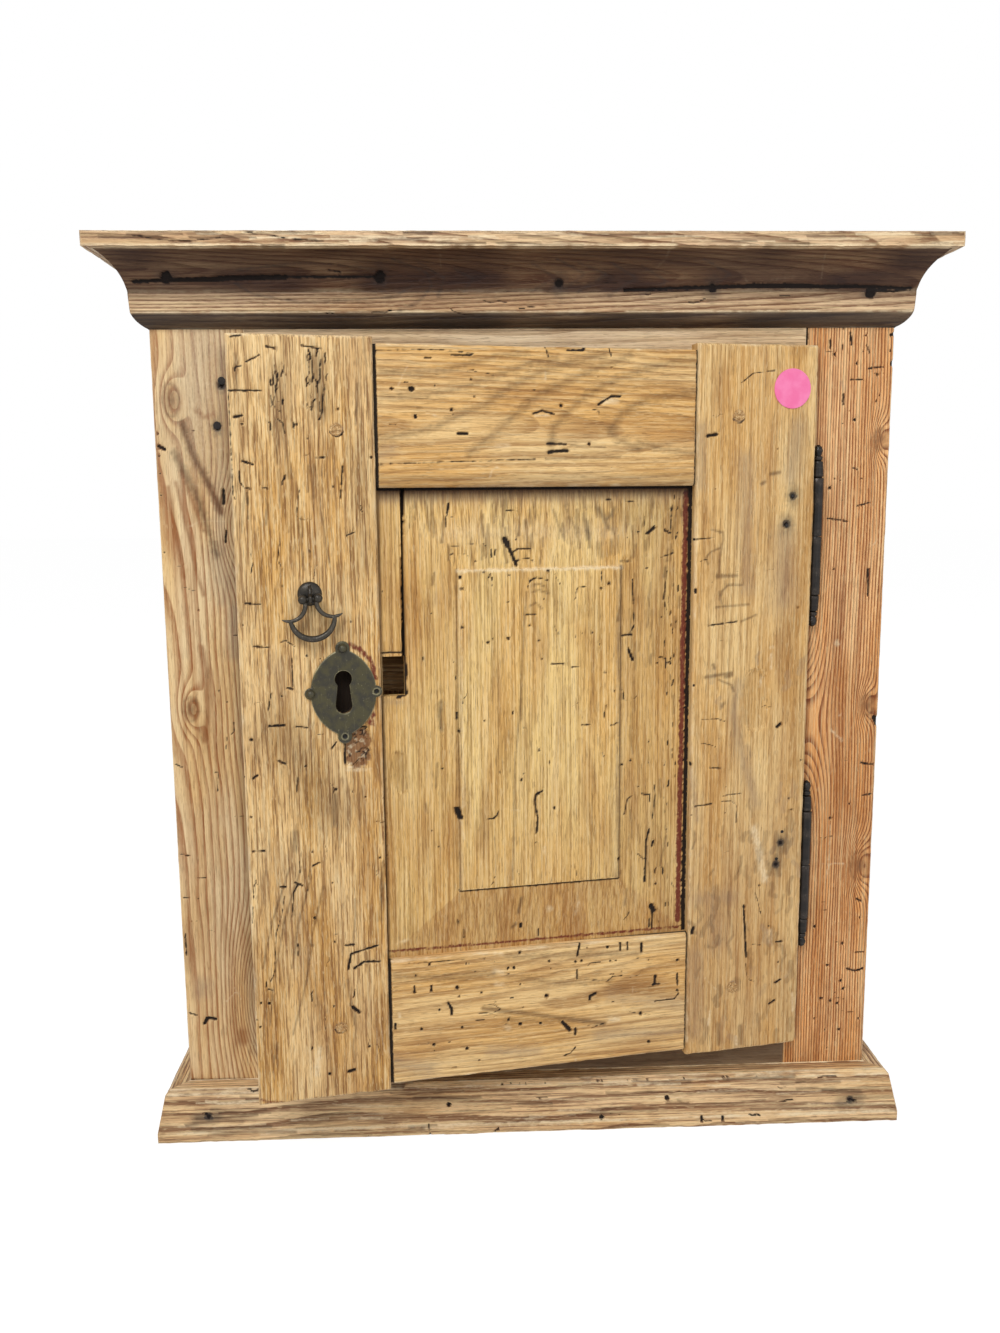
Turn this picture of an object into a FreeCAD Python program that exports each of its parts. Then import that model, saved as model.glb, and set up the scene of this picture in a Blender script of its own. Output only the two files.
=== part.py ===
import FreeCAD, Part
import math
import os

import Sketcher

# Small one-door pine cupboard: a face-framed carcass with a cornice and a base moulding, a lipped
# door with a raised and fielded panel, lift-off hinges, a drop pull and a lock behind the door.
# Millimetres.  X runs to the right, Y into the depth, Z up.  The origin is on the underside, at the
# middle of the carcass width, in the plane of the face frame's front.

DRIVING_SIZES = {
    # carcass
    "carcass_width": "480", "total_height": "600", "side_depth": "200",
    "side_thick": "18", "top_thick": "14", "board_thick": "15", "back_thick": "12",
    "dado_depth": "6", "shelf_thick": "18", "shelf_height": "307", "shelf_setback": "10",
    "cleat_width": "14", "cleat_height": "20", "cleat_setback": "12",
    # face frame
    "frame_thick": "20", "stile_left_width": "59", "stile_right_width": "58",
    "rail_top_height": "59", "rail_bottom_height": "65",
    "frame_tenon_long": "26", "frame_tenon_thick": "7", "frame_tenon_shoulder": "8",
    # cornice, as projections from the carcass and drops from the top
    "cornice_projection": "30", "cornice_fillet": "8.5", "cove_top_projection": "25.5",
    "cove_foot_projection": "9.5", "cove_foot_drop": "31.6", "cove_radius": "34",
    "band_projection": "8.7", "band_height": "13", "undercut_height": "8.8", "undercut_radius": "12",
    # base moulding
    "base_projection": "19.3", "base_toe": "7", "base_shoulder_projection": "14",
    "base_top_projection": "11.6", "base_shoulder_drop": "3", "base_height": "36",
    # door
    "door_ajar": "9.62", "lip": "3.5", "lip_end": "3", "horn": "4.25",
    "lip_thick": "12", "tongue_thick": "12", "tongue_gap": "1.5",
    "door_stile_left_width": "84.5", "door_stile_right_width": "82",
    "door_rail_top_width": "84", "door_rail_bottom_width": "84.5",
    "door_tenon_long": "42", "door_tenon_thick": "7", "door_tenon_shoulder": "12",
    "groove_depth": "10", "panel_edge_thick": "6", "panel_set_in": "6",
    "panel_bevel_rise": "3", "panel_step": "1.2", "panel_hold_left": "9", "panel_hold_right": "2.5",
    "panel_hold_ends": "8", "bevel_left": "48.5", "bevel_right": "49", "bevel_top": "50.4",
    "bevel_bottom": "42.5", "old_hole_width": "14", "old_hole_height": "25",
    "old_hole_drop": "103", "old_hole_edge": "1.5", "split_width": "1.4",
    "peg_radius": "3.6", "peg_proud": "0.3", "peg_in_top_left": "23", "peg_in_top_right": "28",
    "peg_in_bottom_left": "31", "peg_in_bottom_right": "33",
    # hinges
    "hinge_gap": "5", "hinge_front": "5", "knuckle_radius": "4.4", "pin_radius": "2",
    "pin_clearance": "0.06", "knuckle_long": "38", "finial_long": "22",
    "knuckle_joint_gap": "0.3", "pin_end_gap": "0.5",
    "top_hinge_drop": "122.25", "bottom_hinge_rise": "128.25", "leaf_thick": "2",
    "door_leaf_reach": "28", "frame_leaf_reach": "15", "leaf_height": "34",
    "hinge_nail_radius": "1.1", "door_nail_high_in": "15.5", "door_nail_high_rise": "27",
    "door_nail_low_in": "19", "door_nail_low_rise": "8", "frame_nail_high_drop": "10",
    "frame_nail_low_drop": "28", "door_nail_bite": "6", "frame_nail_bite": "9",
    # lock and escutcheon, from the door's free edge and the floor
    "keyhole_place": "61.4", "keyhole_height": "330.7", "keyhole_radius": "4.9",
    "keyhole_drop": "19.2", "keyhole_neck": "3.5", "keyhole_foot": "4.8",
    "escutcheon_drop": "8", "escutcheon_half_height": "27.3", "escutcheon_half_width": "20",
    "escutcheon_thick": "1.2", "ear_radius": "4.4", "side_ear_radius": "3.6",
    "ear_hole_radius": "1.3", "dome_radius": "2.8", "lock_thick": "14", "lock_wall": "1.5",
    "lock_inner_edge": "78.5", "lock_below_keyhole": "30.7", "spring_room": "9", "lock_tab": "9",
    "bolt_thick": "5", "bolt_height": "12", "bolt_above_keyhole": "8.3", "bolt_travel": "10",
    "bolt_clearance": "0.3", "bolt_inset": "2", "bolt_tail_gap": "3", "bolt_bite": "4",
    "key_post_radius": "1.5", "spring_thick": "0.8", "spring_end_gap": "2", "keeper_margin": "1.5",
    # drop pull, from the door's free edge
    "pull_place": "43", "pull_above_keyhole": "52.9", "rosette_radius": "7.3", "rosette_rise": "3.4",
    "pull_shank_radius": "1.8", "pull_stand_off": "6.2", "pivot_drop": "2.6", "rib_thick": "2.4",
    "rib_radius": "2.4", "pivot_radius": "0.9", "pivot_clearance": "0.06", "ball_radius": "2.8",
    "ball_spread": "4.6", "arm_thick": "2.2", "arm_root_outer": "2.9",
    "arm_root_inner": "4.9", "arm_root_drop": "1.4", "arm_tip_out": "19", "arm_tip_drop": "9",
    "arm_outer_radius": "9", "arm_inner_radius": "8.6", "crescent_thick": "3.4",
    "crescent_outer": "14.1", "crescent_inner": "12.1", "crescent_ends_drop": "12.2",
    "crescent_outer_radius": "14.15", "crescent_inner_radius": "12.55",
    "washer_width": "8", "washer_thick": "1.5", "clench_head": "1", "rib_root_inset": "0.5",
    # nails and the round price dot
    "nail_radius": "1.5", "nail_head_radius": "2.4", "nail_head": "1.2", "nail_set": "1",
    "moulding_nail_long": "26", "back_nail_long": "30", "dot_radius": "12.5", "dot_thick": "0.3",
    "dot_inset": "17.9", "dot_drop": "27.4",
}

ZERO_SIZE = 1e-9
TOP, FRONT, SIDE = "XY_Plane", "XZ_Plane", "YZ_Plane"
AXES_OF = {TOP: ("x", "y", "z"), FRONT: ("x", "z", "y"), SIDE: ("y", "z", "x")}
NORMAL_SIGN = {TOP: 1, FRONT: -1, SIDE: 1}
H_AXIS, V_AXIS = "H_Axis", "V_Axis"
SKETCH_ORIGIN = (-1, 1)
NO_HEAD, HEAD_LOW, HEAD_HIGH = "none", "low", "high"

doc = FreeCAD.newDocument("cupboard")


class Dim:
    """A length that is both a number and the sheet expression that gives it."""

    def __init__(self, value, text):
        self.value = value
        self.text = text

    def __add__(self, other):
        other = as_dim(other)
        return Dim(self.value + other.value, f"({self.text} + {other.text})")

    def __sub__(self, other):
        other = as_dim(other)
        return Dim(self.value - other.value, f"({self.text} - {other.text})")

    def __mul__(self, other):
        other = as_dim(other)
        return Dim(self.value * other.value, f"({self.text} * {other.text})")

    def __truediv__(self, other):
        other = as_dim(other)
        return Dim(self.value / other.value, f"({self.text} / {other.text})")

    def __radd__(self, other):
        return as_dim(other) + self

    def __rsub__(self, other):
        return as_dim(other) - self

    def __rmul__(self, other):
        return as_dim(other) * self

    def __neg__(self):
        return Dim(-self.value, f"(-{self.text})")


def as_dim(value):
    """A plain number as a Dim, and a Dim as it is."""
    if isinstance(value, Dim):
        return value
    return Dim(float(value), repr(float(value)))


class Sizes:
    """The spreadsheet of driving sizes; each alias reads back as a Dim."""

    def __init__(self, sizes):
        self.sheet = doc.addObject("Spreadsheet::Sheet", "Sizes")
        for row, (alias, number) in enumerate(sizes.items(), start=1):
            self.sheet.set(f"A{row}", alias)
            self.sheet.set(f"B{row}", number)
            self.sheet.setAlias(f"B{row}", alias)
        doc.recompute()

    def __getattr__(self, alias):
        return Dim(float(self.sheet.get(alias)), f"Sizes.{alias}")


S = Sizes(DRIVING_SIZES)


def bind(thing, path, size):
    """Tie a property to a size worked out from the sheet."""
    thing.setExpression(path, as_dim(size).text)


def cosine(angle):
    """The cosine of an angle in degrees, as a Dim."""
    return Dim(math.cos(math.radians(angle.value)), f"cos({angle.text} * 1 deg)")


def sine(angle):
    """The sine of an angle in degrees, as a Dim."""
    return Dim(math.sin(math.radians(angle.value)), f"sin({angle.text} * 1 deg)")


def root(size):
    """The square root of a size, as a Dim."""
    return Dim(math.sqrt(size.value), f"sqrt({size.text})")


class Line:
    """A straight side of an outline, up to the point (a, b)."""

    def __init__(self, a, b):
        self.a, self.b = as_dim(a), as_dim(b)


class Arc(Line):
    """A round side of an outline up to (a, b); turn is +1 anticlockwise and -1 clockwise."""

    def __init__(self, a, b, radius, turn):
        super().__init__(a, b)
        self.radius, self.turn = as_dim(radius), turn


def rectangle(a0, b0, a1, b1):
    """The four sides of a rectangle."""
    return [Line(a1, b0), Line(a1, b1), Line(a0, b1), Line(a0, b0)]


def arc_geometry(start, end, radius, turn):
    """The shorter arc of this radius from start to end, with its centre on the turn's side."""
    middle = (start + end) * 0.5
    along = end - start
    rise = math.sqrt(max(radius ** 2 - (along.Length / 2) ** 2, 0.0))
    across = FreeCAD.Vector(-along.y, along.x, 0).normalize()
    centre = middle + across * (rise * turn)
    first, last = (start, end) if turn > 0 else (end, start)
    circle = Part.Circle(centre, FreeCAD.Vector(0, 0, 1), radius)
    angles = [math.atan2(point.y - centre.y, point.x - centre.x) for point in (first, last)]
    return Part.ArcOfCircle(circle, angles[0], angles[1])


class Piece:
    """One sub-part as a PartDesign body.

    Its outlines are given in the cabinet's (or the door's) own coordinates; the body's Placement
    carries its corner, and each sketch is drawn from that corner.
    """

    def __init__(self, label, x=0, y=0, z=0, on_door=False, at_hinge=False, several=False):
        self.body = doc.addObject("PartDesign::Body", label)
        self.body.Label = label
        self.body.AllowCompound = several
        self.corner = {"x": as_dim(x), "y": as_dim(y), "z": as_dim(z)}
        place(self.body, self.corner, on_door, at_hinge)

    def local(self, axis, size):
        """A coordinate measured from the body's corner."""
        return as_dim(size) - self.corner[axis]

    def sketch(self, plane, depth):
        """An empty sketch on one of the body's origin planes, at a depth along its axis."""
        sketch = self.body.newObject("Sketcher::SketchObject", f"{self.body.Label}_sketch")
        planes = [item for item in self.body.Origin.OriginFeatures if item.Role == plane]
        sketch.AttachmentSupport = [(planes[0], "")]
        sketch.MapMode = "FlatFace"
        offset = self.local(AXES_OF[plane][2], depth) * NORMAL_SIGN[plane]
        bind(sketch, "AttachmentOffset.Base.z", offset)
        return sketch

    def draw(self, plane, depth, sides):
        """A closed outline, each corner tied to the sheet."""
        sketch = self.sketch(plane, depth)
        axis_a, axis_b, _ = AXES_OF[plane]
        corners = [(self.local(axis_a, side.a), self.local(axis_b, side.b)) for side in sides]
        points = [FreeCAD.Vector(a.value, b.value, 0) for a, b in corners]
        ends = []
        for index, side in enumerate(sides):
            start, end = points[index - 1], points[index]
            if isinstance(side, Arc):
                sketch.addGeometry(arc_geometry(start, end, side.radius.value, side.turn))
                ends.append((1, 2) if side.turn > 0 else (2, 1))
                tie(sketch, "Radius", side.radius, index)
            else:
                sketch.addGeometry(Part.LineSegment(start, end))
                ends.append((1, 2))
        for index, (a, b) in enumerate(corners):
            following = (index + 1) % len(sides)
            meet = Sketcher.Constraint("Coincident", index, ends[index][1], following, ends[following][0])
            sketch.addConstraint(meet)
            tie(sketch, "DistanceX", a, *SKETCH_ORIGIN, index, ends[index][1])
            tie(sketch, "DistanceY", b, *SKETCH_ORIGIN, index, ends[index][1])
        return sketch

    def dots(self, plane, depth, centres, radius):
        """Circles of one radius, each centre tied to the sheet."""
        sketch = self.sketch(plane, depth)
        axis_a, axis_b, _ = AXES_OF[plane]
        for index, (a, b) in enumerate(centres):
            a, b = self.local(axis_a, a), self.local(axis_b, b)
            middle = FreeCAD.Vector(a.value, b.value, 0)
            sketch.addGeometry(Part.Circle(middle, FreeCAD.Vector(0, 0, 1), as_dim(radius).value))
            tie(sketch, "Radius", as_dim(radius), index)
            tie(sketch, "DistanceX", a, *SKETCH_ORIGIN, index, 3)
            tie(sketch, "DistanceY", b, *SKETCH_ORIGIN, index, 3)
        return sketch

    def add(self, plane, sides, low, high):
        """Pad an outline from low to high along the plane's axis."""
        self.pad(self.draw(plane, low, sides), plane, low, high)

    def add_dots(self, plane, centres, radius, low, high):
        """Pad round bosses from low to high."""
        self.pad(self.dots(plane, low, centres, radius), plane, low, high)

    def pad(self, sketch, plane, low, high):
        """Pad a sketch that lies at low up to high."""
        pad = self.body.newObject("PartDesign::Pad", f"{self.body.Label}_pad")
        pad.Profile = sketch
        pad.Reversed = NORMAL_SIGN[plane] < 0
        bind(pad, "Length", as_dim(high) - low)

    def cut(self, plane, sides, low, high):
        """Pocket an outline from low to high."""
        self.pocket(self.draw(plane, low, sides), plane, low, high)

    def drill(self, plane, centres, radius, low, high):
        """Drill round holes from low to high."""
        self.pocket(self.dots(plane, low, centres, radius), plane, low, high)

    def pocket(self, sketch, plane, low, high):
        """Pocket a sketch that lies at low up to high."""
        pocket = self.body.newObject("PartDesign::Pocket", f"{self.body.Label}_pocket")
        pocket.Profile = sketch
        pocket.Reversed = NORMAL_SIGN[plane] > 0
        bind(pocket, "Length", as_dim(high) - low)

    def spin(self, plane, sides, axis):
        """Revolve an outline that touches the body's own axis through a full turn."""
        sketch = self.draw(plane, self.corner[AXES_OF[plane][2]], sides)
        spin = self.body.newObject("PartDesign::Revolution", f"{self.body.Label}_turning")
        spin.Profile = sketch
        spin.ReferenceAxis = (sketch, [axis])
        spin.Angle = 360


def place(thing, corner, on_door=False, at_hinge=False):
    """Bind a Placement: in the cabinet, at the hinge axis, or turned with the door about it."""
    x, y, z = corner["x"], corner["y"], corner["z"]
    if on_door:
        bind(thing, "Placement.Base.x", hinge_x + x * cosine(S.door_ajar) - y * sine(S.door_ajar))
        bind(thing, "Placement.Base.y", hinge_y + x * sine(S.door_ajar) + y * cosine(S.door_ajar))
        bind(thing, "Placement.Rotation.Angle", S.door_ajar)
    elif at_hinge:
        bind(thing, "Placement.Base.x", hinge_x + x)
        bind(thing, "Placement.Base.y", hinge_y + y)
    else:
        bind(thing, "Placement.Base.x", x)
        bind(thing, "Placement.Base.y", y)
    bind(thing, "Placement.Base.z", z)


def tie(sketch, kind, size, *geometry):
    """Add a constraint of this kind and bind its value to the sheet."""
    index = sketch.addConstraint(Sketcher.Constraint(kind, *geometry, size.value))
    sketch.setExpression(f"Constraints[{index}]", size.text)


def drive(piece, shape, plane, centres, low, high, head):
    """Shape the nails' shanks from low to high, and their heads at the end that is named."""
    low, high = as_dim(low), as_dim(high)
    shape(plane, centres, S.nail_radius, low, high)
    if head == HEAD_LOW:
        shape(plane, centres, S.nail_head_radius, low, low + S.nail_head)
    if head == HEAD_HIGH:
        shape(plane, centres, S.nail_head_radius, high - S.nail_head, high)
    return piece


def nails(label, plane, centres, low, high, head, on_door=False):
    """A group of nails along the plane's axis."""
    group = Piece(label, on_door=on_door, several=True)
    return drive(group, group.add_dots, plane, centres, low, high, head)


def nail_holes(piece, plane, centres, low, high, head=NO_HEAD):
    """The holes that the same nails fill in one piece."""
    return drive(piece, piece.drill, plane, centres, low, high, head)


# ---------------------------------------------------------------- places worked out from the sheet
half_width = S.carcass_width / 2
inner_half = half_width - S.side_thick
frame_top = S.total_height - S.top_thick
back_front = S.frame_thick + S.side_depth
depth = back_front + S.back_thick
opening_left = S.stile_left_width - half_width
opening_right = half_width - S.stile_right_width
opening_bottom = S.rail_bottom_height
opening_top = frame_top - S.rail_top_height
hinge_x = opening_right + S.lip + S.hinge_gap
hinge_y = -S.hinge_front
shelf_front = S.frame_thick + S.shelf_setback
door_width = opening_right - opening_left + S.lip * 2
rails_bottom = opening_bottom - S.lip_end
rails_top = opening_top + S.lip_end
stiles_bottom = rails_bottom - S.horn
stiles_top = rails_top + S.horn
door_front = S.hinge_front - S.lip_thick
lip_back = S.hinge_front
door_back = S.hinge_front + S.tongue_thick
tongue_bottom = opening_bottom + S.tongue_gap
tongue_top = opening_top - S.tongue_gap
tongue_inset = S.lip + S.tongue_gap


def door_x(place_from_edge):
    """The X of a place given from the door's hinge edge, in the door's frame."""
    return -(S.hinge_gap + place_from_edge)


door_edge_right = door_x(0)
door_edge_left = door_x(door_width)
panel_left = door_x(door_width - S.door_stile_left_width)
panel_right = door_x(S.door_stile_right_width)
panel_bottom = rails_bottom + S.door_rail_bottom_width
panel_top = rails_top - S.door_rail_top_width
panel_front = door_front + S.panel_set_in
panel_back = panel_front + S.panel_edge_thick
keyhole_x = door_x(door_width - S.keyhole_place)
pull_x = door_x(door_width - S.pull_place)
pull_height = S.keyhole_height + S.pull_above_keyhole
pull_corner = {"x": pull_x, "y": door_front, "z": pull_height}
pivot_y = door_front - S.pull_stand_off
pivot_z = pull_height - S.pivot_drop
top_hinge_height = stiles_top - S.top_hinge_drop
bottom_hinge_height = stiles_bottom + S.bottom_hinge_rise
lock_bottom = S.keyhole_height - S.lock_below_keyhole
bolt_bottom = S.keyhole_height + S.bolt_above_keyhole
bolt_top = bolt_bottom + S.bolt_height
lock_top = bolt_top + S.spring_room

# Nails stand where they were driven, as shares of the half width, and heights above the moulding's foot.
CORNICE_NAILS = ((-0.94, 6), (-0.387, 9), (0.089, 6), (0.494, 8), (0.911, 7))
CORNICE_NAIL_DROP = 32
BASE_NAILS = ((-0.944, 0.56), (-0.245, 0.53), (0.191, 0.24), (0.398, 0.55), (0.953, 0.43))
STRAY_NAILS = ((0.75, 85), (0.68, 113))
STRAY_NAIL_SHARE = 0.8
TOP_NAIL_SHARES = (0.15, 0.5, 0.85)
CLEAT_NAIL_SHARES = (0.3, 0.8)
BACK_NAIL_SHARES = (0.2, 0.8)
LOCK_NAIL_SHARES = (0.22, 0.78)
LOCK_NAIL_DEPTH = 0.7
EAR_NAIL_DEPTH = 0.8
FRAME_LEAF_NAIL_SHARE = 0.6


# ---------------------------------------------------------------- carcass boards
def carcass_sides():
    """Two side boards, each with a housing for the bottom board and holes for the cleat nails."""
    for label, outer, inner, housing in (
            ("side_left", -half_width, -inner_half, -inner_half - S.dado_depth),
            ("side_right", half_width, inner_half, inner_half + S.dado_depth)):
        low, high = (outer, inner) if label == "side_left" else (inner, outer)
        near, far = (housing, inner) if label == "side_left" else (inner, housing)
        left = label == "side_left"
        cleat_low, cleat_high = cleat_nail_reach(left)
        near_cleat, far_cleat = (cleat_low, -inner_half) if left else (inner_half, cleat_high)
        side = Piece(label, low, S.frame_thick, 0)
        side.add(FRONT, rectangle(low, 0, high, frame_top), S.frame_thick, back_front)
        side.cut(FRONT, rectangle(near, S.rail_bottom_height - S.board_thick, far, S.rail_bottom_height),
                 S.frame_thick, back_front)
        nail_holes(side, TOP, top_nail_places(), top_nail_foot, frame_top)
        nail_holes(side, SIDE, cleat_nail_places(), near_cleat, far_cleat)


def top_nail_places():
    """Places of the nails down through the top board into the side boards."""
    row = [S.frame_thick + S.side_depth * share for share in TOP_NAIL_SHARES]
    return [((half_width - S.side_thick / 2) * sign, y) for sign in (-1, 1) for y in row]


top_nail_foot = S.total_height - S.back_nail_long


def cleat_nail_places():
    """Places, in depth and height, of the nails through a cleat."""
    height = S.shelf_height - S.cleat_height / 2
    return [(S.frame_thick + S.side_depth * share, height) for share in CLEAT_NAIL_SHARES]


def cleat_nail_reach(left):
    """The span in X of a cleat's nails, from inside the side board to the cleat's face."""
    face = inner_half - S.cleat_width
    point = inner_half + S.side_thick / 2
    return (-point, -face) if left else (face, point)


def carcass_boards():
    """Bottom and top boards, the shelf and the two cleats that carry it."""
    bottom_top = S.rail_bottom_height
    bottom_low = bottom_top - S.board_thick
    reach = inner_half + S.dado_depth
    bottom = Piece("bottom_board", -reach, S.frame_thick, bottom_low)
    bottom.add(FRONT, rectangle(-reach, bottom_low, reach, bottom_top), S.frame_thick, back_front)
    nail_holes(bottom, FRONT, back_nail_places()[0], back_nail_foot, back_front)
    top = Piece("top_board", -half_width, 0, frame_top)
    top.add(FRONT, rectangle(-half_width, frame_top, half_width, S.total_height), 0, back_front)
    nail_holes(top, TOP, top_nail_places(), frame_top, S.total_height, HEAD_HIGH)
    nail_holes(top, FRONT, back_nail_places()[1], back_nail_foot, back_front)
    shelf = Piece("shelf", -inner_half, shelf_front, S.shelf_height)
    shelf.add(FRONT, rectangle(-inner_half, S.shelf_height, inner_half, S.shelf_height + S.shelf_thick),
              shelf_front, back_front)
    cleat_low = S.shelf_height - S.cleat_height
    cleat_front = S.frame_thick + S.cleat_setback
    for label, low, high in (("shelf_cleat_left", -inner_half, S.cleat_width - inner_half),
                             ("shelf_cleat_right", inner_half - S.cleat_width, inner_half)):
        left = label == "shelf_cleat_left"
        cleat = Piece(label, low, cleat_front, cleat_low)
        cleat.add(FRONT, rectangle(low, cleat_low, high, S.shelf_height), cleat_front, back_front)
        reach_low, reach_high = cleat_nail_reach(left)
        inside = (-inner_half, reach_high) if left else (reach_low, inner_half)
        head = HEAD_HIGH if left else HEAD_LOW
        nail_holes(cleat, SIDE, cleat_nail_places(), *inside, head)
        side_name = "left" if left else "right"
        nails(f"cleat_nails_{side_name}", SIDE, cleat_nail_places(), reach_low, reach_high, head)
    nails("top_nails", TOP, top_nail_places(), top_nail_foot, S.total_height, HEAD_HIGH)


BACK_BOARDS = 3
back_board_width = S.carcass_width / BACK_BOARDS
back_nail_foot = depth - S.back_nail_long


def back_nail_places():
    """Two rows of places for the back boards' nails: into the bottom board and into the top board."""
    rows = (S.rail_bottom_height - S.board_thick / 2, frame_top + S.top_thick / 2)
    across = [back_board_width * (board + share) - half_width
              for board in range(BACK_BOARDS) for share in BACK_NAIL_SHARES]
    return [[(x, height) for x in across] for height in rows]


def back_boards():
    """Upright boards nailed over the back of the carcass."""
    low_row, high_row = back_nail_places()
    for number in range(BACK_BOARDS):
        left = back_board_width * number - half_width
        board = Piece(f"back_board_{number + 1}", left, back_front, 0)
        board.add(FRONT, rectangle(left, 0, left + back_board_width, S.total_height), back_front, depth)
        own = slice(2 * number, 2 * number + 2)
        nail_holes(board, FRONT, low_row[own] + high_row[own], back_front, depth, HEAD_HIGH)
    nails("back_nails", FRONT, low_row + high_row, back_nail_foot, depth, HEAD_HIGH)


# ---------------------------------------------------------------- face frame
def cornice_nail_places():
    """Places of the cornice's nails, in X and Z."""
    foot = S.total_height - CORNICE_NAIL_DROP
    return [(half_width * share, foot + rise) for share, rise in CORNICE_NAILS]


def base_nail_places():
    """Places of the base moulding's nails, in X and Z."""
    return [(half_width * share, S.base_height * rise) for share, rise in BASE_NAILS]


def stray_nail_places():
    """Two rusted nails left in the left stile by an older fitting."""
    return [(-half_width + S.stile_left_width * share, S.total_height - drop)
            for share, drop in STRAY_NAILS]


cornice_nail_head = S.nail_set - S.band_projection
base_nail_head = S.nail_set - S.base_shoulder_projection
stray_nail_long = S.frame_thick * STRAY_NAIL_SHARE


def tenon_span(bottom, top):
    """The height of a face-frame tenon inside its rail."""
    return bottom + S.frame_tenon_shoulder, top - S.frame_tenon_shoulder


tenon_front = (S.frame_thick - S.frame_tenon_thick) / 2
tenon_back = tenon_front + S.frame_tenon_thick
bottom_tenon = tenon_span(as_dim(0), S.rail_bottom_height)
top_tenon = tenon_span(opening_top, frame_top)


def moulding_nail_holes(piece, places, head_front):
    """The holes of a moulding's nails in a piece of the face frame, from its front to their points."""
    nail_holes(piece, FRONT, places, 0, head_front + S.moulding_nail_long)


def face_stiles():
    """The two uprights of the face frame, mortised for the rails."""
    for label, low, high in (("face_stile_left", -half_width, opening_left),
                             ("face_stile_right", opening_right, half_width)):
        left = label == "face_stile_left"
        stile = Piece(label, low, 0, 0)
        stile.add(FRONT, rectangle(low, 0, high, frame_top), 0, S.frame_thick)
        near, far = (high - S.frame_tenon_long, high) if left else (low, low + S.frame_tenon_long)
        for bottom, top in (bottom_tenon, top_tenon):
            stile.cut(FRONT, rectangle(near, bottom, far, top), tenon_front, tenon_back)
        moulding_nail_holes(stile, cornice_nail_places(), cornice_nail_head)
        moulding_nail_holes(stile, base_nail_places(), base_nail_head)
        if left:
            nail_holes(stile, FRONT, stray_nail_places(), 0, stray_nail_long, HEAD_LOW)
            keeper_front = S.bolt_inset - S.bolt_clearance + S.tongue_thick
            stile.cut(FRONT, rectangle(high - S.bolt_travel, bolt_bottom - S.keeper_margin,
                                       high, bolt_bottom + S.bolt_height + S.keeper_margin),
                      keeper_front, S.frame_thick)
        else:
            for split in (top_hinge_height, bottom_hinge_height):
                leaf_bottom, leaf_top = frame_leaf_span(split)
                stile.cut(FRONT, rectangle(hinge_x - S.leaf_thick / 2, leaf_bottom,
                                           hinge_x + S.leaf_thick / 2, leaf_top), 0, S.frame_leaf_reach)
                stile.drill(SIDE, frame_leaf_nail_places(split), S.hinge_nail_radius,
                            opening_right, frame_nail_end)


def face_rails():
    """Top and bottom rails of the face frame, tenoned into the stiles."""
    for label, low, high, tenon in (("face_rail_top", opening_top, frame_top, top_tenon),
                                    ("face_rail_bottom", as_dim(0), opening_bottom, bottom_tenon)):
        rail = Piece(label, opening_left, 0, low)
        rail.add(FRONT, rectangle(opening_left, low, opening_right, high), 0, S.frame_thick)
        rail.add(FRONT, rectangle(opening_left - S.frame_tenon_long, tenon[0],
                                  opening_right + S.frame_tenon_long, tenon[1]), tenon_front, tenon_back)
        if label == "face_rail_top":
            moulding_nail_holes(rail, cornice_nail_places(), cornice_nail_head)
        else:
            moulding_nail_holes(rail, base_nail_places(), base_nail_head)


# ---------------------------------------------------------------- mouldings
def cornice_sides(edge, outward):
    """The cornice's section: a rounded underside, an upright band, a cove and a square fillet."""
    top = S.total_height
    cove_foot = top - S.cove_foot_drop
    band_foot = cove_foot - S.band_height
    turn = -outward
    return [Line(edge, band_foot - S.undercut_height),
            Arc(edge + S.band_projection * outward, band_foot, S.undercut_radius, -turn),
            Line(edge + S.cove_foot_projection * outward, cove_foot),
            Arc(edge + S.cove_top_projection * outward, top - S.cornice_fillet, S.cove_radius, turn),
            Line(edge + S.cornice_projection * outward, top - S.cornice_fillet),
            Line(edge + S.cornice_projection * outward, top),
            Line(edge, top)]


def base_sides(edge, outward):
    """The base moulding's section: an upright toe, a long slope and a small chamfer at the top."""
    return [Line(edge, 0),
            Line(edge + S.base_projection * outward, 0),
            Line(edge + S.base_projection * outward, S.base_toe),
            Line(edge + S.base_shoulder_projection * outward, S.base_height - S.base_shoulder_drop),
            Line(edge + S.base_top_projection * outward, S.base_height),
            Line(edge, S.base_height)]


def moulding(name, section, projection, foot):
    """A front length and two returns, mitred at the corners."""
    reach = half_width + projection
    front = Piece(f"{name}_front", -reach, -projection, foot)
    front.add(SIDE, section(as_dim(0), -1), -reach, reach)
    height = S.total_height
    for sign in (-1, 1):
        corner = [Line(half_width * sign, 0), Line(reach * sign, 0), Line(reach * sign, -projection)]
        front.cut(TOP, corner, 0, height)
    for label, sign in ((f"{name}_left", -1), (f"{name}_right", 1)):
        low = -reach if sign < 0 else half_width
        side = Piece(label, low, -projection, foot)
        side.add(FRONT, section(half_width * sign, sign), -projection, depth)
        corner = [Line(half_width * sign, 0), Line(half_width * sign, -projection),
                  Line(reach * sign, -projection)]
        side.cut(TOP, corner, 0, height)
    return front


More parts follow.
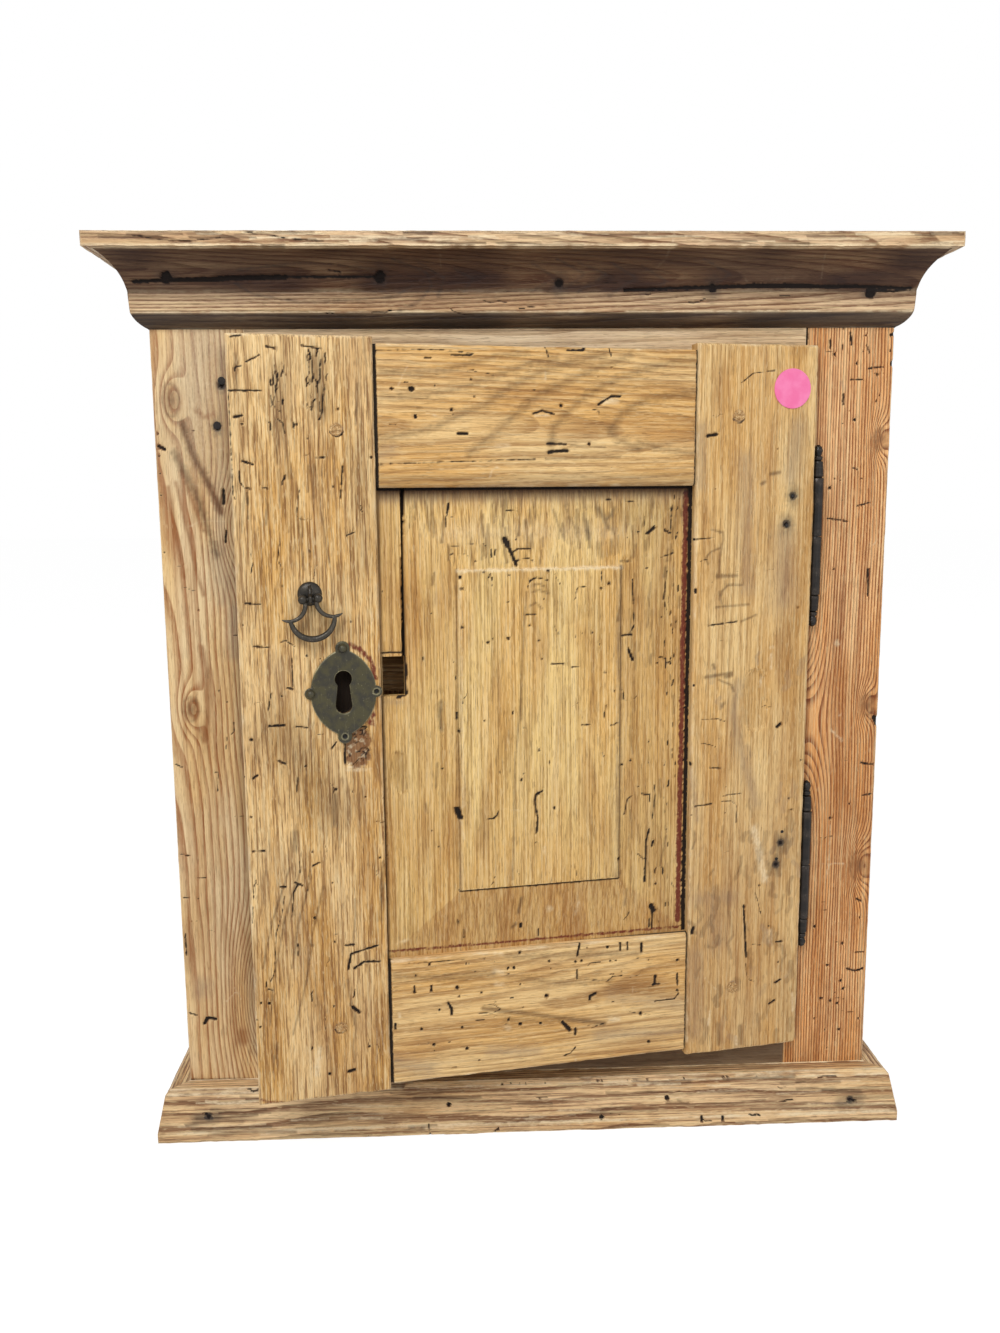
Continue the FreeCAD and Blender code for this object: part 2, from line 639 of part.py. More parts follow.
def mouldings():
    """Cornice and base moulding with the nails that hold them."""
    cornice_foot = S.total_height - S.cove_foot_drop - S.band_height - S.undercut_height
    cornice = moulding("cornice", cornice_sides, S.cornice_projection, cornice_foot)
    cornice.drill(FRONT, cornice_nail_places(), S.nail_head_radius, -S.cornice_projection,
                  cornice_nail_head + S.nail_head)
    cornice.drill(FRONT, cornice_nail_places(), S.nail_radius, cornice_nail_head, 0)
    base = moulding("base", base_sides, S.base_projection, as_dim(0))
    base.drill(FRONT, base_nail_places(), S.nail_head_radius, -S.base_projection,
               base_nail_head + S.nail_head)
    base.drill(FRONT, base_nail_places(), S.nail_radius, base_nail_head, 0)
    nails("cornice_nails", FRONT, cornice_nail_places(), cornice_nail_head,
          cornice_nail_head + S.moulding_nail_long, HEAD_LOW)
    nails("base_nails", FRONT, base_nail_places(), base_nail_head, base_nail_head + S.moulding_nail_long,
          HEAD_LOW)
    nails("stray_nails", FRONT, stray_nail_places(), 0, stray_nail_long, HEAD_LOW)


# ---------------------------------------------------------------- door frame and panel
door_tenon_front = door_front + (S.lip_thick + S.tongue_thick - S.door_tenon_thick) / 2
door_tenon_back = door_tenon_front + S.door_tenon_thick
top_door_tenon = (panel_top + S.door_tenon_shoulder, rails_top - S.door_tenon_shoulder)
bottom_door_tenon = (rails_bottom + S.door_tenon_shoulder, panel_bottom - S.door_tenon_shoulder)

# Pegs stand where they were driven: how far into the stile from its inner edge, and how far up the tenon.
PEGS = ((panel_left - S.peg_in_top_left, top_door_tenon, 0.37),
        (panel_right + S.peg_in_top_right, top_door_tenon, 0.53),
        (panel_left - S.peg_in_bottom_left, bottom_door_tenon, 0.52),
        (panel_right + S.peg_in_bottom_right, bottom_door_tenon, 0.5))


def peg_places():
    """Places of the four draw pegs, in the door's frame."""
    return [(x, tenon[0] + (tenon[1] - tenon[0]) * share) for x, tenon, share in PEGS]


def door_leaf_nail_places(split):
    """Places of the two nails through a door leaf, in the door's frame."""
    return [(door_x(S.door_nail_high_in), split + S.door_nail_high_rise),
            (door_x(S.door_nail_low_in), split + S.door_nail_low_rise)]


def frame_leaf_nail_places(split):
    """Depths and heights of the two nails through a frame leaf."""
    return [(S.frame_leaf_reach * FRAME_LEAF_NAIL_SHARE, split - drop)
            for drop in (S.frame_nail_high_drop, S.frame_nail_low_drop)]


def frame_leaf_span(split):
    """The height of a frame leaf below its knuckle joint."""
    return split - S.leaf_height, split - S.knuckle_joint_gap


def door_leaf_span(split):
    """The height of a door leaf above its knuckle joint."""
    return split + S.knuckle_joint_gap, split + S.leaf_height


frame_nail_end = hinge_x + S.frame_nail_bite


def door_stiles():
    """The two uprights of the door: a lip in front, a tongue behind, mortises and a panel groove."""
    for label, low, high in (("door_stile_left", door_edge_left, panel_left),
                             ("door_stile_right", panel_right, door_edge_right)):
        left = label == "door_stile_left"
        stile = Piece(label, on_door=True)
        stile.add(FRONT, rectangle(low, stiles_bottom, high, stiles_top), door_front, lip_back)
        back_low = low + tongue_inset if left else low
        back_high = high if left else high - tongue_inset
        stile.add(FRONT, rectangle(back_low, tongue_bottom, back_high, tongue_top), lip_back, door_back)
        near, far = (high - S.door_tenon_long, high) if left else (low, low + S.door_tenon_long)
        for bottom, top in (top_door_tenon, bottom_door_tenon):
            stile.cut(FRONT, rectangle(near, bottom, far, top), door_tenon_front, door_tenon_back)
        near, far = (high - S.groove_depth, high) if left else (low, low + S.groove_depth)
        stile.cut(FRONT, rectangle(near, panel_bottom - S.groove_depth, far, panel_top + S.groove_depth),
                  panel_front, panel_back)
        own = [place for place in peg_places() if (place[0].value < panel_left.value) == left]
        stile.drill(FRONT, own, S.peg_radius, door_front, door_back)
        if left:
            lock_holes(stile)
        else:
            for split in (top_hinge_height, bottom_hinge_height):
                leaf_bottom, leaf_top = door_leaf_span(split)
                stile.cut(FRONT, rectangle(door_x(S.door_leaf_reach), leaf_bottom,
                                           door_edge_right, leaf_top), -S.leaf_thick / 2, S.leaf_thick / 2)
                stile.drill(FRONT, door_leaf_nail_places(split), S.hinge_nail_radius,
                            door_front, leaf_nail_end)


leaf_nail_end = S.leaf_thick / 2 + S.door_nail_bite


def door_rails():
    """Top and bottom rails of the door, tenoned and pegged, grooved for the panel."""
    for label, low, high, tenon in (("door_rail_top", panel_top, rails_top, top_door_tenon),
                                    ("door_rail_bottom", rails_bottom, panel_bottom, bottom_door_tenon)):
        top = label == "door_rail_top"
        rail = Piece(label, on_door=True)
        rail.add(FRONT, rectangle(panel_left, low, panel_right, high), door_front, lip_back)
        back_low = low if top else tongue_bottom
        back_high = tongue_top if top else high
        rail.add(FRONT, rectangle(panel_left, back_low, panel_right, back_high), lip_back, door_back)
        rail.add(FRONT, rectangle(panel_left - S.door_tenon_long, tenon[0],
                                  panel_right + S.door_tenon_long, tenon[1]),
                 door_tenon_front, door_tenon_back)
        near, far = (low, low + S.groove_depth) if top else (high - S.groove_depth, high)
        rail.cut(FRONT, rectangle(panel_left - S.groove_depth, near, panel_right + S.groove_depth, far),
                 panel_front, panel_back)
        own = [place for place in peg_places() if (place[1].value > S.keyhole_height.value) == top]
        rail.drill(FRONT, own, S.peg_radius, door_tenon_front, door_tenon_back)


def door_panel():
    """A raised and fielded panel: thin edges in the grooves, wide bevels, a step and a flat field."""
    left = panel_left - S.panel_hold_left
    right = panel_right + S.panel_hold_right
    bottom = panel_bottom - S.panel_hold_ends
    top = panel_top + S.panel_hold_ends
    panel = Piece("door_panel", on_door=True)
    panel.add(FRONT, rectangle(left, bottom, right, top), panel_front, panel_back)
    field = (panel_left + S.bevel_left, panel_bottom + S.bevel_bottom,
             panel_right - S.bevel_right, panel_top - S.bevel_top)
    bevel_front = panel_front - S.panel_bevel_rise
    loft = panel.body.newObject("PartDesign::AdditiveLoft", "door_panel_bevels")
    loft.Profile = panel.draw(FRONT, panel_front, rectangle(panel_left, panel_bottom, panel_right, panel_top))
    loft.Sections = [panel.draw(FRONT, bevel_front, rectangle(*field))]
    loft.Ruled = True
    panel.add(FRONT, rectangle(*field), bevel_front - S.panel_step, bevel_front)
    hole_left = panel_left + S.old_hole_edge
    hole_top = panel_top - S.old_hole_drop
    hole_right = hole_left + S.old_hole_width
    panel.cut(FRONT, rectangle(hole_left, hole_top - S.old_hole_height, hole_right, hole_top),
              bevel_front - S.panel_step, panel_back)
    split = [Line(hole_right - S.split_width, hole_top), Line(hole_right, hole_top),
             Line(hole_right + S.split_width, top), Line(hole_right + S.split_width / 2, top)]
    panel.cut(FRONT, split, bevel_front - S.panel_step, panel_back)


def door_pegs():
    """Four round draw pegs through the door's tenons, a little proud in front."""
    pegs = Piece("door_pegs", on_door=True, several=True)
    pegs.add_dots(FRONT, peg_places(), S.peg_radius, door_front - S.peg_proud, door_back)


# ---------------------------------------------------------------- hinges
# The finial's turning below its ball: tenths of its length, and shares of the knuckle's radius.
FINIAL_TURNING = ((0, 1), (0.35, 0.75), (0.7, 0.91), (5, 0.79), (5.25, 0.5), (5.65, 0.68), (6.4, 0.68),
                  (6.8, 0.48))
FINIAL_TIP = 0.25


def finial_sides(bore_end, knuckle_end, tip, out):
    """A turned finial's half outline: a groove, a tapered drum, a collar, and a ball with a small tip."""
    step = (tip - knuckle_end) / 10
    outline = [Line(S.knuckle_radius * wide, knuckle_end + step * away) for away, wide in FINIAL_TURNING]
    return outline + [Arc(S.knuckle_radius * FINIAL_TIP, tip - step * FINIAL_TIP, S.finial_long / 5, out),
                      Line(0, tip), Line(0, bore_end)]


def hinges():
    """Two lift-off hinges: a door half that drops over a pin in the frame half."""
    for name, split in (("top", top_hinge_height), ("bottom", bottom_hinge_height)):
        upper_joint = split + S.knuckle_joint_gap
        upper_end = split + S.knuckle_long
        upper_tip = upper_end + S.finial_long
        half = Piece(f"hinge_{name}_door_half", 0, 0, split, on_door=True)
        half.spin(FRONT, [Line(S.knuckle_radius, upper_joint)]
                  + finial_sides(upper_joint, upper_end, upper_tip, 1), V_AXIS)
        leaf_bottom, leaf_top = door_leaf_span(split)
        half.add(FRONT, rectangle(door_x(S.door_leaf_reach), leaf_bottom, 0, leaf_top),
                 -S.leaf_thick / 2, S.leaf_thick / 2)
        half.drill(TOP, [(0, 0)], S.pin_radius + S.pin_clearance, upper_joint, upper_end)
        half.drill(FRONT, door_leaf_nail_places(split), S.hinge_nail_radius,
                   -S.leaf_thick / 2, S.leaf_thick / 2)
        lower_end = split - S.knuckle_long
        lower_tip = lower_end - S.finial_long
        frame_half = Piece(f"hinge_{name}_frame_half", 0, 0, split, at_hinge=True)
        frame_half.spin(FRONT, [Line(S.knuckle_radius, split)]
                        + finial_sides(split, lower_end, lower_tip, -1), V_AXIS)
        leaf_bottom, leaf_top = frame_leaf_span(split)
        leaf_end = S.hinge_front + S.frame_leaf_reach
        frame_half.add(SIDE, rectangle(0, leaf_bottom, leaf_end, leaf_top),
                       -S.leaf_thick / 2, S.leaf_thick / 2)
        frame_half.drill(TOP, [(0, 0)], S.pin_radius, lower_end, split)
        places = [(y + S.hinge_front, z) for y, z in frame_leaf_nail_places(split)]
        frame_half.drill(SIDE, places, S.hinge_nail_radius, -S.leaf_thick / 2, S.leaf_thick / 2)
        pin = Piece(f"hinge_{name}_pin", 0, 0, lower_end, at_hinge=True)
        pin.add_dots(TOP, [(0, 0)], S.pin_radius, lower_end, upper_end - S.pin_end_gap)
    frame_nails = Piece("hinge_frame_nails", several=True)
    places = frame_leaf_nail_places(top_hinge_height) + frame_leaf_nail_places(bottom_hinge_height)
    frame_nails.add_dots(SIDE, places, S.hinge_nail_radius, opening_right, frame_nail_end)
    door_nails = Piece("hinge_door_nails", on_door=True, several=True)
    places = door_leaf_nail_places(top_hinge_height) + door_leaf_nail_places(bottom_hinge_height)
    door_nails.add_dots(FRONT, places, S.hinge_nail_radius, door_front, leaf_nail_end)


# ---------------------------------------------------------------- lock and escutcheon
escutcheon_z = S.keyhole_height - S.escutcheon_drop
lock_left = door_x(door_width - tongue_inset)
lock_right = door_x(door_width - S.lock_inner_edge)
lock_back = door_back + S.lock_thick
bolt_front = door_back + S.bolt_inset
bolt_back = bolt_front + S.bolt_thick


def ear_places():
    """The escutcheon's ears: top and bottom, then left and right."""
    ends = [(keyhole_x, escutcheon_z + S.escutcheon_half_height),
            (keyhole_x, escutcheon_z - S.escutcheon_half_height)]
    flanks = [(keyhole_x - S.escutcheon_half_width, escutcheon_z),
              (keyhole_x + S.escutcheon_half_width, escutcheon_z)]
    return ends, flanks


def nailed_ears():
    """The two ears that still have their nails."""
    ends, flanks = ear_places()
    return [ends[0], flanks[0]]


def keyhole_cut(piece, low, high):
    """A round eye over a slot that widens to a rounded foot."""
    foot = S.keyhole_height - S.keyhole_drop
    lip = foot + S.keyhole_foot * 1.2
    piece.drill(FRONT, [(keyhole_x, S.keyhole_height)], S.keyhole_radius, low, high)
    slot = [Line(keyhole_x - S.keyhole_neck, S.keyhole_height), Line(keyhole_x - S.keyhole_foot, lip),
            Arc(keyhole_x + S.keyhole_foot, lip, S.keyhole_foot * 1.15, 1),
            Line(keyhole_x + S.keyhole_neck, S.keyhole_height)]
    piece.cut(FRONT, slot, low, high)


def lock_nail_places():
    """Places of the nails through the lock's tabs."""
    across = [lock_left + (lock_right - lock_left) * share for share in LOCK_NAIL_SHARES]
    half_tab = S.lock_tab / 2
    return [(x, z) for x in across for z in (lock_bottom - half_tab, lock_top + half_tab)]


lock_nail_point = door_back - S.tongue_thick * LOCK_NAIL_DEPTH
lock_nail_top = door_back + S.lock_wall + S.nail_head


def lock_holes(stile):
    """Holes in the left stile: keyhole, pull, escutcheon nails, empty nail holes and lock nails."""
    keyhole_cut(stile, door_front, door_back)
    ends, flanks = ear_places()
    nail_end = door_front + S.lip_thick * EAR_NAIL_DEPTH
    stile.drill(FRONT, ends + flanks, S.ear_hole_radius, door_front, nail_end)
    stile.drill(FRONT, [(pull_x, pull_height)], S.pull_shank_radius, door_front, door_back)
    stile.drill(FRONT, lock_nail_places(), S.nail_radius, lock_nail_point, door_back)


def escutcheon():
    """A pointed oval brass plate with four nail ears, and its two remaining domed nails."""
    front = door_front - S.escutcheon_thick
    plate = Piece("escutcheon", on_door=True)
    tall, wide = S.escutcheon_half_height, S.escutcheon_half_width
    bow = (tall * tall + wide * wide) / (wide * 2)
    sides = [Arc(keyhole_x, escutcheon_z - tall, bow, 1), Arc(keyhole_x, escutcheon_z + tall, bow, 1)]
    plate.add(FRONT, sides, front, door_front)
    ends, flanks = ear_places()
    plate.add_dots(FRONT, ends, S.ear_radius, front, door_front)
    plate.add_dots(FRONT, flanks, S.side_ear_radius, front, door_front)
    keyhole_cut(plate, front, door_front)
    plate.drill(FRONT, ends + flanks, S.ear_hole_radius, front, door_front)
    shanks = []
    for number, (x, z) in enumerate(nailed_ears(), start=1):
        dome = doc.addObject("Part::Sphere", f"dome_{number}")
        bind(dome, "Radius", S.dome_radius)
        bind(dome, "Angle1", 0)
        dome.Placement.Rotation = FreeCAD.Rotation(FreeCAD.Vector(1, 0, 0), 90)
        shank = doc.addObject("Part::Cylinder", f"dome_shank_{number}")
        bind(shank, "Radius", S.ear_hole_radius)
        bind(shank, "Height", S.escutcheon_thick + S.lip_thick * EAR_NAIL_DEPTH)
        shank.Placement.Rotation = FreeCAD.Rotation(FreeCAD.Vector(1, 0, 0), -90)
        for solid in (dome, shank):
            bind(solid, "Placement.Base.x", x)
            bind(solid, "Placement.Base.y", front)
            bind(solid, "Placement.Base.z", z)
        shanks += [dome, shank]
    fused = doc.addObject("Part::MultiFuse", "escutcheon_nails")
    fused.Shapes = shanks
    fused.Label = "escutcheon_nails"
    place(fused, {"x": as_dim(0), "y": as_dim(0), "z": as_dim(0)}, on_door=True)


def lock():
    """An iron box lock on the back of the left stile, with its bolt, key post and spring."""
    case = Piece("lock_case", on_door=True)
    case.add(FRONT, rectangle(lock_left, lock_bottom, lock_right, lock_top), door_back, lock_back)
    case.cut(FRONT, rectangle(lock_left + S.lock_wall, lock_bottom + S.lock_wall,
                              lock_right - S.lock_wall, lock_top - S.lock_wall),
             door_back, lock_back - S.lock_wall)
    for low, high in ((lock_bottom - S.lock_tab, lock_bottom), (lock_top, lock_top + S.lock_tab)):
        case.add(FRONT, rectangle(lock_left, low, lock_right, high), door_back, door_back + S.lock_wall)
    case.drill(FRONT, lock_nail_places(), S.nail_radius, door_back, door_back + S.lock_wall)
    gap = S.bolt_clearance
    case.cut(FRONT, rectangle(lock_left, bolt_bottom - gap, lock_left + S.lock_wall, bolt_top + gap),
             bolt_front - gap, bolt_back + gap)
    nails("lock_nails", FRONT, lock_nail_places(), lock_nail_point, lock_nail_top, HEAD_HIGH, on_door=True)
    bolt_tail = lock_right - S.lock_wall - S.bolt_tail_gap
    bolt = Piece("lock_bolt", lock_left, bolt_front, bolt_bottom, on_door=True)
    bolt.add(FRONT, rectangle(lock_left, bolt_bottom, bolt_tail, bolt_top), bolt_front, bolt_back)
    foot, crown = S.bolt_bite, S.bolt_bite * 0.75
    bite = [Line(keyhole_x - foot, bolt_bottom), Line(keyhole_x + foot, bolt_bottom),
            Line(keyhole_x + crown, bolt_bottom + foot), Line(keyhole_x - crown, bolt_bottom + foot)]
    bolt.cut(FRONT, bite, bolt_front, bolt_back)
    post = Piece("lock_key_post", on_door=True)
    post.add_dots(FRONT, [(keyhole_x, S.keyhole_height)], S.key_post_radius, door_back,
                  lock_back - S.lock_wall)
    spring_low = bolt_top + gap
    spring_high = lock_top - S.lock_wall - S.spring_thick
    ends = (lock_left + S.lock_wall + S.spring_end_gap, bolt_tail)
    half_span = (ends[1] - ends[0]) / 2
    sag = spring_high - spring_low
    bend = (half_span * half_span + sag * sag) / (sag * 2)
    spring = Piece("lock_spring", on_door=True)
    spring.add(FRONT, [Arc(ends[1], spring_high, bend, 1),
                       Line(ends[1], spring_high + S.spring_thick),
                       Arc(ends[0], spring_high + S.spring_thick, bend, -1),
                       Line(ends[0], spring_high)], bolt_front, bolt_back)


# ---------------------------------------------------------------- drop pull
def pull():
    """A rosette clenched through the stile, and the bail that swings from its rib."""
    rosette = Piece("pull_rosette", *pull_corner.values(), on_door=True)
    clench = door_back + S.washer_thick
    rosette.spin(SIDE, [Arc(door_front - S.rosette_rise * 0.25, pull_height + S.rosette_radius,
                            S.rosette_radius * 1.35, -1),
                        Line(door_front, pull_height + S.rosette_radius),
                        Line(door_front, pull_height + S.pull_shank_radius),
                        Line(clench, pull_height + S.pull_shank_radius),
                        Line(clench, pull_height + S.pull_shank_radius * 1.6),
                        Line(clench + S.clench_head, pull_height + S.pull_shank_radius * 1.3),
                        Line(clench + S.clench_head, pull_height),
                        Line(door_front - S.rosette_rise, pull_height)], H_AXIS)
    half_rib = S.rib_thick / 2
    rib_root = door_front - S.rib_root_inset
    rib = [Line(rib_root, pivot_z - S.rib_radius), Line(pivot_y, pivot_z - S.rib_radius),
           Arc(pivot_y, pivot_z + S.rib_radius, S.rib_radius * 1.02, -1),
           Line(door_front - S.rosette_rise * 0.6, pull_height + S.rosette_radius * 0.6),
           Line(rib_root, pull_height + S.rosette_radius * 0.6)]
    rosette.add(SIDE, rib, pull_x - half_rib, pull_x + half_rib)
    rosette.drill(SIDE, [(pivot_y, pivot_z)], S.pivot_radius + S.pivot_clearance,
                  pull_x - half_rib, pull_x + half_rib)
    half_washer = S.washer_width / 2
    washer = Piece("pull_washer", on_door=True)
    washer.add(FRONT, rectangle(pull_x - half_washer, pull_height - half_washer,
                                pull_x + half_washer, pull_height + half_washer), door_back, clench)
    washer.drill(FRONT, [(pull_x, pull_height)], S.pull_shank_radius, door_back, clench)


def bail():
    """The swinging bail: two pivot balls on a pin, two curled arms and the crescent between them."""
    ring = Piece("pull_bail", pull_x, pivot_y, pivot_z, on_door=True)
    half_pin = S.pivot_radius
    ball_inner = S.ball_spread - root(S.ball_radius * S.ball_radius - half_pin * half_pin)
    ball_outer = S.ball_spread + S.ball_radius
    along = [pull_x - ball_outer, pull_x - ball_inner, pull_x + ball_inner, pull_x + ball_outer]
    ring.spin(FRONT, [Arc(along[0], pivot_z, S.ball_radius, 1),
                      Line(along[3], pivot_z), Arc(along[2], pivot_z + half_pin, S.ball_radius, 1),
                      Line(along[1], pivot_z + half_pin)], H_AXIS)
    half_arm = S.arm_thick / 2
    for side in (-1, 1):
        root_z, tip_z = pivot_z - S.arm_root_drop, pivot_z - S.arm_tip_drop
        tip_x = pull_x + S.arm_tip_out * side
        arm = [Line(pull_x + S.arm_root_outer * side, root_z),
               Arc(tip_x, tip_z, S.arm_outer_radius, side),
               Arc(pull_x + S.arm_root_inner * side, root_z, S.arm_inner_radius, -side)]
        ring.add(FRONT, arm, pivot_y - half_arm, pivot_y + half_arm)
    half_crescent = S.crescent_thick / 2
    ends_z = pivot_z - S.crescent_ends_drop
    crescent = [Line(pull_x - S.crescent_outer, ends_z),
                Arc(pull_x + S.crescent_outer, ends_z, S.crescent_outer_radius, 1),
                Line(pull_x + S.crescent_inner, ends_z),
                Arc(pull_x - S.crescent_inner, ends_z, S.crescent_inner_radius, -1)]
    ring.add(FRONT, crescent, pivot_y - half_crescent, pivot_y + half_crescent)


def price_dot():
    """A blank round paper dot stuck to the right stile near its top."""
    dot = Piece("price_dot", on_door=True)
    place_of_dot = (door_x(S.dot_inset), stiles_top - S.dot_drop)
    dot.add_dots(FRONT, [place_of_dot], S.dot_radius, door_front - S.dot_thick, door_front)


# ---------------------------------------------------------------- build, check and write
def finished_pieces():
    """Every body, and every Part object that no other object uses."""
    bodies = [item for item in doc.Objects if item.TypeId == "PartDesign::Body"]
    solids = [item for item in doc.Objects if item.TypeId.startswith("Part::") and not item.InList
              and hasattr(item, "Shape")]
    return bodies + solids


def check_document():
    """Stop if any object failed, any pocket cut nothing, or any piece is null or invalid."""
    for item in doc.Objects:
        if "Invalid" in item.State or "Error" in item.State:
            raise RuntimeError(f"{item.Name} failed: {item.State}")
        if item.TypeId == "PartDesign::Pocket" and item.BaseFeature is not None:
            if item.Shape.Volume > item.BaseFeature.Shape.Volume - ZERO_SIZE:
                raise RuntimeError(f"{item.Name} cuts nothing")
    for piece in finished_pieces():
        if piece.Shape.isNull() or not piece.Shape.isValid():
            raise RuntimeError(f"{piece.Label} has no valid shape")


def write_pieces():
    """One STEP file for each piece, named for its label."""
    os.makedirs("parts", exist_ok=True)
    for piece in finished_pieces():
        piece.Shape.exportStep(f"parts/{piece.Label}.step")
        print(f"{piece.Label}: {len(piece.Shape.Solids)} solid(s), {piece.Shape.Volume / 1000:.2f} cm3")


carcass_sides()
carcass_boards()
back_boards()
face_stiles()
face_rails()
mouldings()
door_stiles()
door_rails()
door_panel()
door_pegs()
hinges()
escutcheon()
lock()
pull()
bail()
price_dot()
doc.recompute()
check_document()
write_pieces()
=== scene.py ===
"""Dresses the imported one-door pine cupboard with worn wood, old iron, brass and paper."""

from __future__ import annotations

import itertools
import logging
import math
from collections.abc import Callable
from dataclasses import dataclass, field
from enum import Enum

import bpy
import numpy as np
from mathutils import Matrix, Vector

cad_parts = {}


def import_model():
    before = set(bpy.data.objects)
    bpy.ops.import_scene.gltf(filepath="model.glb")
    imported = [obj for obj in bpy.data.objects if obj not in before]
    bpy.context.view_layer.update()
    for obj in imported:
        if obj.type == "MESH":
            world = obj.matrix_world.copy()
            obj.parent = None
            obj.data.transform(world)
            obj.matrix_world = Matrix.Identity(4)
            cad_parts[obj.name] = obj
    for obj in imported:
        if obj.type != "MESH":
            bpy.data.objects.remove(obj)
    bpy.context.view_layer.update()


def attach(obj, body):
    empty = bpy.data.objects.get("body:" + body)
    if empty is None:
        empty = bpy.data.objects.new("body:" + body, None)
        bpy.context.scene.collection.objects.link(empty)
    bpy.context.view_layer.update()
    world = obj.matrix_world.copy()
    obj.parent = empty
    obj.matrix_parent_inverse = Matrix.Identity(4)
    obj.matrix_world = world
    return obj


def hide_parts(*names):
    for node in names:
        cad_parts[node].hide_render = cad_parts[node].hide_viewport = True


log = logging.getLogger("cupboard")

MM = 0.001
HINGE_AXIS = (190.5, -5.0)
DOOR_AJAR = math.radians(9.62)
SHARP_EDGE = math.radians(42)
DEEPEST_MARK = 1.4
WHITE = (1.0, 1.0, 1.0, 1.0)
BROAD_NAIL = 9.0

Point = tuple[float, float]


class Layer(Enum):
    """What a mark does to the surface; each is a value kept at the mesh's points."""

    # Cracks, holes and dark joints; also painted shade in the keyhole's recess and a painted shadow line under
    # the cornice.
    DARK = "dark"
    # Iron stains and knot hearts; also painted shade in the cornice's cove and a painted shadow under its band.
    STAIN = "stain"
    GREY = "grey"
    WEAR = "wear"
    RED = "red"
    # Dirt and brown streaks; also painted shade and shadow: under the cornice, on the rail below the door,
    # across the panel's top and beside the door on both stiles.
    GRIME = "grime"
    KNOT = "knot"


class Run(Enum):
    """The way a piece's grain runs, as an axis index of its seat's frame."""

    ACROSS = 0
    DEEP = 1
    UPRIGHT = 2


class Source(Enum):
    """Where a wood finish finds its grain: in values at the mesh's points, or in Object coordinates."""

    POINTS = "points"
    COORDINATES = "coordinates"


# ------------------------------------------------------------------ arrays
def eased(share: np.ndarray) -> np.ndarray:
    """The smoothstep of a share from 0 to 1: three times its square less twice its cube."""
    return share * share * (3 - 2 * share)


def around(count: int) -> np.ndarray:
    """Angles evenly spaced round a full turn."""
    return np.linspace(0, 2 * math.pi, count, endpoint=False)


def lattice_values(cells: np.ndarray, seed: int) -> np.ndarray:
    """Draws a fixed number from 0 to 1 for each whole-number cell.

    Args:
        cells: Whole-number cells, three numbers to each.
        seed: Which family of numbers to draw from.

    Returns:
        One number for each cell, by multiplying, folding and masking its three numbers.
    """
    mixed = cells[..., 0] * 374761393 + cells[..., 1] * 668265263 + cells[..., 2] * 1442695041
    mixed = mixed + seed * 1274126177
    mixed = (mixed ^ (mixed >> 13)) * 1274126177
    return ((mixed ^ (mixed >> 16)) & 0xFFFFFF) / 0xFFFFFF


def noise(points: np.ndarray, seed: int) -> np.ndarray:
    """Smooth noise: lattice numbers blended by the smoothstep of the place inside each cell.

    Args:
        points: Places in lattice units, three numbers to each.
        seed: Which noise to read.

    Returns:
        Numbers from -1 to 1.
    """
    cell = np.floor(points).astype(np.int64)
    part = eased(points - cell)
    total = np.zeros(points.shape[:-1])
    for corner in itertools.product((0, 1), repeat=3):
        weight = np.prod(np.where(np.array(corner) == 1, part, 1 - part), axis=-1)
        total += weight * lattice_values(cell + np.array(corner), seed)
    return total * 2 - 1


def noise2(across: np.ndarray, along: np.ndarray, seed: int) -> np.ndarray:
    """Noise on a plane, for places already in lattice units."""
    across, along = np.broadcast_arrays(across, along)
    return noise(np.stack([across, along, np.full(across.shape, 0.5)], axis=-1), seed)


def ramp(values: np.ndarray, low: float, high: float) -> np.ndarray:
    """Smoothstep from 0 at low to 1 at high."""
    return eased(np.clip((values - low) / (high - low), 0, 1))


def spaced(stops: list[float], pitch: float) -> np.ndarray:
    """Places along a line that include every stop, at most a pitch apart.

    Args:
        stops: Places that must be kept, in any order.
        pitch: The widest step allowed.

    Returns:
        Rising places.
    """
    stops = sorted(set(stops))
    pieces = [np.linspace(a, b, max(2, math.ceil((b - a) / pitch) + 1))[:-1]
              for a, b in zip(stops, stops[1:])]
    return np.concatenate(pieces + [np.array([stops[-1]])])


def edged(low: float, high: float, pitch: float, radius: float) -> np.ndarray:
    """Places from low to high that crowd together near both ends, where an edge is rounded."""
    near = [radius * share for share in (0.0, 0.12, 0.35, 0.7, 1.1)]
    return spaced([low + d for d in near] + [high - d for d in near], pitch)


def rounding(distance: np.ndarray, radius: np.ndarray) -> np.ndarray:
    """How far a rounded edge falls at a distance from it: radius less the height of a quarter circle."""
    inside = np.clip(radius - distance, 0, None)
    return radius - np.sqrt(np.clip(radius * radius - inside * inside, 0, None))


# ------------------------------------------------------------------ marks
@dataclass(frozen=True)
class Mark:
    """A line or blot on a face, in millimetres across and up the face.

    Attributes:
        layer: What it does to the surface.
        path: The points it passes through; one point makes a blot.
        width: Its full width.
        depth: How far it is sunk.
        soft: The width over which its edge fades.
        strength: How strongly it shows, from 0 to 1.
        tall: How many times taller than wide a blot is.
        ragged: How far its edge wanders.
    """

    layer: Layer
    path: tuple[Point, ...]
    width: float
    depth: float = 0.0
    soft: float = 0.6
    strength: float = 1.0
    tall: float = 1.0
    ragged: float = 0.0


Marks = list["Mark | Scatter | list[Mark]"]


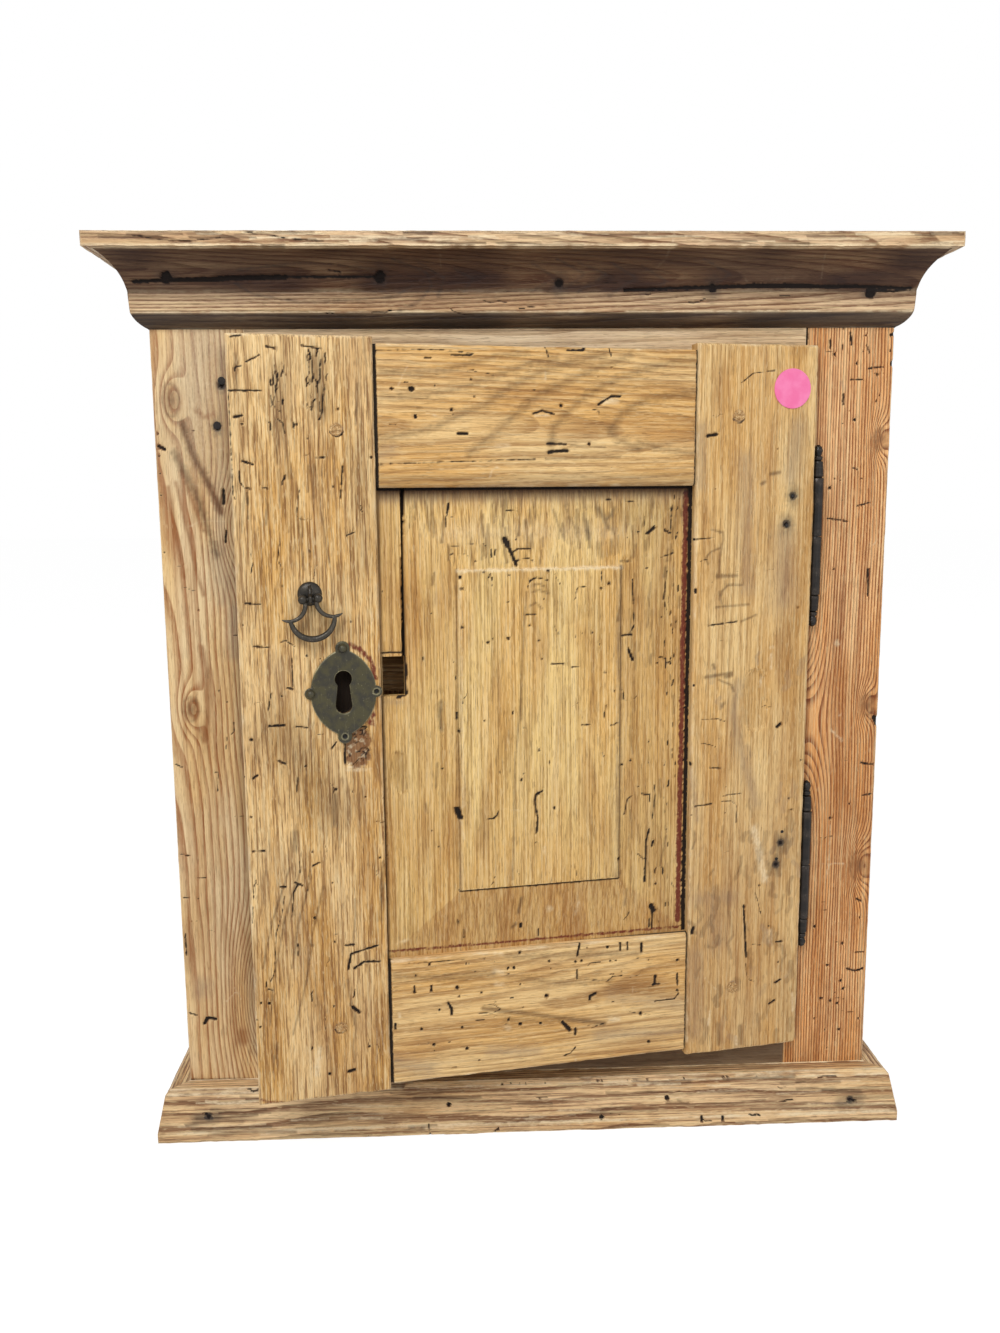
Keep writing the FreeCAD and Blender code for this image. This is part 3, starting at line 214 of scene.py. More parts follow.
@dataclass(frozen=True)
class Scatter:
    """Many like marks in one region, from fixed random numbers.

    Attributes:
        layer: What they do to the surface.
        count: How many.
        region: Left, bottom, right and top of the region.
        length: Shortest and longest length.
        lean: Lowest and highest angle from the face's across direction, in degrees.
        width: Narrowest and widest width.
        depth: How far each is sunk.
        seed: Which random numbers.
        bend: How far a mark wanders sideways, as a share of its length.
        strength: How strongly each shows.
    """

    layer: Layer
    count: int
    region: tuple[float, float, float, float]
    length: Point
    lean: Point
    width: Point
    depth: float
    seed: int
    bend: float = 0.12
    strength: float = 1.0

    def marks(self) -> list[Mark]:
        """The marks, each a bent line of four points.

        Returns:
            The marks.
        """
        rng = np.random.default_rng(self.seed)
        left, bottom, right, top = self.region
        found = []
        for _ in range(self.count):
            start = np.array([rng.uniform(left, right), rng.uniform(bottom, top)])
            length = rng.uniform(*self.length)
            lean = math.radians(rng.uniform(*self.lean))
            along = np.array([math.cos(lean), math.sin(lean)])
            side = np.array([-along[1], along[0]])
            path = tuple(tuple(start + along * length * share
                               + side * length * self.bend * rng.uniform(-1, 1))
                         for share in (0.0, 0.33, 0.66, 1.0))
            found.append(Mark(self.layer, path, rng.uniform(*self.width), self.depth,
                              strength=self.strength * rng.uniform(0.6, 1.0)))
        return found


@dataclass(frozen=True)
class Hand:
    """One kind of mark that age leaves, made at any width.

    Attributes:
        layer: What it does to the surface.
        sunk: Its depth as a share of its width.
        soft: The width over which its edge fades, and that width's growth with its own width.
        strength: How strongly it shows.
        ragged: How far its edge wanders.
        tall: How many times taller than wide its blots are.
    """

    layer: Layer
    sunk: float = 0.0
    soft: Point = (0.9, 0.0)
    strength: float = 1.0
    ragged: float = 0.0
    tall: float = 1.0

    def __call__(self, width: float, *paths: tuple[float, ...],
                 strength: float | None = None) -> list[Mark]:
        """Marks of one width.

        Args:
            width: Their full width.
            paths: Each mark's points, across and up in turn; one point makes a blot.
            strength: How strongly they show, where it isn't the usual.

        Returns:
            The marks.
        """
        soft = self.soft[0] + self.soft[1] * width
        strength = self.strength if strength is None else strength
        depth = min(self.sunk * width, DEEPEST_MARK)
        return [Mark(self.layer, tuple(zip(path[::2], path[1::2])), width, depth, soft, strength,
                     self.tall, self.ragged) for path in paths]


CUT = Hand(Layer.DARK, 0.5, (0.8, 0.0), 0.85, 0.4)
RUB = Hand(Layer.WEAR, 0.03, (1.4, 0.5), 0.62, 0.9)
GREY = Hand(Layer.GREY, 0.0, (1.6, 0.7), 0.5, 1.2)
BROWN = Hand(Layer.GRIME, 0.1, (0.9, 0.2), 0.6, 0.3)
LATE = Hand(Layer.KNOT, 0.0, (1.2, 0.4), 0.9, 0.3)
IRON = Hand(Layer.STAIN, 0.0, (1.5, 0.4), 0.6, 0.6)
RED = Hand(Layer.RED, 0.0, (1.2, 0.4), 0.6, 0.9)
BAND = Hand(Layer.GRIME, 0.0, (2.2, 0.4), 0.42, 1.4)
NAIL_HEAD = Hand(Layer.STAIN, 0.1, (0.9, 0.0), 0.9, 0.4)
PEG_END = Hand(Layer.GREY, 0.02, (1.2, 0.1), 0.9, 0.8)
KNOT_RIM = Hand(Layer.GRIME, 0.0, (1.6, 0.4), 0.4, 0.9)


def shade(layer: Layer, width: float, soft: float, strength: float, *path: float) -> Mark:
    """A broad mark with a fading edge, through points given across and up in turn."""
    return Mark(layer, tuple(zip(path[::2], path[1::2])), width, soft=soft, strength=strength)


def arc(x: float, z: float, wide: float, tall: float, degrees: np.ndarray) -> tuple[float, ...]:
    """Points of an oval round a middle, across and up in turn, at angles in degrees."""
    angle = np.radians(degrees)
    return tuple(np.stack([x + wide * np.cos(angle), z + tall * np.sin(angle)], axis=-1).reshape(-1))


def nail(width: float, *paths: Point) -> list[Mark]:
    """Nails: a rusty head with a dark middle, and an iron stain round it, tall round a small one.

    Args:
        width: The stains' width.
        paths: The nails' middles.

    Returns:
        The marks.
    """
    stain = Hand(Layer.STAIN, 0.0, (1.0, 0.9), 0.65, 1.6, 1.4 if width < BROAD_NAIL else 0.6)
    return stain(width, *paths) + NAIL_HEAD(6, *paths) + CUT(3, *paths, strength=1)


def peg(width: float, *paths: Point) -> list[Mark]:
    """Peg ends: a greyed round with a dark lower rim.

    Args:
        width: The pegs' width.
        paths: Their middles.

    Returns:
        The marks.
    """
    reach = width * 0.36
    rims = [arc(x, z, reach, reach, np.linspace(190, 350, 9)) for x, z in paths]
    return PEG_END(width * 0.7, *paths) + CUT(1.0, *rims, strength=0.8)


def knot(x: float, z: float, radius: float, tall: float = 1.6) -> list[Mark]:
    """A knot: a brown oval with a grey heart and a darker rim.

    Args:
        x: Its middle across.
        z: Its middle up.
        radius: Half its width.
        tall: How many times taller than wide it is.

    Returns:
        The marks.
    """
    brown = Hand(Layer.KNOT, 0.0, (2.0, 0.4), 0.7, 0.9, tall)
    heart = Hand(Layer.STAIN, 0.0, (2.0, 0.6), 0.5, 1.2, tall)
    rim = arc(x, z, radius, radius * tall, np.linspace(0, 360, 17))
    return brown(radius * 1.7, (x, z)) + heart(radius * 0.8, (x, z)) + KNOT_RIM(1.6, rim)


@dataclass
class Face:
    """A gridded face that marks are drawn on.

    Attributes:
        across: Rising places of its columns.
        up: Rising places of its rows.
        layers: Each layer's values, rows by columns.
        drop: How far each point is sunk, rows by columns.
    """

    across: np.ndarray
    up: np.ndarray
    layers: dict[Layer, np.ndarray] = field(default_factory=dict)
    drop: np.ndarray | None = None

    def __post_init__(self) -> None:
        """Starts every layer and the drop at zero."""
        shape = (len(self.up), len(self.across))
        self.layers = {layer: np.zeros(shape) for layer in Layer}
        self.drop = np.zeros(shape)

    def draw(self, marks: Marks) -> None:
        """Draws marks, each only on the rows and columns it can reach.

        Args:
            marks: Marks, scatters and lists of marks.
        """
        for item in marks:
            if isinstance(item, Mark):
                self.draw_one(item)
            else:
                self.draw(item if isinstance(item, list) else item.marks())

    def draw_one(self, mark: Mark) -> None:
        """Draws one mark: full inside half its width from its line, fading over its soft edge.

        Args:
            mark: The mark.
        """
        path = np.array(mark.path, float).reshape(-1, 2)
        reach = mark.width / 2 * max(1.0, mark.tall) + mark.soft + mark.ragged
        low, high = path.min(axis=0) - reach, path.max(axis=0) + reach
        columns = slice(*np.searchsorted(self.across, (low[0], high[0])))
        rows = slice(*np.searchsorted(self.up, (low[1], high[1])))
        across, up = np.meshgrid(self.across[columns], self.up[rows])
        if across.size == 0:
            return
        near = np.full(across.shape, np.inf)
        for start, end in zip(path, path[1:] if len(path) > 1 else path):
            along = end - start
            length2 = max(float(along @ along), 1e-12)
            share = np.clip(((across - start[0]) * along[0] + (up - start[1]) * along[1]) / length2, 0, 1)
            off_across = across - start[0] - share * along[0]
            off_up = (up - start[1] - share * along[1]) / mark.tall
            near = np.minimum(near, np.hypot(off_across, off_up))
        if mark.ragged:
            near = near + noise2(across * 0.7, up * 0.7, 5) * mark.ragged
        cover = np.clip((mark.width / 2 + mark.soft / 2 - near) / mark.soft, 0, 1)
        block = (rows, columns)
        layer = self.layers[mark.layer]
        layer[block] = np.maximum(layer[block], cover * mark.strength)
        self.drop[block] = np.maximum(self.drop[block], cover * mark.depth)


# ------------------------------------------------------------------ grain
@dataclass(frozen=True)
class Knot:
    """A knot in a board.

    Attributes:
        along: Its place along the grain.
        across: Its place across the grain.
        radius: Its radius.
    """

    along: float
    across: float
    radius: float


@dataclass(frozen=True)
class Grain:
    """The growth rings in a board, as a count of rings that rises with distance from the pith.

    Attributes:
        pitch: Width of one ring.
        pith: The pith's place across the board and behind its face.
        tilt: How fast the pith nears the face along the board, which makes pointed arches.
        turn: Where along the board the pith is as far behind the face as pith says.
        wander: How far the rings wander.
        knots: The knots.
        seed: Which noise to read.
    """

    pitch: float = 2.2
    pith: Point = (10.0, 60.0)
    tilt: float = 0.0
    turn: float = 0.0
    wander: float = 1.6
    knots: tuple[Knot, ...] = ()
    seed: int = 1

    def rings(self, along: np.ndarray, across: np.ndarray, depth: np.ndarray) -> np.ndarray:
        """Counts rings out to each point.

        Distance from a leaning pith line, plus slow noise drawn out along the grain, over the pitch;
        each knot pushes the rings aside by a bump that is about twice as long as wide.

        Args:
            along: Places along the grain.
            across: Places across it.
            depth: Depths behind the face.

        Returns:
            The ring count at each point.
        """
        behind = self.pith[1] - depth + self.tilt * (along - self.turn)
        radius = np.hypot(across - self.pith[0], behind)
        slow = noise(np.stack([along / 110, across / 26, depth / 26], axis=-1), self.seed)
        quick = noise(np.stack([along / 34, across / 9, depth / 9], axis=-1), self.seed + 1)
        radius = radius + self.wander * (slow + 0.3 * quick)
        for each in self.knots:
            off = (((along - each.along) / (3.2 * each.radius)) ** 2
                   + ((across - each.across) / (1.5 * each.radius)) ** 2)
            side = np.sign(each.across - self.pith[0] + 0.01)
            radius = radius + each.radius * 1.9 * np.exp(-off) * side
        return radius / self.pitch


# ------------------------------------------------------------------ shells
@dataclass
class Shell:
    """A closed surface in its seat's frame, in millimetres.

    Attributes:
        points: Its points.
        faces: Arrays of faces, each with its own number of corners.
        values: Numbers kept at its points, by name.
        grain: Each point's place along, across and behind the grain.
    """

    points: np.ndarray
    faces: list[np.ndarray]
    values: dict[str, np.ndarray]
    grain: np.ndarray

    def volume(self) -> float:
        """Adds up a sixth of each fan triangle's triple product.

        Returns:
            The signed volume.
        """
        total = 0.0
        for faces in self.faces:
            corners = self.points[faces]
            for k in range(1, faces.shape[1] - 1):
                cross = np.cross(corners[:, k], corners[:, k + 1])
                total += float(np.einsum("ij,ij->", corners[:, 0], cross))
        return total / 6

    def outward(self) -> Shell:
        """Turns the faces round where the signed volume is negative.

        Returns:
            This shell, with every face pointing outwards.
        """
        if self.volume() < 0:
            self.faces = [faces[:, ::-1] for faces in self.faces]
        return self


def unmarked(count: int, **layers: np.ndarray) -> dict[str, np.ndarray]:
    """Values for points without rings and marks, apart from the layers given."""
    zero = np.zeros(count)
    return {"rings": zero, **{layer.value: zero for layer in Layer}, **layers}


def tube_faces(rows: int, columns: int) -> list[np.ndarray]:
    """Faces of a closed loop carried along a path: quads between rows, and one face over each end.

    Args:
        rows: How many loops.
        columns: How many points in each loop.

    Returns:
        The quads, then the two ends.
    """
    index = np.arange(rows * columns).reshape(rows, columns)
    beside = np.roll(index, -1, axis=1)
    quads = np.stack([index[:-1], beside[:-1], beside[1:], index[1:]], axis=-1).reshape(-1, 4)
    return [quads, index[:1, ::-1].copy(), index[-1:].copy()]


def slab_faces(keep: np.ndarray) -> list[np.ndarray]:
    """Faces of two like grids with walls wherever a kept cell borders a missing one.

    Args:
        keep: Which cells are there, rows by columns.

    Returns:
        Front cells, back cells and walls; the back grid's points follow the front grid's.
    """
    rows, columns = keep.shape[0] + 1, keep.shape[1] + 1
    index = np.arange(rows * columns).reshape(rows, columns)
    back = rows * columns
    cells = np.stack([index[:-1, :-1], index[:-1, 1:], index[1:, 1:], index[1:, :-1]], axis=-1)[keep]
    padded = np.pad(keep, 1)
    walls = []
    for before, after, starts, ends, way in (
            (padded[1:-1, :-1], padded[1:-1, 1:], index[:-1], index[1:], 1),
            (padded[:-1, 1:-1], padded[1:, 1:-1], index[:, :-1], index[:, 1:], -1)):
        for mask, order in ((after & ~before, way), (before & ~after, -way)):
            low, high = starts[mask], ends[mask]
            walls.append(np.stack([low, high, high + back, low + back], axis=-1)[:, ::order])
    return [cells, (cells + back)[:, ::-1], np.concatenate(walls)]


@dataclass(frozen=True)
class Seat:
    """Where pieces stand: the body they ride on, and its upright axis and turn at rest.

    Attributes:
        body: The body's name.
        origin: The axis in plan, in millimetres.
        turn: The turn about it at rest, in radians.
    """

    body: str
    origin: Point = (0.0, 0.0)
    turn: float = 0.0

    def to_world(self, points: np.ndarray) -> np.ndarray:
        """Turns points about the seat's axis and moves them there.

        Args:
            points: Points in the seat's frame, in millimetres.

        Returns:
            Their places in metres.
        """
        c, s = math.cos(self.turn), math.sin(self.turn)
        x, y, z = points[..., 0], points[..., 1], points[..., 2]
        return np.stack([self.origin[0] + x * c - y * s, self.origin[1] + x * s + y * c, z], axis=-1) * MM

    def to_seat(self, points: np.ndarray) -> np.ndarray:
        """Undoes what to_world does.

        Args:
            points: Places in metres.

        Returns:
            Points in the seat's frame, in millimetres.
        """
        c, s = math.cos(self.turn), math.sin(self.turn)
        x = points[..., 0] / MM - self.origin[0]
        y = points[..., 1] / MM - self.origin[1]
        return np.stack([x * c + y * s, y * c - x * s, points[..., 2] / MM], axis=-1)

    def box(self, node: str) -> tuple[np.ndarray, np.ndarray]:
        """A frame node's lowest and highest corners in the seat's frame.

        Args:
            node: The node's name.

        Returns:
            Both corners, in millimetres.
        """
        mesh = bpy.data.objects[node].data
        places = np.empty(len(mesh.vertices) * 3, np.float32)
        mesh.vertices.foreach_get("co", places)
        local = self.to_seat(places.reshape(-1, 3).astype(float))
        return local.min(axis=0), local.max(axis=0)

    def make(self, name: str, shells: list[Shell], material: bpy.types.Material, nodes: list[str],
             slot: str) -> bpy.types.Object:
        """Puts shells into one piece that stands for frame nodes.

        Args:
            name: The piece's name.
            shells: Its closed surfaces.
            material: Its finish.
            nodes: The frame nodes it stands for.
            slot: The record's material slot; not used.

        Returns:
            The piece.
        """
        mesh = bpy.data.meshes.new(name)
        shells = [shell.outward() for shell in shells]
        starts = np.cumsum([0] + [len(shell.points) for shell in shells])
        points = self.to_world(np.concatenate([shell.points for shell in shells]))
        groups = [faces + start for shell, start in zip(shells, starts) for faces in shell.faces]
        corners = np.concatenate([faces.reshape(-1) for faces in groups])
        totals = np.concatenate([np.full(len(faces), faces.shape[1]) for faces in groups])
        mesh.vertices.add(len(points))
        mesh.vertices.foreach_set("co", points.astype(np.float32).reshape(-1))
        mesh.loops.add(len(corners))
        mesh.loops.foreach_set("vertex_index", corners.astype(np.int32))
        mesh.polygons.add(len(totals))
        first = np.concatenate([[0], np.cumsum(totals)[:-1]])
        mesh.polygons.foreach_set("loop_start", first.astype(np.int32))
        mesh.polygons.foreach_set("use_smooth", np.ones(len(totals), bool))
        mesh.update(calc_edges=True)
        for key in shells[0].values:
            values = np.concatenate([shell.values.get(key, np.zeros(len(shell.points)))
                                     for shell in shells])
            attribute = mesh.attributes.new(key, "FLOAT", "POINT")
            attribute.data.foreach_set("value", values.astype(np.float32))
        grain = mesh.attributes.new("grain", "FLOAT_VECTOR", "POINT")
        vectors = np.concatenate([shell.grain for shell in shells])
        grain.data.foreach_set("vector", vectors.astype(np.float32).reshape(-1))
        mesh.validate()
        mesh.set_sharp_from_angle(angle=SHARP_EDGE)
        mesh.materials.append(material)
        piece = bpy.data.objects.new(name, mesh)
        bpy.context.scene.collection.objects.link(piece)
        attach(piece, self.body)
        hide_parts(*nodes)
        log.info("%s: %d points", name, len(points))
        return piece


# ------------------------------------------------------------------ shader
def operator(operation: str, reflected: bool = False) -> Callable[[Number, object], Number]:
    """Makes one of Number's operators.

    Args:
        operation: The Math node's operation.
        reflected: Whether the number stands second.

    Returns:
        The method.
    """
    def method(self: Number, other: object) -> Number:
        """Adds the Math node on this number and the other value."""
        return self.math(operation, other, self) if reflected else self.math(operation, self, other)
    return method


class Number:
    """A node socket that carries one number; operators on it add Math nodes."""

    __add__, __radd__ = operator("ADD"), operator("ADD", True)
    __sub__, __rsub__ = operator("SUBTRACT"), operator("SUBTRACT", True)
    __mul__, __rmul__ = operator("MULTIPLY"), operator("MULTIPLY", True)
    __truediv__ = operator("DIVIDE")

    def __init__(self, nodes: Nodes, socket: bpy.types.NodeSocket) -> None:
        """Keeps the node tree and the socket."""
        self.nodes = nodes
        self.socket = socket

    def math(self, operation: str, first: object, second: object | None = None) -> Number:
        """Adds a Math node.

        Args:
            operation: The node's operation.
            first: Its first value or link.
            second: Its second value or link.

        Returns:
            The node's result.
        """
        inputs = {0: first} if second is None else {0: first, 1: second}
        node = self.nodes.add("ShaderNodeMath", {"operation": operation}, inputs)
        return Number(self.nodes, node.outputs[0])

    def fraction(self) -> Number:
        """What is left after the whole number."""
        return self.math("FRACT", self)

    def root(self) -> Number:
        """The square root."""
        return self.math("SQRT", self)

    def step(self, low: float, high: float) -> Number:
        """Smoothstep from 0 at low to 1 at high.

        Args:
            low: Where it starts to rise.
            high: Where it has risen.

        Returns:
            The node's result.
        """
        node = self.nodes.add("ShaderNodeMapRange", {"interpolation_type": "SMOOTHSTEP"},
                              {0: self, 1: low, 2: high, 3: 0.0, 4: 1.0})
        return Number(self.nodes, node.outputs[0])


class Nodes:
    """The node tree of a material or a world, emptied and ready to be filled."""

    def __init__(self, owner: bpy.types.Material | bpy.types.World) -> None:
        """Empties the owner's node tree.

        Args:
            owner: The material or world.
        """
        owner.use_nodes = True
        self.owner = owner
        self.tree = owner.node_tree
        self.tree.nodes.clear()

    def add(self, kind: str, settings: dict[str, object] | None = None,
            inputs: dict[int | str, object] | None = None) -> bpy.types.Node:
        """Adds any node.

        Args:
            kind: The node's type name.
            settings: Properties to set first.
            inputs: Values or links of its sockets, by index or name.

        Returns:
            The node.
        """
        node = self.tree.nodes.new(kind)
        for key, value in (settings or {}).items():
            setattr(node, key, value)
        for key, value in (inputs or {}).items():
            if isinstance(value, Number):
                value = value.socket
            if isinstance(value, bpy.types.NodeSocket):
                self.tree.links.new(value, node.inputs[key])
            else:
                node.inputs[key].default_value = value
        return node

    def coats(self, colour: bpy.types.NodeSocket, *coats: tuple[object, str]) -> bpy.types.NodeSocket:
        """Lays colours over one another.

        Args:
            colour: The colour below.
            coats: For each coat, how much of it shows and its six digits.

        Returns:
            The coated colour.
        """
        for share, code in coats:
            colour = self.blend(share, colour, tint(code))
        return colour

    def kept(self, name: str) -> Number:
        """A number kept at the mesh's points."""
        node = self.add("ShaderNodeAttribute", {"attribute_name": name})
        return Number(self, node.outputs["Fac"])

    def blend(self, share: object, first: object, second: object, how: str = "MIX") -> bpy.types.NodeSocket:
        """Mixes two colours.

        Args:
            share: How much of the second.
            first: A colour or link.
            second: A colour or link.
            how: The blend type.

        Returns:
            The mixed colour.
        """
        node = self.add("ShaderNodeMix", {"data_type": "RGBA", "blend_type": how},
                        {0: share, 6: first, 7: second})
        return node.outputs[2]

    def stretched(self, vector: bpy.types.NodeSocket, size: tuple[float, float, float],
                  detail: float = 3.0, offset: float = 0.0) -> Number:
        """Noise whose features have this size along each axis of the vector.

        Args:
            vector: The places to read.
            size: Feature sizes, in the vector's units.
            detail: The noise's detail.
            offset: Moves the pattern.

        Returns:
            Noise around one half.
        """
        scale = tuple(1 / length for length in size)
        moved = self.add("ShaderNodeMapping", {}, {"Vector": vector, "Scale": scale,
                                                   "Location": (offset, offset * 0.7, offset * 0.3)})
        node = self.add("ShaderNodeTexNoise", {}, {"Vector": moved.outputs[0], "Scale": 1.0,
                                                   "Detail": detail, "Roughness": 0.55})
        return Number(self, node.outputs[0])

    def finish(self, inputs: dict[str, object], height: Number | None = None,
               relief: float = 0.0) -> bpy.types.Material:
        """Closes the material with a Principled shader.

        Args:
            inputs: Values or links of the shader's sockets.
            height: Relief to read through a Bump node.
            relief: The relief's depth, in metres.

        Returns:
            The material.
        """
        if height is not None:
            bump = self.add("ShaderNodeBump", {}, {"Strength": 1.0, "Distance": relief, "Height": height})
            inputs = {**inputs, "Normal": bump.outputs[0]}
        shader = self.add("ShaderNodeBsdfPrincipled", {}, inputs)
        self.add("ShaderNodeOutputMaterial", {}, {"Surface": shader.outputs[0]})
        return self.owner

    def looking(self) -> Number:
        """Finds rays that show the background: from the camera, mirrored or let through.

        Returns:
            1 for such rays and 0 for all others.
        """
        rays = self.add("ShaderNodeLightPath").outputs
        seen = Number(self, rays["Is Camera Ray"])
        seen = seen.math("MAXIMUM", seen, rays["Is Glossy Ray"])
        return seen.math("MAXIMUM", seen, rays["Is Transmission Ray"])


def tint(code: str) -> tuple[float, float, float, float]:
    """A colour from its six hexadecimal digits, each channel made linear by the sRGB curve."""
    parts = [int(code[k:k + 2], 16) / 255 for k in (0, 2, 4)]
    return tuple(p / 12.92 if p <= 0.04045 else ((p + 0.055) / 1.055) ** 2.4 for p in parts) + (1.0,)


@dataclass(frozen=True)
class Pine:
    """Old pine, rubbed and waxed.

    Attributes:
        name: The material's name.
        pale: Colour of the early wood.
        warm: Second colour of the early wood, in slow patches.
        late: Colour of the late wood's lines.
        contrast: How strongly the late wood shows.
        fibre: How strongly fine fibres show.
        strands: Length and width of the coarser fibres.
        strong: How strongly those show.
        gloss: Roughness.
        shift: How far Object coordinates are shifted, in millimetres, so that like boards differ.
    """

    name: str
    pale: str
    warm: str
    late: str
    contrast: float = 0.6
    fibre: float = 0.5
    strands: Point = (26.0, 1.7)
    strong: float = 0.5
    gloss: float = 0.58
    shift: float = 0.0

    # Dark brown of cracks, also used for painted shade and shadow lines.
    CRACK_AND_SHADE = "28160C"
    PITCH_DARK = "080403"
    # Near-black grey of iron stains, also laid as painted shade and shadow in the cornice.
    IRON_STAIN = "2A2624"
    WEATHERED = "8E7B69"
    RUBBED = "F2DDB6"
    SUNLIT = "F6DCA8"
    OLD_RED = "6C2D1A"
    # Brown of dirt dashes, which the grime layer also multiplies in as dirt and as painted shade.
    DIRT_AND_SHADE = "5C493D"
    KNOT_BROWN = "8C5020"
    CLOUD = "B99A78"

    def material(self, source: Source = Source.POINTS, run: Run = Run.UPRIGHT) -> bpy.types.Material:
        """Builds the finish.

        Rings are the fraction of the ring count: late wood is a smooth rise and a sharp fall near
        its end.  Fine fibres and short dashes are noise drawn out along the grain.  Each layer of
        marks then mixes its own colour in.

        Args:
            source: Where the grain is read.
            run: The way the grain runs, for Object coordinates.

        Returns:
            The material.
        """
        nodes = Nodes(bpy.data.materials.new(self.name))
        if source is Source.POINTS:
            place = nodes.add("ShaderNodeAttribute", {"attribute_name": "grain"}).outputs["Vector"]
            rings = nodes.kept("rings")
        else:
            place, rings = self.from_coordinates(nodes, run)
        fibre = nodes.stretched(place, (52, 0.5, 0.5), 4.0)
        dashes = nodes.stretched(place, (9, 0.5, 0.5), 1.0, 7.0).step(0.62, 0.72)
        strand = nodes.stretched(place, (self.strands[0], self.strands[1], self.strands[1]), 2.0, 17.0)
        fleck = nodes.stretched(place, (7, 0.8, 0.8), 1.0, 31.0)
        patch = nodes.stretched(place, (130, 26, 26), 2.0, 3.0)
        streak = nodes.stretched(place, (190, 5.5, 5.5), 2.0, 11.0)
        cloud = nodes.stretched(place, (70, 16, 16), 3.0, 23.0)
        phase = rings.fraction()
        late = phase.step(0.35, 0.9) * (1 - phase.step(0.93, 1.0))
        colour = nodes.coats(
            nodes.blend(patch.step(0.34, 0.66), tint(self.pale), tint(self.warm)),
            (streak.step(0.5, 0.72) * self.contrast * 0.35, self.late),
            (late * (0.55 + streak * 0.9) * self.contrast, self.late),
            (strand.step(0.5, 0.62) * self.strong, self.late),
            ((1 - strand.step(0.36, 0.48)) * self.strong * 0.8, self.SUNLIT),
            (fibre.step(0.42, 0.72) * self.fibre * 0.55, self.late),
            ((1 - fibre.step(0.28, 0.5)) * self.fibre * 0.35, self.SUNLIT),
            (dashes * self.fibre * 0.4, self.DIRT_AND_SHADE),
            (fleck.step(0.58, 0.66) * self.fibre * 0.5, self.SUNLIT),
            ((1 - fleck.step(0.32, 0.4)) * self.fibre * 0.5, self.late))
        colour = nodes.blend(cloud.step(0.48, 0.72) * 0.42, colour, tint(self.CLOUD), "MULTIPLY")
        height = fibre * 0.3 - late * 0.25 - dashes * 0.3 - strand * 0.5 + fleck * 0.4
        rough = 0.06 * fibre + self.gloss
        if source is Source.POINTS:
            colour = self.marked(nodes, colour, place, fibre)
            rough = rough + nodes.kept("dark") * 0.3 - nodes.kept("wear") * 0.12
        return nodes.finish({"Base Color": colour, "Roughness": rough, "Specular IOR Level": 0.32},
                            height, 0.0006)

    def marked(self, nodes: Nodes, colour: bpy.types.NodeSocket, place: bpy.types.NodeSocket,
               fibre: Number) -> bpy.types.NodeSocket:
        """Mixes the layers of marks over the wood.

        Args:
            nodes: The node tree.
            colour: The bare wood's colour.
            place: Places along, across and behind the grain.
            fibre: The fine fibres, which break the marks up.

        Returns:
            The marked colour.
        """
        broken = nodes.stretched(place, (2.5, 1.2, 1.2), 2.0, 5.0)
        grey = nodes.kept("grey") * (0.55 + fibre * 0.8)
        wear = nodes.kept("wear") * (0.4 + broken * 1.1)
        red = nodes.kept("red") * (0.5 + broken)
        dark = nodes.kept("dark").step(0.2, 0.78)
        colour = nodes.coats(colour, (grey.step(0.0, 1.1), self.WEATHERED),
                             (nodes.kept("knot") * 0.75, self.KNOT_BROWN),
                             (wear.step(0.15, 0.95) * 0.8, self.RUBBED), (red.step(0.3, 0.8), self.OLD_RED))
        # The grime layer darkens the wood: dirt, and in places painted shade.
        colour = nodes.blend(nodes.kept("grime"), colour, tint(self.DIRT_AND_SHADE), "MULTIPLY")
        # The stain layer and the dark layer each also carry painted shade in a few places.
        return nodes.coats(colour, (nodes.kept("stain"), self.IRON_STAIN), (dark * 0.93, self.CRACK_AND_SHADE),
                           (dark.step(0.95, 1.0) * 0.8, self.PITCH_DARK))

    def from_coordinates(self, nodes: Nodes, run: Run) -> tuple[bpy.types.NodeSocket, Number]:
        """Grain read from Object coordinates, in millimetres, with the pith behind the board.

        Args:
            nodes: The node tree.
            run: The way the grain runs.

        Returns:
            The places along, across and behind the grain, and the ring count there.
        """
        turns = {Run.ACROSS: (0.0, 0.0, 0.0), Run.DEEP: (0.0, 0.0, -math.pi / 2),
                 Run.UPRIGHT: (0.0, math.pi / 2, 0.0)}
        middle = nodes.add("ShaderNodeTexCoord").outputs["Object"]
        place = nodes.add("ShaderNodeMapping", {}, {"Vector": middle, "Rotation": turns[run],
                                                    "Location": (self.shift,) * 3,
                                                    "Scale": (1 / MM, 1 / MM, 1 / MM)}).outputs[0]
        wander = nodes.stretched(place, (240, 60, 60), 1.0, 1.0)
        parts = nodes.add("ShaderNodeSeparateXYZ", {}, {0: place})
        across = Number(nodes, parts.outputs[1]) + wander * 26 - 40
        behind = Number(nodes, parts.outputs[2]) + Number(nodes, parts.outputs[0]) * 0.05 + 90
        radius = (across * across + behind * behind).root()
        return place, radius / 3.1


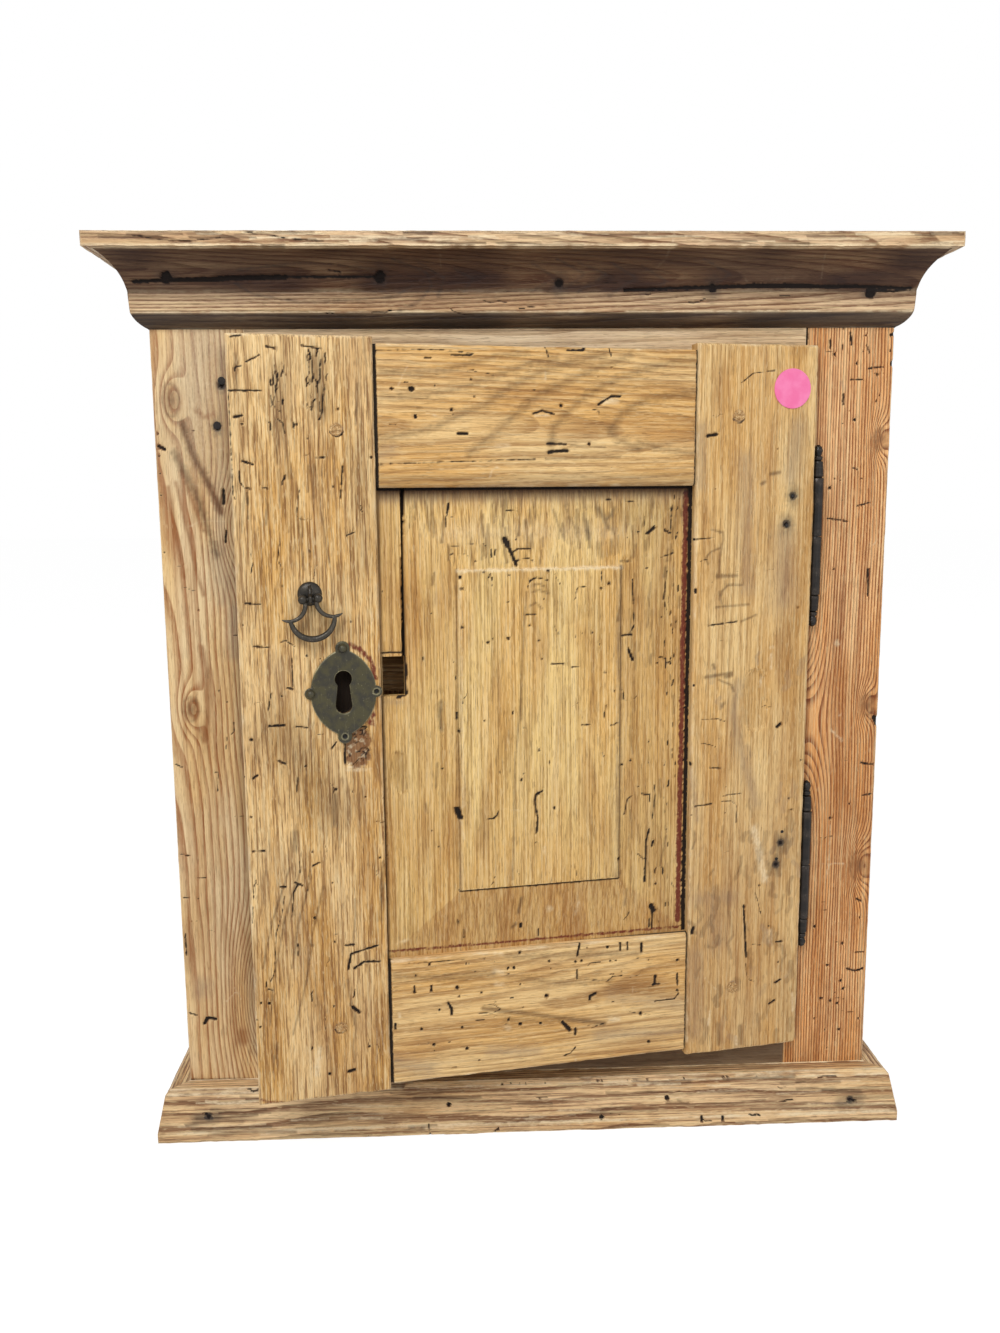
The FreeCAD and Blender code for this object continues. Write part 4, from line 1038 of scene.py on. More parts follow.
@dataclass(frozen=True)
class Metal:
    """Old metal with a patina that is rubbed bright on what stands proud.

    Attributes:
        name: The material's name.
        base: Colour of the patina.
        second: Second patina colour, in blotches.
        bright: Colour where it is rubbed.
        metallic: How metallic the rubbed places are.
        gloss: Roughness of the patina.
        rub: How strongly the rubbed places show.
    """

    name: str
    base: str
    second: str
    bright: str
    metallic: float
    gloss: float
    rub: float = 0.5

    SOOT = "050403"

    def material(self, source: Source = Source.POINTS) -> bpy.types.Material:
        """Builds the finish from blotches, specks and rubbed places.

        Args:
            source: Where the rubbed places are read.

        Returns:
            The material.
        """
        nodes = Nodes(bpy.data.materials.new(self.name))
        middle = nodes.add("ShaderNodeTexCoord").outputs["Object"]
        blotch = nodes.stretched(middle, (0.006, 0.006, 0.006), 4.0)
        speck = nodes.stretched(middle, (0.0009, 0.0009, 0.0013), 3.0, 4.0)
        colour = nodes.blend(blotch.step(0.38, 0.62), tint(self.base), tint(self.second))
        rubbed = speck.step(0.6, 0.78) * 0.45
        if source is Source.POINTS:
            scratch = nodes.stretched(middle, (0.0007, 0.006, 0.016), 2.0, 9.0).step(0.6, 0.7)
            rubbed = rubbed + scratch * 0.16 + nodes.kept("wear") * self.rub * (0.2 + speck)
            hollows = ((nodes.kept("dark"), self.SOOT),)
        else:
            hollows = ()
        colour = nodes.coats(colour, (rubbed.step(0.0, 1.0), self.bright), *hollows)
        rough = self.gloss + (blotch - 0.5) * 0.3 - rubbed * 0.12
        return nodes.finish({"Base Color": colour, "Roughness": rough, "Specular IOR Level": 0.35,
                             "Metallic": self.metallic * (0.35 + rubbed)},
                            blotch * 0.4 + speck * 0.6, 0.00018)


@dataclass(frozen=True)
class Paper:
    """Matt printed paper with a faint tooth.

    Attributes:
        name: The material's name.
        colour: Its colour.
        faded: Its colour where it has faded.
    """

    name: str
    colour: str
    faded: str

    def material(self) -> bpy.types.Material:
        """Builds the finish: two close colours in soft patches, with a fine tooth.

        Returns:
            The material.
        """
        nodes = Nodes(bpy.data.materials.new(self.name))
        middle = nodes.add("ShaderNodeTexCoord").outputs["Object"]
        patch = nodes.stretched(middle, (0.009, 0.009, 0.009), 3.0)
        tooth = nodes.stretched(middle, (0.0004, 0.0004, 0.0004), 2.0)
        colour = nodes.blend(patch.step(0.35, 0.7), tint(self.colour), tint(self.faded))
        return nodes.finish({"Base Color": colour, "Roughness": 0.5 + tooth * 0.15}, tooth, 0.00006)


# ------------------------------------------------------------------ boards
@dataclass
class Board:
    """A board with a gridded, marked front, rounded front edges and plain other sides.

    Attributes:
        low: Lowest corner in its seat's frame, in millimetres.
        high: Highest corner.
        run: The way its grain runs.
        grain: Its growth rings.
        marks: Marks on its front.
        edge: Radius its front edges are worn to.
        pitch: Spacing of the front's grid.
        waves: How unevenly the front is worn.
        rub: How pale the worn edges are.
    """

    low: tuple[float, float, float]
    high: tuple[float, float, float]
    run: Run
    grain: Grain
    marks: Marks = field(default_factory=list)
    edge: float = 1.6
    pitch: float = 1.0
    waves: float = 0.25
    rub: float = 0.7

    def face(self) -> Face:
        """The front: edges fall by a quarter circle whose radius wanders, over slow waves.

        Returns:
            The marked face.
        """
        face = Face(edged(self.low[0], self.high[0], self.pitch, self.edge),
                    edged(self.low[2], self.high[2], self.pitch, self.edge))
        face.draw(self.marks)
        across, up = np.meshgrid(face.across, face.up)
        seed = self.grain.seed
        to_side = np.minimum(across - self.low[0], self.high[0] - across)
        to_end = np.minimum(up - self.low[2], self.high[2] - up)
        wander = 1 + 0.45 * noise2(across / 8, up / 11, seed + 3) + 0.25 * noise2(across / 3, up / 3, seed + 4)
        radius = self.edge * np.clip(wander, 0.35, 1.7)
        waves = self.waves * (0.5 + 0.5 * noise2(across / 22, up / 31, seed + 5))
        face.drop = face.drop + waves + rounding(to_side, radius) + rounding(to_end, radius)
        near = np.minimum(to_side, to_end)
        worn = (1 - ramp(near, 0.3, self.edge * 1.5)) * (0.62 + 0.5 * noise2(across / 7, up / 7, seed + 6))
        face.layers[Layer.WEAR] = np.maximum(face.layers[Layer.WEAR], np.clip(worn, 0, 1) * self.rub)
        return face

    def shell(self) -> Shell:
        """The whole board: each row of the front carried round the right side, back and left side.

        Returns:
            The closed shell.
        """
        face = self.face()
        rows, width = face.drop.shape
        front, back = self.low[1], self.high[1]
        sides = np.array([0.25, 0.5, 0.75])
        back_x = np.linspace(self.high[0], self.low[0], max(3, int((self.high[0] - self.low[0]) / 12)))
        y_front = front + face.drop
        right_y = y_front[:, -1:] + (back - y_front[:, -1:]) * sides
        left_y = y_front[:, :1] + (back - y_front[:, :1]) * sides[::-1]
        x = np.concatenate([np.tile(face.across, (rows, 1)), np.full(right_y.shape, self.high[0]),
                            np.tile(back_x, (rows, 1)), np.full(left_y.shape, self.low[0])], axis=1)
        y = np.concatenate([y_front, right_y, np.full((rows, len(back_x)), back), left_y], axis=1)
        z = np.repeat(face.up[:, None], x.shape[1], axis=1)
        points = np.stack([x, y, z], axis=-1).reshape(-1, 3)
        values = {}
        for layer, kept in face.layers.items():
            padded = np.zeros(x.shape)
            padded[:, :width] = kept
            values[layer.value] = padded.reshape(-1)
        return wooden(points, tube_faces(rows, x.shape[1]), values, self.run, self.grain,
                      (np.array(self.low) + np.array(self.high)) / 2, front)


def wooden(points: np.ndarray, faces: list[np.ndarray], values: dict[str, np.ndarray], run: Run,
           grain: Grain, middle: np.ndarray, front: float) -> Shell:
    """Adds a board's grain to its points.

    Args:
        points: The shell's points.
        faces: Its faces.
        values: Its layers of marks.
        run: The way the grain runs.
        grain: Its growth rings.
        middle: The board's middle, from which places across the grain are taken.
        front: The face that depths are taken from.

    Returns:
        The shell with its ring count and places along, across and behind the grain.
    """
    x, y, z = points.T
    if run is Run.UPRIGHT:
        along, across, depth = z, x - middle[0], y - front
    elif run is Run.ACROSS:
        along, across, depth = x, z - middle[2], y - front
    else:
        along, across, depth = y, z - middle[2], x - middle[0]
    values = {**values, "rings": grain.rings(along, across, depth)}
    shift = grain.seed * 61.0
    places = np.stack([along + shift, across + shift * 0.3, depth + shift * 0.7], axis=-1)
    return Shell(points, faces, values, places)


def plain(low: tuple[float, float, float], high: tuple[float, float, float], run: Run,
          grain: Grain) -> Shell:
    """A board without marks on a coarse grid, for what is mostly hidden."""
    return Board(low, high, run, grain, edge=0.4, pitch=9.0, waves=0.0, rub=0.2).shell()


# ------------------------------------------------------------------ turned and drawn metal
def turned(profile: list[Point], axis: Run, centre: tuple[float, float, float], worn: float = 0.4,
           columns: int = 40) -> Shell:
    """A profile of places along an axis and radii, turned about that axis.

    Args:
        profile: Places and radii from end to end; both ends have radius zero or nearly so.
        axis: The axis it turns about.
        centre: A point on the axis that places are taken from.
        worn: How rubbed the widest places are.
        columns: Points around.

    Returns:
        The closed shell.
    """
    places, radii = np.array(profile, float).T
    radii = np.maximum(radii, 0.02)
    angle = around(columns)
    c, s = np.outer(radii, np.cos(angle)), np.outer(radii, np.sin(angle))
    run = np.repeat(places[:, None], columns, axis=1)
    order = {Run.UPRIGHT: (c, s, run), Run.DEEP: (c, run, s), Run.ACROSS: (run, c, s)}[axis]
    points = (np.stack(order, axis=-1) + np.array(centre)).reshape(-1, 3)
    proud = np.gradient(np.gradient(radii)) < -0.02
    wear = np.repeat(proud * worn, columns)
    return Shell(points, tube_faces(len(places), columns), unmarked(len(points), wear=wear), points)


def rounded_profile(stops: list[Point], steps: int = 7) -> list[Point]:
    """A smooth profile through stops, each span eased by a smoothstep of its share.

    Args:
        stops: Places and radii.
        steps: Points in each span.

    Returns:
        The denser profile.
    """
    found = []
    for (a, ra), (b, rb) in zip(stops, stops[1:]):
        share = np.linspace(0, 1, steps, endpoint=False)
        found += list(zip(a + (b - a) * share, ra + (rb - ra) * eased(share)))
    return found + [stops[-1]]


def drawn(path: np.ndarray, radii: np.ndarray, flat: tuple[float, float, float] = (0.0, 1.0, 0.0),
          worn: float = 0.5, columns: int = 20) -> Shell:
    """A round bar along a path in a plane, each loop square to the path.

    Args:
        path: Points of its middle line.
        radii: Its radius at each point.
        flat: The direction square to the path's plane.
        worn: How rubbed its front is.
        columns: Points around.

    Returns:
        The closed shell.
    """
    along = np.gradient(path, axis=0)
    along /= np.linalg.norm(along, axis=1)[:, None]
    angle = around(columns)[None, :, None]
    ring = np.cos(angle) * np.cross(along, flat)[:, None, :] + np.sin(angle) * np.array(flat)
    points = (path[:, None, :] + ring * radii[:, None, None]).reshape(-1, 3)
    wear = np.clip(-ring[..., 1], 0, 1).reshape(-1) * worn
    return Shell(points, tube_faces(len(path), columns), unmarked(len(points), wear=wear), points)


# ------------------------------------------------------------------ mouldings
class Side(Enum):
    """Which length of a moulding, with the sign of its side of the cupboard."""

    FRONT = 0
    LEFT = -1
    RIGHT = 1


@dataclass
class Moulding:
    """A moulding round the front and both sides, its profile mitred at the corners.

    Attributes:
        name: The frame nodes' common name.
        seat: Where it stands.
        outline: Stops of its profile from its upper inner edge to its lower inner edge, each a
            projection from the carcass and a height.
        spans: For each span between stops, its bulge: how far its middle is pushed out.
        finish: Its wood.
        slot: The record's material slot.
        grain: Its growth rings.
        marks: Marks on the front, across and up.
        zones: Layers that cover heights: layer, lowest and highest height, and strength.
        pitch: Spacing along it.
    """

    name: str
    seat: Seat
    outline: list[Point]
    spans: list[float]
    finish: bpy.types.Material
    slot: str
    grain: Grain
    marks: Marks
    zones: list[tuple[Layer, float, float, float]]
    pitch: float = 1.0

    def profile(self) -> tuple[np.ndarray, np.ndarray]:
        """The profile: spans as chords pushed out by a parabola of their share.

        Returns:
            Its points as projection and height, and how near each is to an arris, from 0 to 1.
        """
        points, near = [], []
        for (p0, z0), (p1, z1), bulge in zip(self.outline, self.outline[1:], self.spans):
            long = math.hypot(p1 - p0, z1 - z0)
            share = edged(0, 1, self.pitch / long, 1.2 / long) if long > 5 else np.linspace(0, 1, 4)
            share = share[:-1]
            out = np.array([-(z1 - z0), p1 - p0]) / long
            push = 4 * share * (1 - share) * bulge
            points.append(np.stack([p0 + (p1 - p0) * share + out[0] * push,
                                    z0 + (z1 - z0) * share + out[1] * push], axis=-1))
            near.append(1 - ramp(np.minimum(share, 1 - share) * long, 0.2, 2.2))
        points.append(np.array([self.outline[-1]]))
        near.append(np.array([1.0]))
        return np.concatenate(points), np.concatenate(near)

    def build(self, half: float, depth: float) -> None:
        """Makes the front length and both returns.

        Args:
            half: Half the carcass width.
            depth: The carcass depth.
        """
        profile, near = self.profile()
        for side in Side:
            node = f"{self.name}_{side.name.lower()}"
            if side is Side.FRONT:
                shell = self.length(spaced([-1.0, 1.0], self.pitch / half), profile, near, half, side)
            else:
                rows = spaced([0.0, 1.0], self.pitch * 1.5 / depth)
                shell = self.length(rows, profile, near, depth, side, half)
            self.seat.make(f"{node}_wood", [shell], self.finish, [node], self.slot)

    def length(self, rows: np.ndarray, profile: np.ndarray, near: np.ndarray, reach: float, side: Side,
               half: float = 0.0) -> Shell:
        """One length, its ends cut square to the mitre by stretching rows with the projection.

        Args:
            rows: Shares along it, from -1 to 1 in front and from 0 to 1 at a side.
            profile: The profile's points.
            near: How near each is to an arris.
            reach: Half the carcass width in front, or the carcass depth at a side.
            side: Which length.
            half: Half the carcass width, at a side.

        Returns:
            The closed shell.
        """
        out, up = profile.T
        back = np.linspace(up[-1], up[0], 5)[1:-1]
        out_all = np.concatenate([out, np.zeros(len(back))])
        up_all = np.concatenate([up, back])
        near_all = np.concatenate([near, np.zeros(len(back))])
        share, p = np.meshgrid(rows, out_all, indexing="ij")
        z = np.repeat(up_all[None, :], len(rows), axis=0)
        front = side is Side.FRONT
        along = share * (reach + p) if front else share * (reach + p) - p
        seed = self.grain.seed + (1 + list(Side).index(side)) * 5
        wander = noise2(along / 14, z / 5, seed) * 0.5 + noise2(along / 4, z / 3, seed + 1) * 0.35
        drop = np.clip(0.3 + 0.55 * wander, 0, 2) * (0.35 + near_all[None, :]) * (p > 0.4)
        layers = {layer: np.zeros(p.shape) for layer in Layer}
        layers[Layer.WEAR] = np.clip(near_all[None, :] * (0.65 + wander), 0, 1)
        for layer, low, high, strength in self.zones:
            cover = ramp(z, low - 0.8, low + 0.8) * (1 - ramp(z, high - 0.8, high + 0.8))
            cover = cover * strength * (0.85 + 0.3 * noise2(along / 30, z / 8, seed + 2))
            layers[layer] = np.maximum(layers[layer], np.clip(cover, 0, 1))
        if front:
            self.mark_front(along, z, len(out), layers, drop)
        slope = np.gradient(profile, axis=0)
        normal = np.stack([-slope[:, 1], slope[:, 0]], axis=-1)
        normal /= np.maximum(np.linalg.norm(normal, axis=1)[:, None], 1e-9)
        normal = np.concatenate([normal, np.zeros((len(back), 2))])
        p = np.maximum(p - drop * np.abs(normal[None, :, 0]), 0)
        z = z - drop * np.abs(normal[None, :, 1]) * np.sign(z - up.mean())
        points = np.stack([along, -p, z] if front else [side.value * (half + p), along, z], axis=-1)
        middle = np.array([side.value * half, 0.0, float(up.mean())])
        values = {layer.value: kept.reshape(-1) for layer, kept in layers.items()}
        return wooden(points.reshape(-1, 3), tube_faces(len(rows), len(out_all)), values,
                      Run.ACROSS if front else Run.DEEP, self.grain, middle, -float(out.max()))

    def mark_front(self, along: np.ndarray, z: np.ndarray, columns: int,
                   layers: dict[Layer, np.ndarray], drop: np.ndarray) -> None:
        """Draws the marks on a face of heights against places, and reads them at the front's points.

        The face's top row stays clear, so that no mark runs on over the moulding's flat top.

        Args:
            along: Places along the front.
            z: Heights.
            columns: How many columns of the loop belong to the profile.
            layers: The layers to add to.
            drop: The sunk depths to add to.
        """
        face = Face(*(spaced([float(place.min()), float(place.max())], 0.8) for place in (along, z)))
        face.draw(self.marks)
        column, row = (np.clip(np.searchsorted(stops, place[:, :columns]), 0, len(stops) - 1)
                       for stops, place in ((face.across, along), (face.up, z)))
        face.drop[-1] = 0
        for layer, kept in face.layers.items():
            kept[-1] = 0
            layers[layer][:, :columns] = np.maximum(layers[layer][:, :columns], kept[row, column])
        drop[:, :columns] += face.drop[row, column]


# ------------------------------------------------------------------ the cupboard's pieces
class Finishes:
    """Every finish, built once."""

    def __init__(self) -> None:
        """Builds the finishes."""
        self.door_left = Pine("door_left_pine", "F0C98C", "DEAB60", "764A20", 0.25, 0.75,
                              (34, 1.4), 0.66).material()
        self.door_right = Pine("door_right_pine", "EECA8C", "DEAE68", "92622A", 0.3, 0.6,
                               (80, 1.6), 0.42).material()
        self.door_rails = Pine("door_rail_pine", "F0CA8C", "E2B068", "8E6030", 0.5, 0.5,
                               (60, 1.5), 0.34).material()
        self.panel = Pine("panel_pine", "F2CE86", "E6B66A", "80541F", 0.2, 0.6,
                          (90, 1.3), 0.48).material()
        self.frame_left = Pine("frame_left_pine", "FBE0B0", "F3CC8E", "98541F", 0.75, 0.45,
                               (70, 1.4), 0.26).material()
        self.frame_right = Pine("frame_right_pine", "FAC488", "EDA862", "84441A", 1.0, 0.45,
                                (90, 1.3), 0.42).material()
        self.frame_rails = Pine("frame_rail_pine", "F0D8B4", "E2C49A", "94704A", 0.5, 0.5,
                                (60, 1.6), 0.25).material()
        self.cornice = Pine("cornice_pine", "E2C098", "D2AA7E", "6C4122", 0.85, 0.5,
                            (110, 1.5), 0.42).material()
        self.base = Pine("base_pine", "F2CE9E", "DEB27C", "66391C", 0.8, 0.6, (80, 1.7), 0.6).material()
        board = ("C49B68", "B48850", "7A522C", 0.8, 0.5, (120, 1.7), 0.3)
        self.upright_boards = Pine("upright_pine", *board).material(Source.COORDINATES, Run.UPRIGHT)
        self.other_boards = Pine("other_pine", "CBA470", "BA8E58", *board[2:],
                                 shift=170.0).material(Source.COORDINATES, Run.UPRIGHT)
        self.cross_boards = Pine("cross_pine", *board).material(Source.COORDINATES, Run.ACROSS)
        self.deep_boards = Pine("deep_pine", *board).material(Source.COORDINATES, Run.DEEP)
        self.pegs = Pine("peg_pine", "C79B62", "B98A52", "7E5A30", 0.3,
                         0.9).material(Source.COORDINATES, Run.DEEP)
        iron = ("15120F", "221C18", "6F655C", 0.7, 0.34)
        self.iron = Metal("old_iron", *iron, 0.6).material()
        self.plain_iron = Metal("plain_iron", *iron).material(Source.COORDINATES)
        self.bronze = Metal("dark_bronze", "231F1A", "322D25", "9A9080", 0.75, 0.36).material()
        brass = ("37342A", "48432C", "B8AE88", 0.5, 0.42, 1.3)
        self.brass = Metal("old_brass", *brass).material()
        self.plain_brass = Metal("plain_brass", *brass).material(Source.COORDINATES)
        self.paper = Paper("pink_paper", "F070A4", "F684B4").material()


def dress(node: str, material: bpy.types.Material) -> None:
    """Gives a frame node that stays a finish in each of its material slots.

    Args:
        node: The node's name.
        material: The finish.
    """
    for slot in bpy.data.objects[node].material_slots:
        slot.material = material
    log.info("%s: %s", node, material.name)


@dataclass
class Carcass:
    """The boards behind the face frame, which keep the frame's shapes.

    Attributes:
        finishes: The finishes.
    """

    finishes: Finishes

    def build(self) -> None:
        """Gives each board its finish, and the nails theirs."""
        for node in ("side_left", "side_right", "back_board_1", "back_board_3"):
            dress(node, self.finishes.upright_boards)
        dress("back_board_2", self.finishes.other_boards)
        for node in ("bottom_board", "top_board", "shelf"):
            dress(node, self.finishes.cross_boards)
        for node in ("shelf_cleat_left", "shelf_cleat_right"):
            dress(node, self.finishes.deep_boards)
        for node in ("back_nails", "top_nails", "cleat_nails_left", "cleat_nails_right", "base_nails",
                     "cornice_nails", "stray_nails"):
            dress(node, self.finishes.plain_iron)


@dataclass
class FaceFrame:
    """The two stiles and two rails round the opening.

    Attributes:
        finishes: The finishes.
        seat: Where they stand.
    """

    finishes: Finishes
    seat: Seat = Seat("cabinet")

    def build(self) -> None:
        """Makes the four boards."""
        left_low, left_high = self.seat.box("face_stile_left")
        right_low, right_high = self.seat.box("face_stile_right")
        left_grain = Grain(3.4, (-34, 34), 0.03, 300, 2.6, (
            Knot(503, -17, 5), Knot(301, -15, 5), Knot(95, 26, 15), Knot(420, 20, 9)), 11)
        left = Board(tuple(left_low), tuple(left_high), Run.UPRIGHT, left_grain, self.left_marks(), edge=1.2)
        self.seat.make("face_stile_left_wood", [left.shell()], self.finishes.frame_left,
                       ["face_stile_left"], "pine_grey")
        right_grain = Grain(1.7, (120, 60), 0.0, 0, 1.0, (
            Knot(475, 23, 4), Knot(297, 21, 4), Knot(182, 21, 6), Knot(285, -38, 15)), 12)
        right = Board(tuple(right_low), tuple(right_high), Run.UPRIGHT, right_grain, self.right_marks(),
                      edge=1.2)
        self.seat.make("face_stile_right_wood", [right.shell()], self.finishes.frame_right,
                       ["face_stile_right"], "pine_orange")
        for name, seed in (("face_rail_top", 13), ("face_rail_bottom", 14)):
            low, high = self.seat.box(name)
            low[0], high[0] = left_high[0], right_low[0]
            rail = Board(tuple(low), tuple(high), Run.ACROSS, Grain(3.0, (8, 50), 0.01, 0, 2.0, seed=seed),
                         self.rail_marks(name), edge=0.8, pitch=1.6)
            self.seat.make(f"{name}_wood", [rail.shell()], self.finishes.frame_rails, [name], "pine_grey")

    def left_marks(self) -> Marks:
        """The left stile: greyed at the top, with dark late wood, nail stains, knots and a painted shade along
        its edge by the door.

        Returns:
            The marks.
        """
        return [
            shade(Layer.GREY, 60, 80, 0.5, -205, 545, -215, 480),
            shade(Layer.WEAR, 60, 70, 0.5, -205, 545, -215, 470),
            # Painted shade along the stile's edge next to the door.
            shade(Layer.GRIME, 4, 9, 0.6, -193, 56, -193, 532),
            shade(Layer.KNOT, 60, 130, 0.2, -212, 260, -212, 50),
            BAND(4, (-222, 488, -216, 468, -207, 450, -200, 432), (-228, 470, -214, 440, -204, 404),
                 strength=0.6),
            knot(-228.5, 503, 5, 2.1), knot(-226, 301.5, 5),
            GREY(9, (-196, 533, -200, 454, -201, 374), (-194, 368, -196, 338)),
            GREY(14, (-205, 542, -202, 531), (-204, 404, -200, 385), (-228, 106, -229, 101)),
            LATE(2.2, (-224, 458, -212, 420), (-228, 451, -220, 409, -218, 394, -214, 378),
                 (-233, 448, -226, 390)),
            LATE(3, (-213, 497, -208, 492, -202, 494)),
            LATE(4, (-222, 488, -216, 468, -207, 450, -200, 432),
                 (-217, 343, -214, 326, -215, 296, -218, 280)),
            LATE(9, (-202, 70, -202, 65)),
            BROWN(2.2, (-244, 36, -200, 35)),
            nail(5, (-196, 512), (-200, 486)),
            RUB(1.2, (-216, 522, -203, 512), (-212, 472, -196, 472), (-218, 450, -210, 448),
                (-222, 422, -214, 426, -198, 426), (-212, 94, -204, 102), (-206, 104, -202, 95)),
            CUT(0.8, (-198, 292, -198, 286, -200, 284), (-203, 282, -204, 274),
                (-212, 258, -210, 258, -211, 245), (-228, 184, -222, 184)),
            CUT(1.2, (-238, 264, -234, 262), (-238, 201, -232, 200), (-238, 170, -234, 170),
                (-238, 144, -238, 128), (-238, 86, -233, 84)),
            CUT(1.7, (-238, 482), (-238, 468), (-238, 457), (-238, 443), (-238, 406), (-197, 420, -198, 412),
                (-218, 368), (-207, 314), (-202, 306), (-228, 169)),
            CUT(2.4, (-238, 474, -234, 472), (-198, 446, -198, 437), (-228, 78, -226, 82, -220, 81)),
            Scatter(Layer.DARK, 12, (-238, 60, -184, 540), (3, 9), (-15, 15), (0.35, 0.7), 0.25, 21),
        ]

    def right_marks(self) -> Marks:
        """The right stile: knots, short scratches across the grain, worm holes at both ends and a painted
        shadow beside the door's edge.

        Returns:
            The marks.
        """
        return [
            knot(234, 475.5, 4.5, 1.5), knot(232.5, 297, 4.5), knot(232, 182.5, 6.5),
            GREY(3, (206, 512, 208, 508)),
            CUT(1.6, (182.4, 529, 182.4, 556)),
            shade(Layer.KNOT, 14, 30, 0.6, 212, 315, 215, 249, 215, 190),
            # Painted shadow on the stile beside the door's right edge.
            shade(Layer.GRIME, 3, 5, 0.75, 189, 56, 189, 532),
            RUB(1.2, (232, 406, 235, 410), (210, 212, 210, 183, 208, 170), (204, 184, 221, 184)),
            RUB(2.4, (214, 290), (208, 280, 216, 272)),
            RUB(5, (210, 340)),
            CUT(1.2, (182, 551, 183, 540), (214, 551, 214, 548), (206, 549, 206, 546), (222, 536, 224, 531),
                (206, 536, 206, 533), (212, 494), (230, 490), (208, 486), (222, 450), (210, 436),
                (224, 521, 234, 522), (212, 514, 220, 514), (220, 432, 228, 434), (200, 424, 214, 422),
                (216, 457, 219, 456), (232, 233, 238, 234), (232, 118, 238, 118)),
            CUT(1.7, (211, 544, 212, 536), (198, 539, 198, 534), (208, 505, 208, 498), (221, 542), (241, 532),
                (238, 532), (220, 532), (232, 504), (230, 500), (208, 449), (204, 450), (206, 390),
                (229, 390, 230, 372), (230, 256, 238, 255), (226, 106, 232, 104, 238, 106),
                (231, 158, 234, 156), (223, 227), (234, 144), (218, 126), (218, 88), (204, 69), (212, 60),
                (214, 46), (236, 68)),
            CUT(2.4, (201, 530), (216, 524), (230, 517), (216, 488), (201, 444), (238, 542, 240, 543),
                (210, 217), (222, 125), (212, 109), (222, 97), (224, 91), (208, 84), (215, 82), (220, 80),
                (222, 60), (202, 138)),
            CUT(4, (240, 524), (238, 288, 240, 284)),
            Scatter(Layer.DARK, 10, (186, 60, 238, 540), (3, 12), (-6, 6), (0.35, 0.6), 0.2, 22),
        ]

    def rail_marks(self, name: str) -> Marks:
        """A rail where it shows above or below the door: the bottom one darkened as a painted shadow, the top
        one weathered grey with a painted shadow line under the cornice.

        Args:
            name: Which rail.

        Returns:
            Its marks.
        """
        if name == "face_rail_bottom":
            # A painted shadow: the rail darkened all along below the door.
            return [shade(Layer.GRIME, 24, 12, 0.8, -180, 44, 180, 44)]
        # The grey is weathering; the dark line at the rail's top edge is a painted shadow under the cornice.
        return [shade(Layer.GREY, 30, 20, 0.2, -180, 540, 180, 540),
                shade(Layer.DARK, 1.4, 1.0, 0.8, -180, 546, 180, 546)]


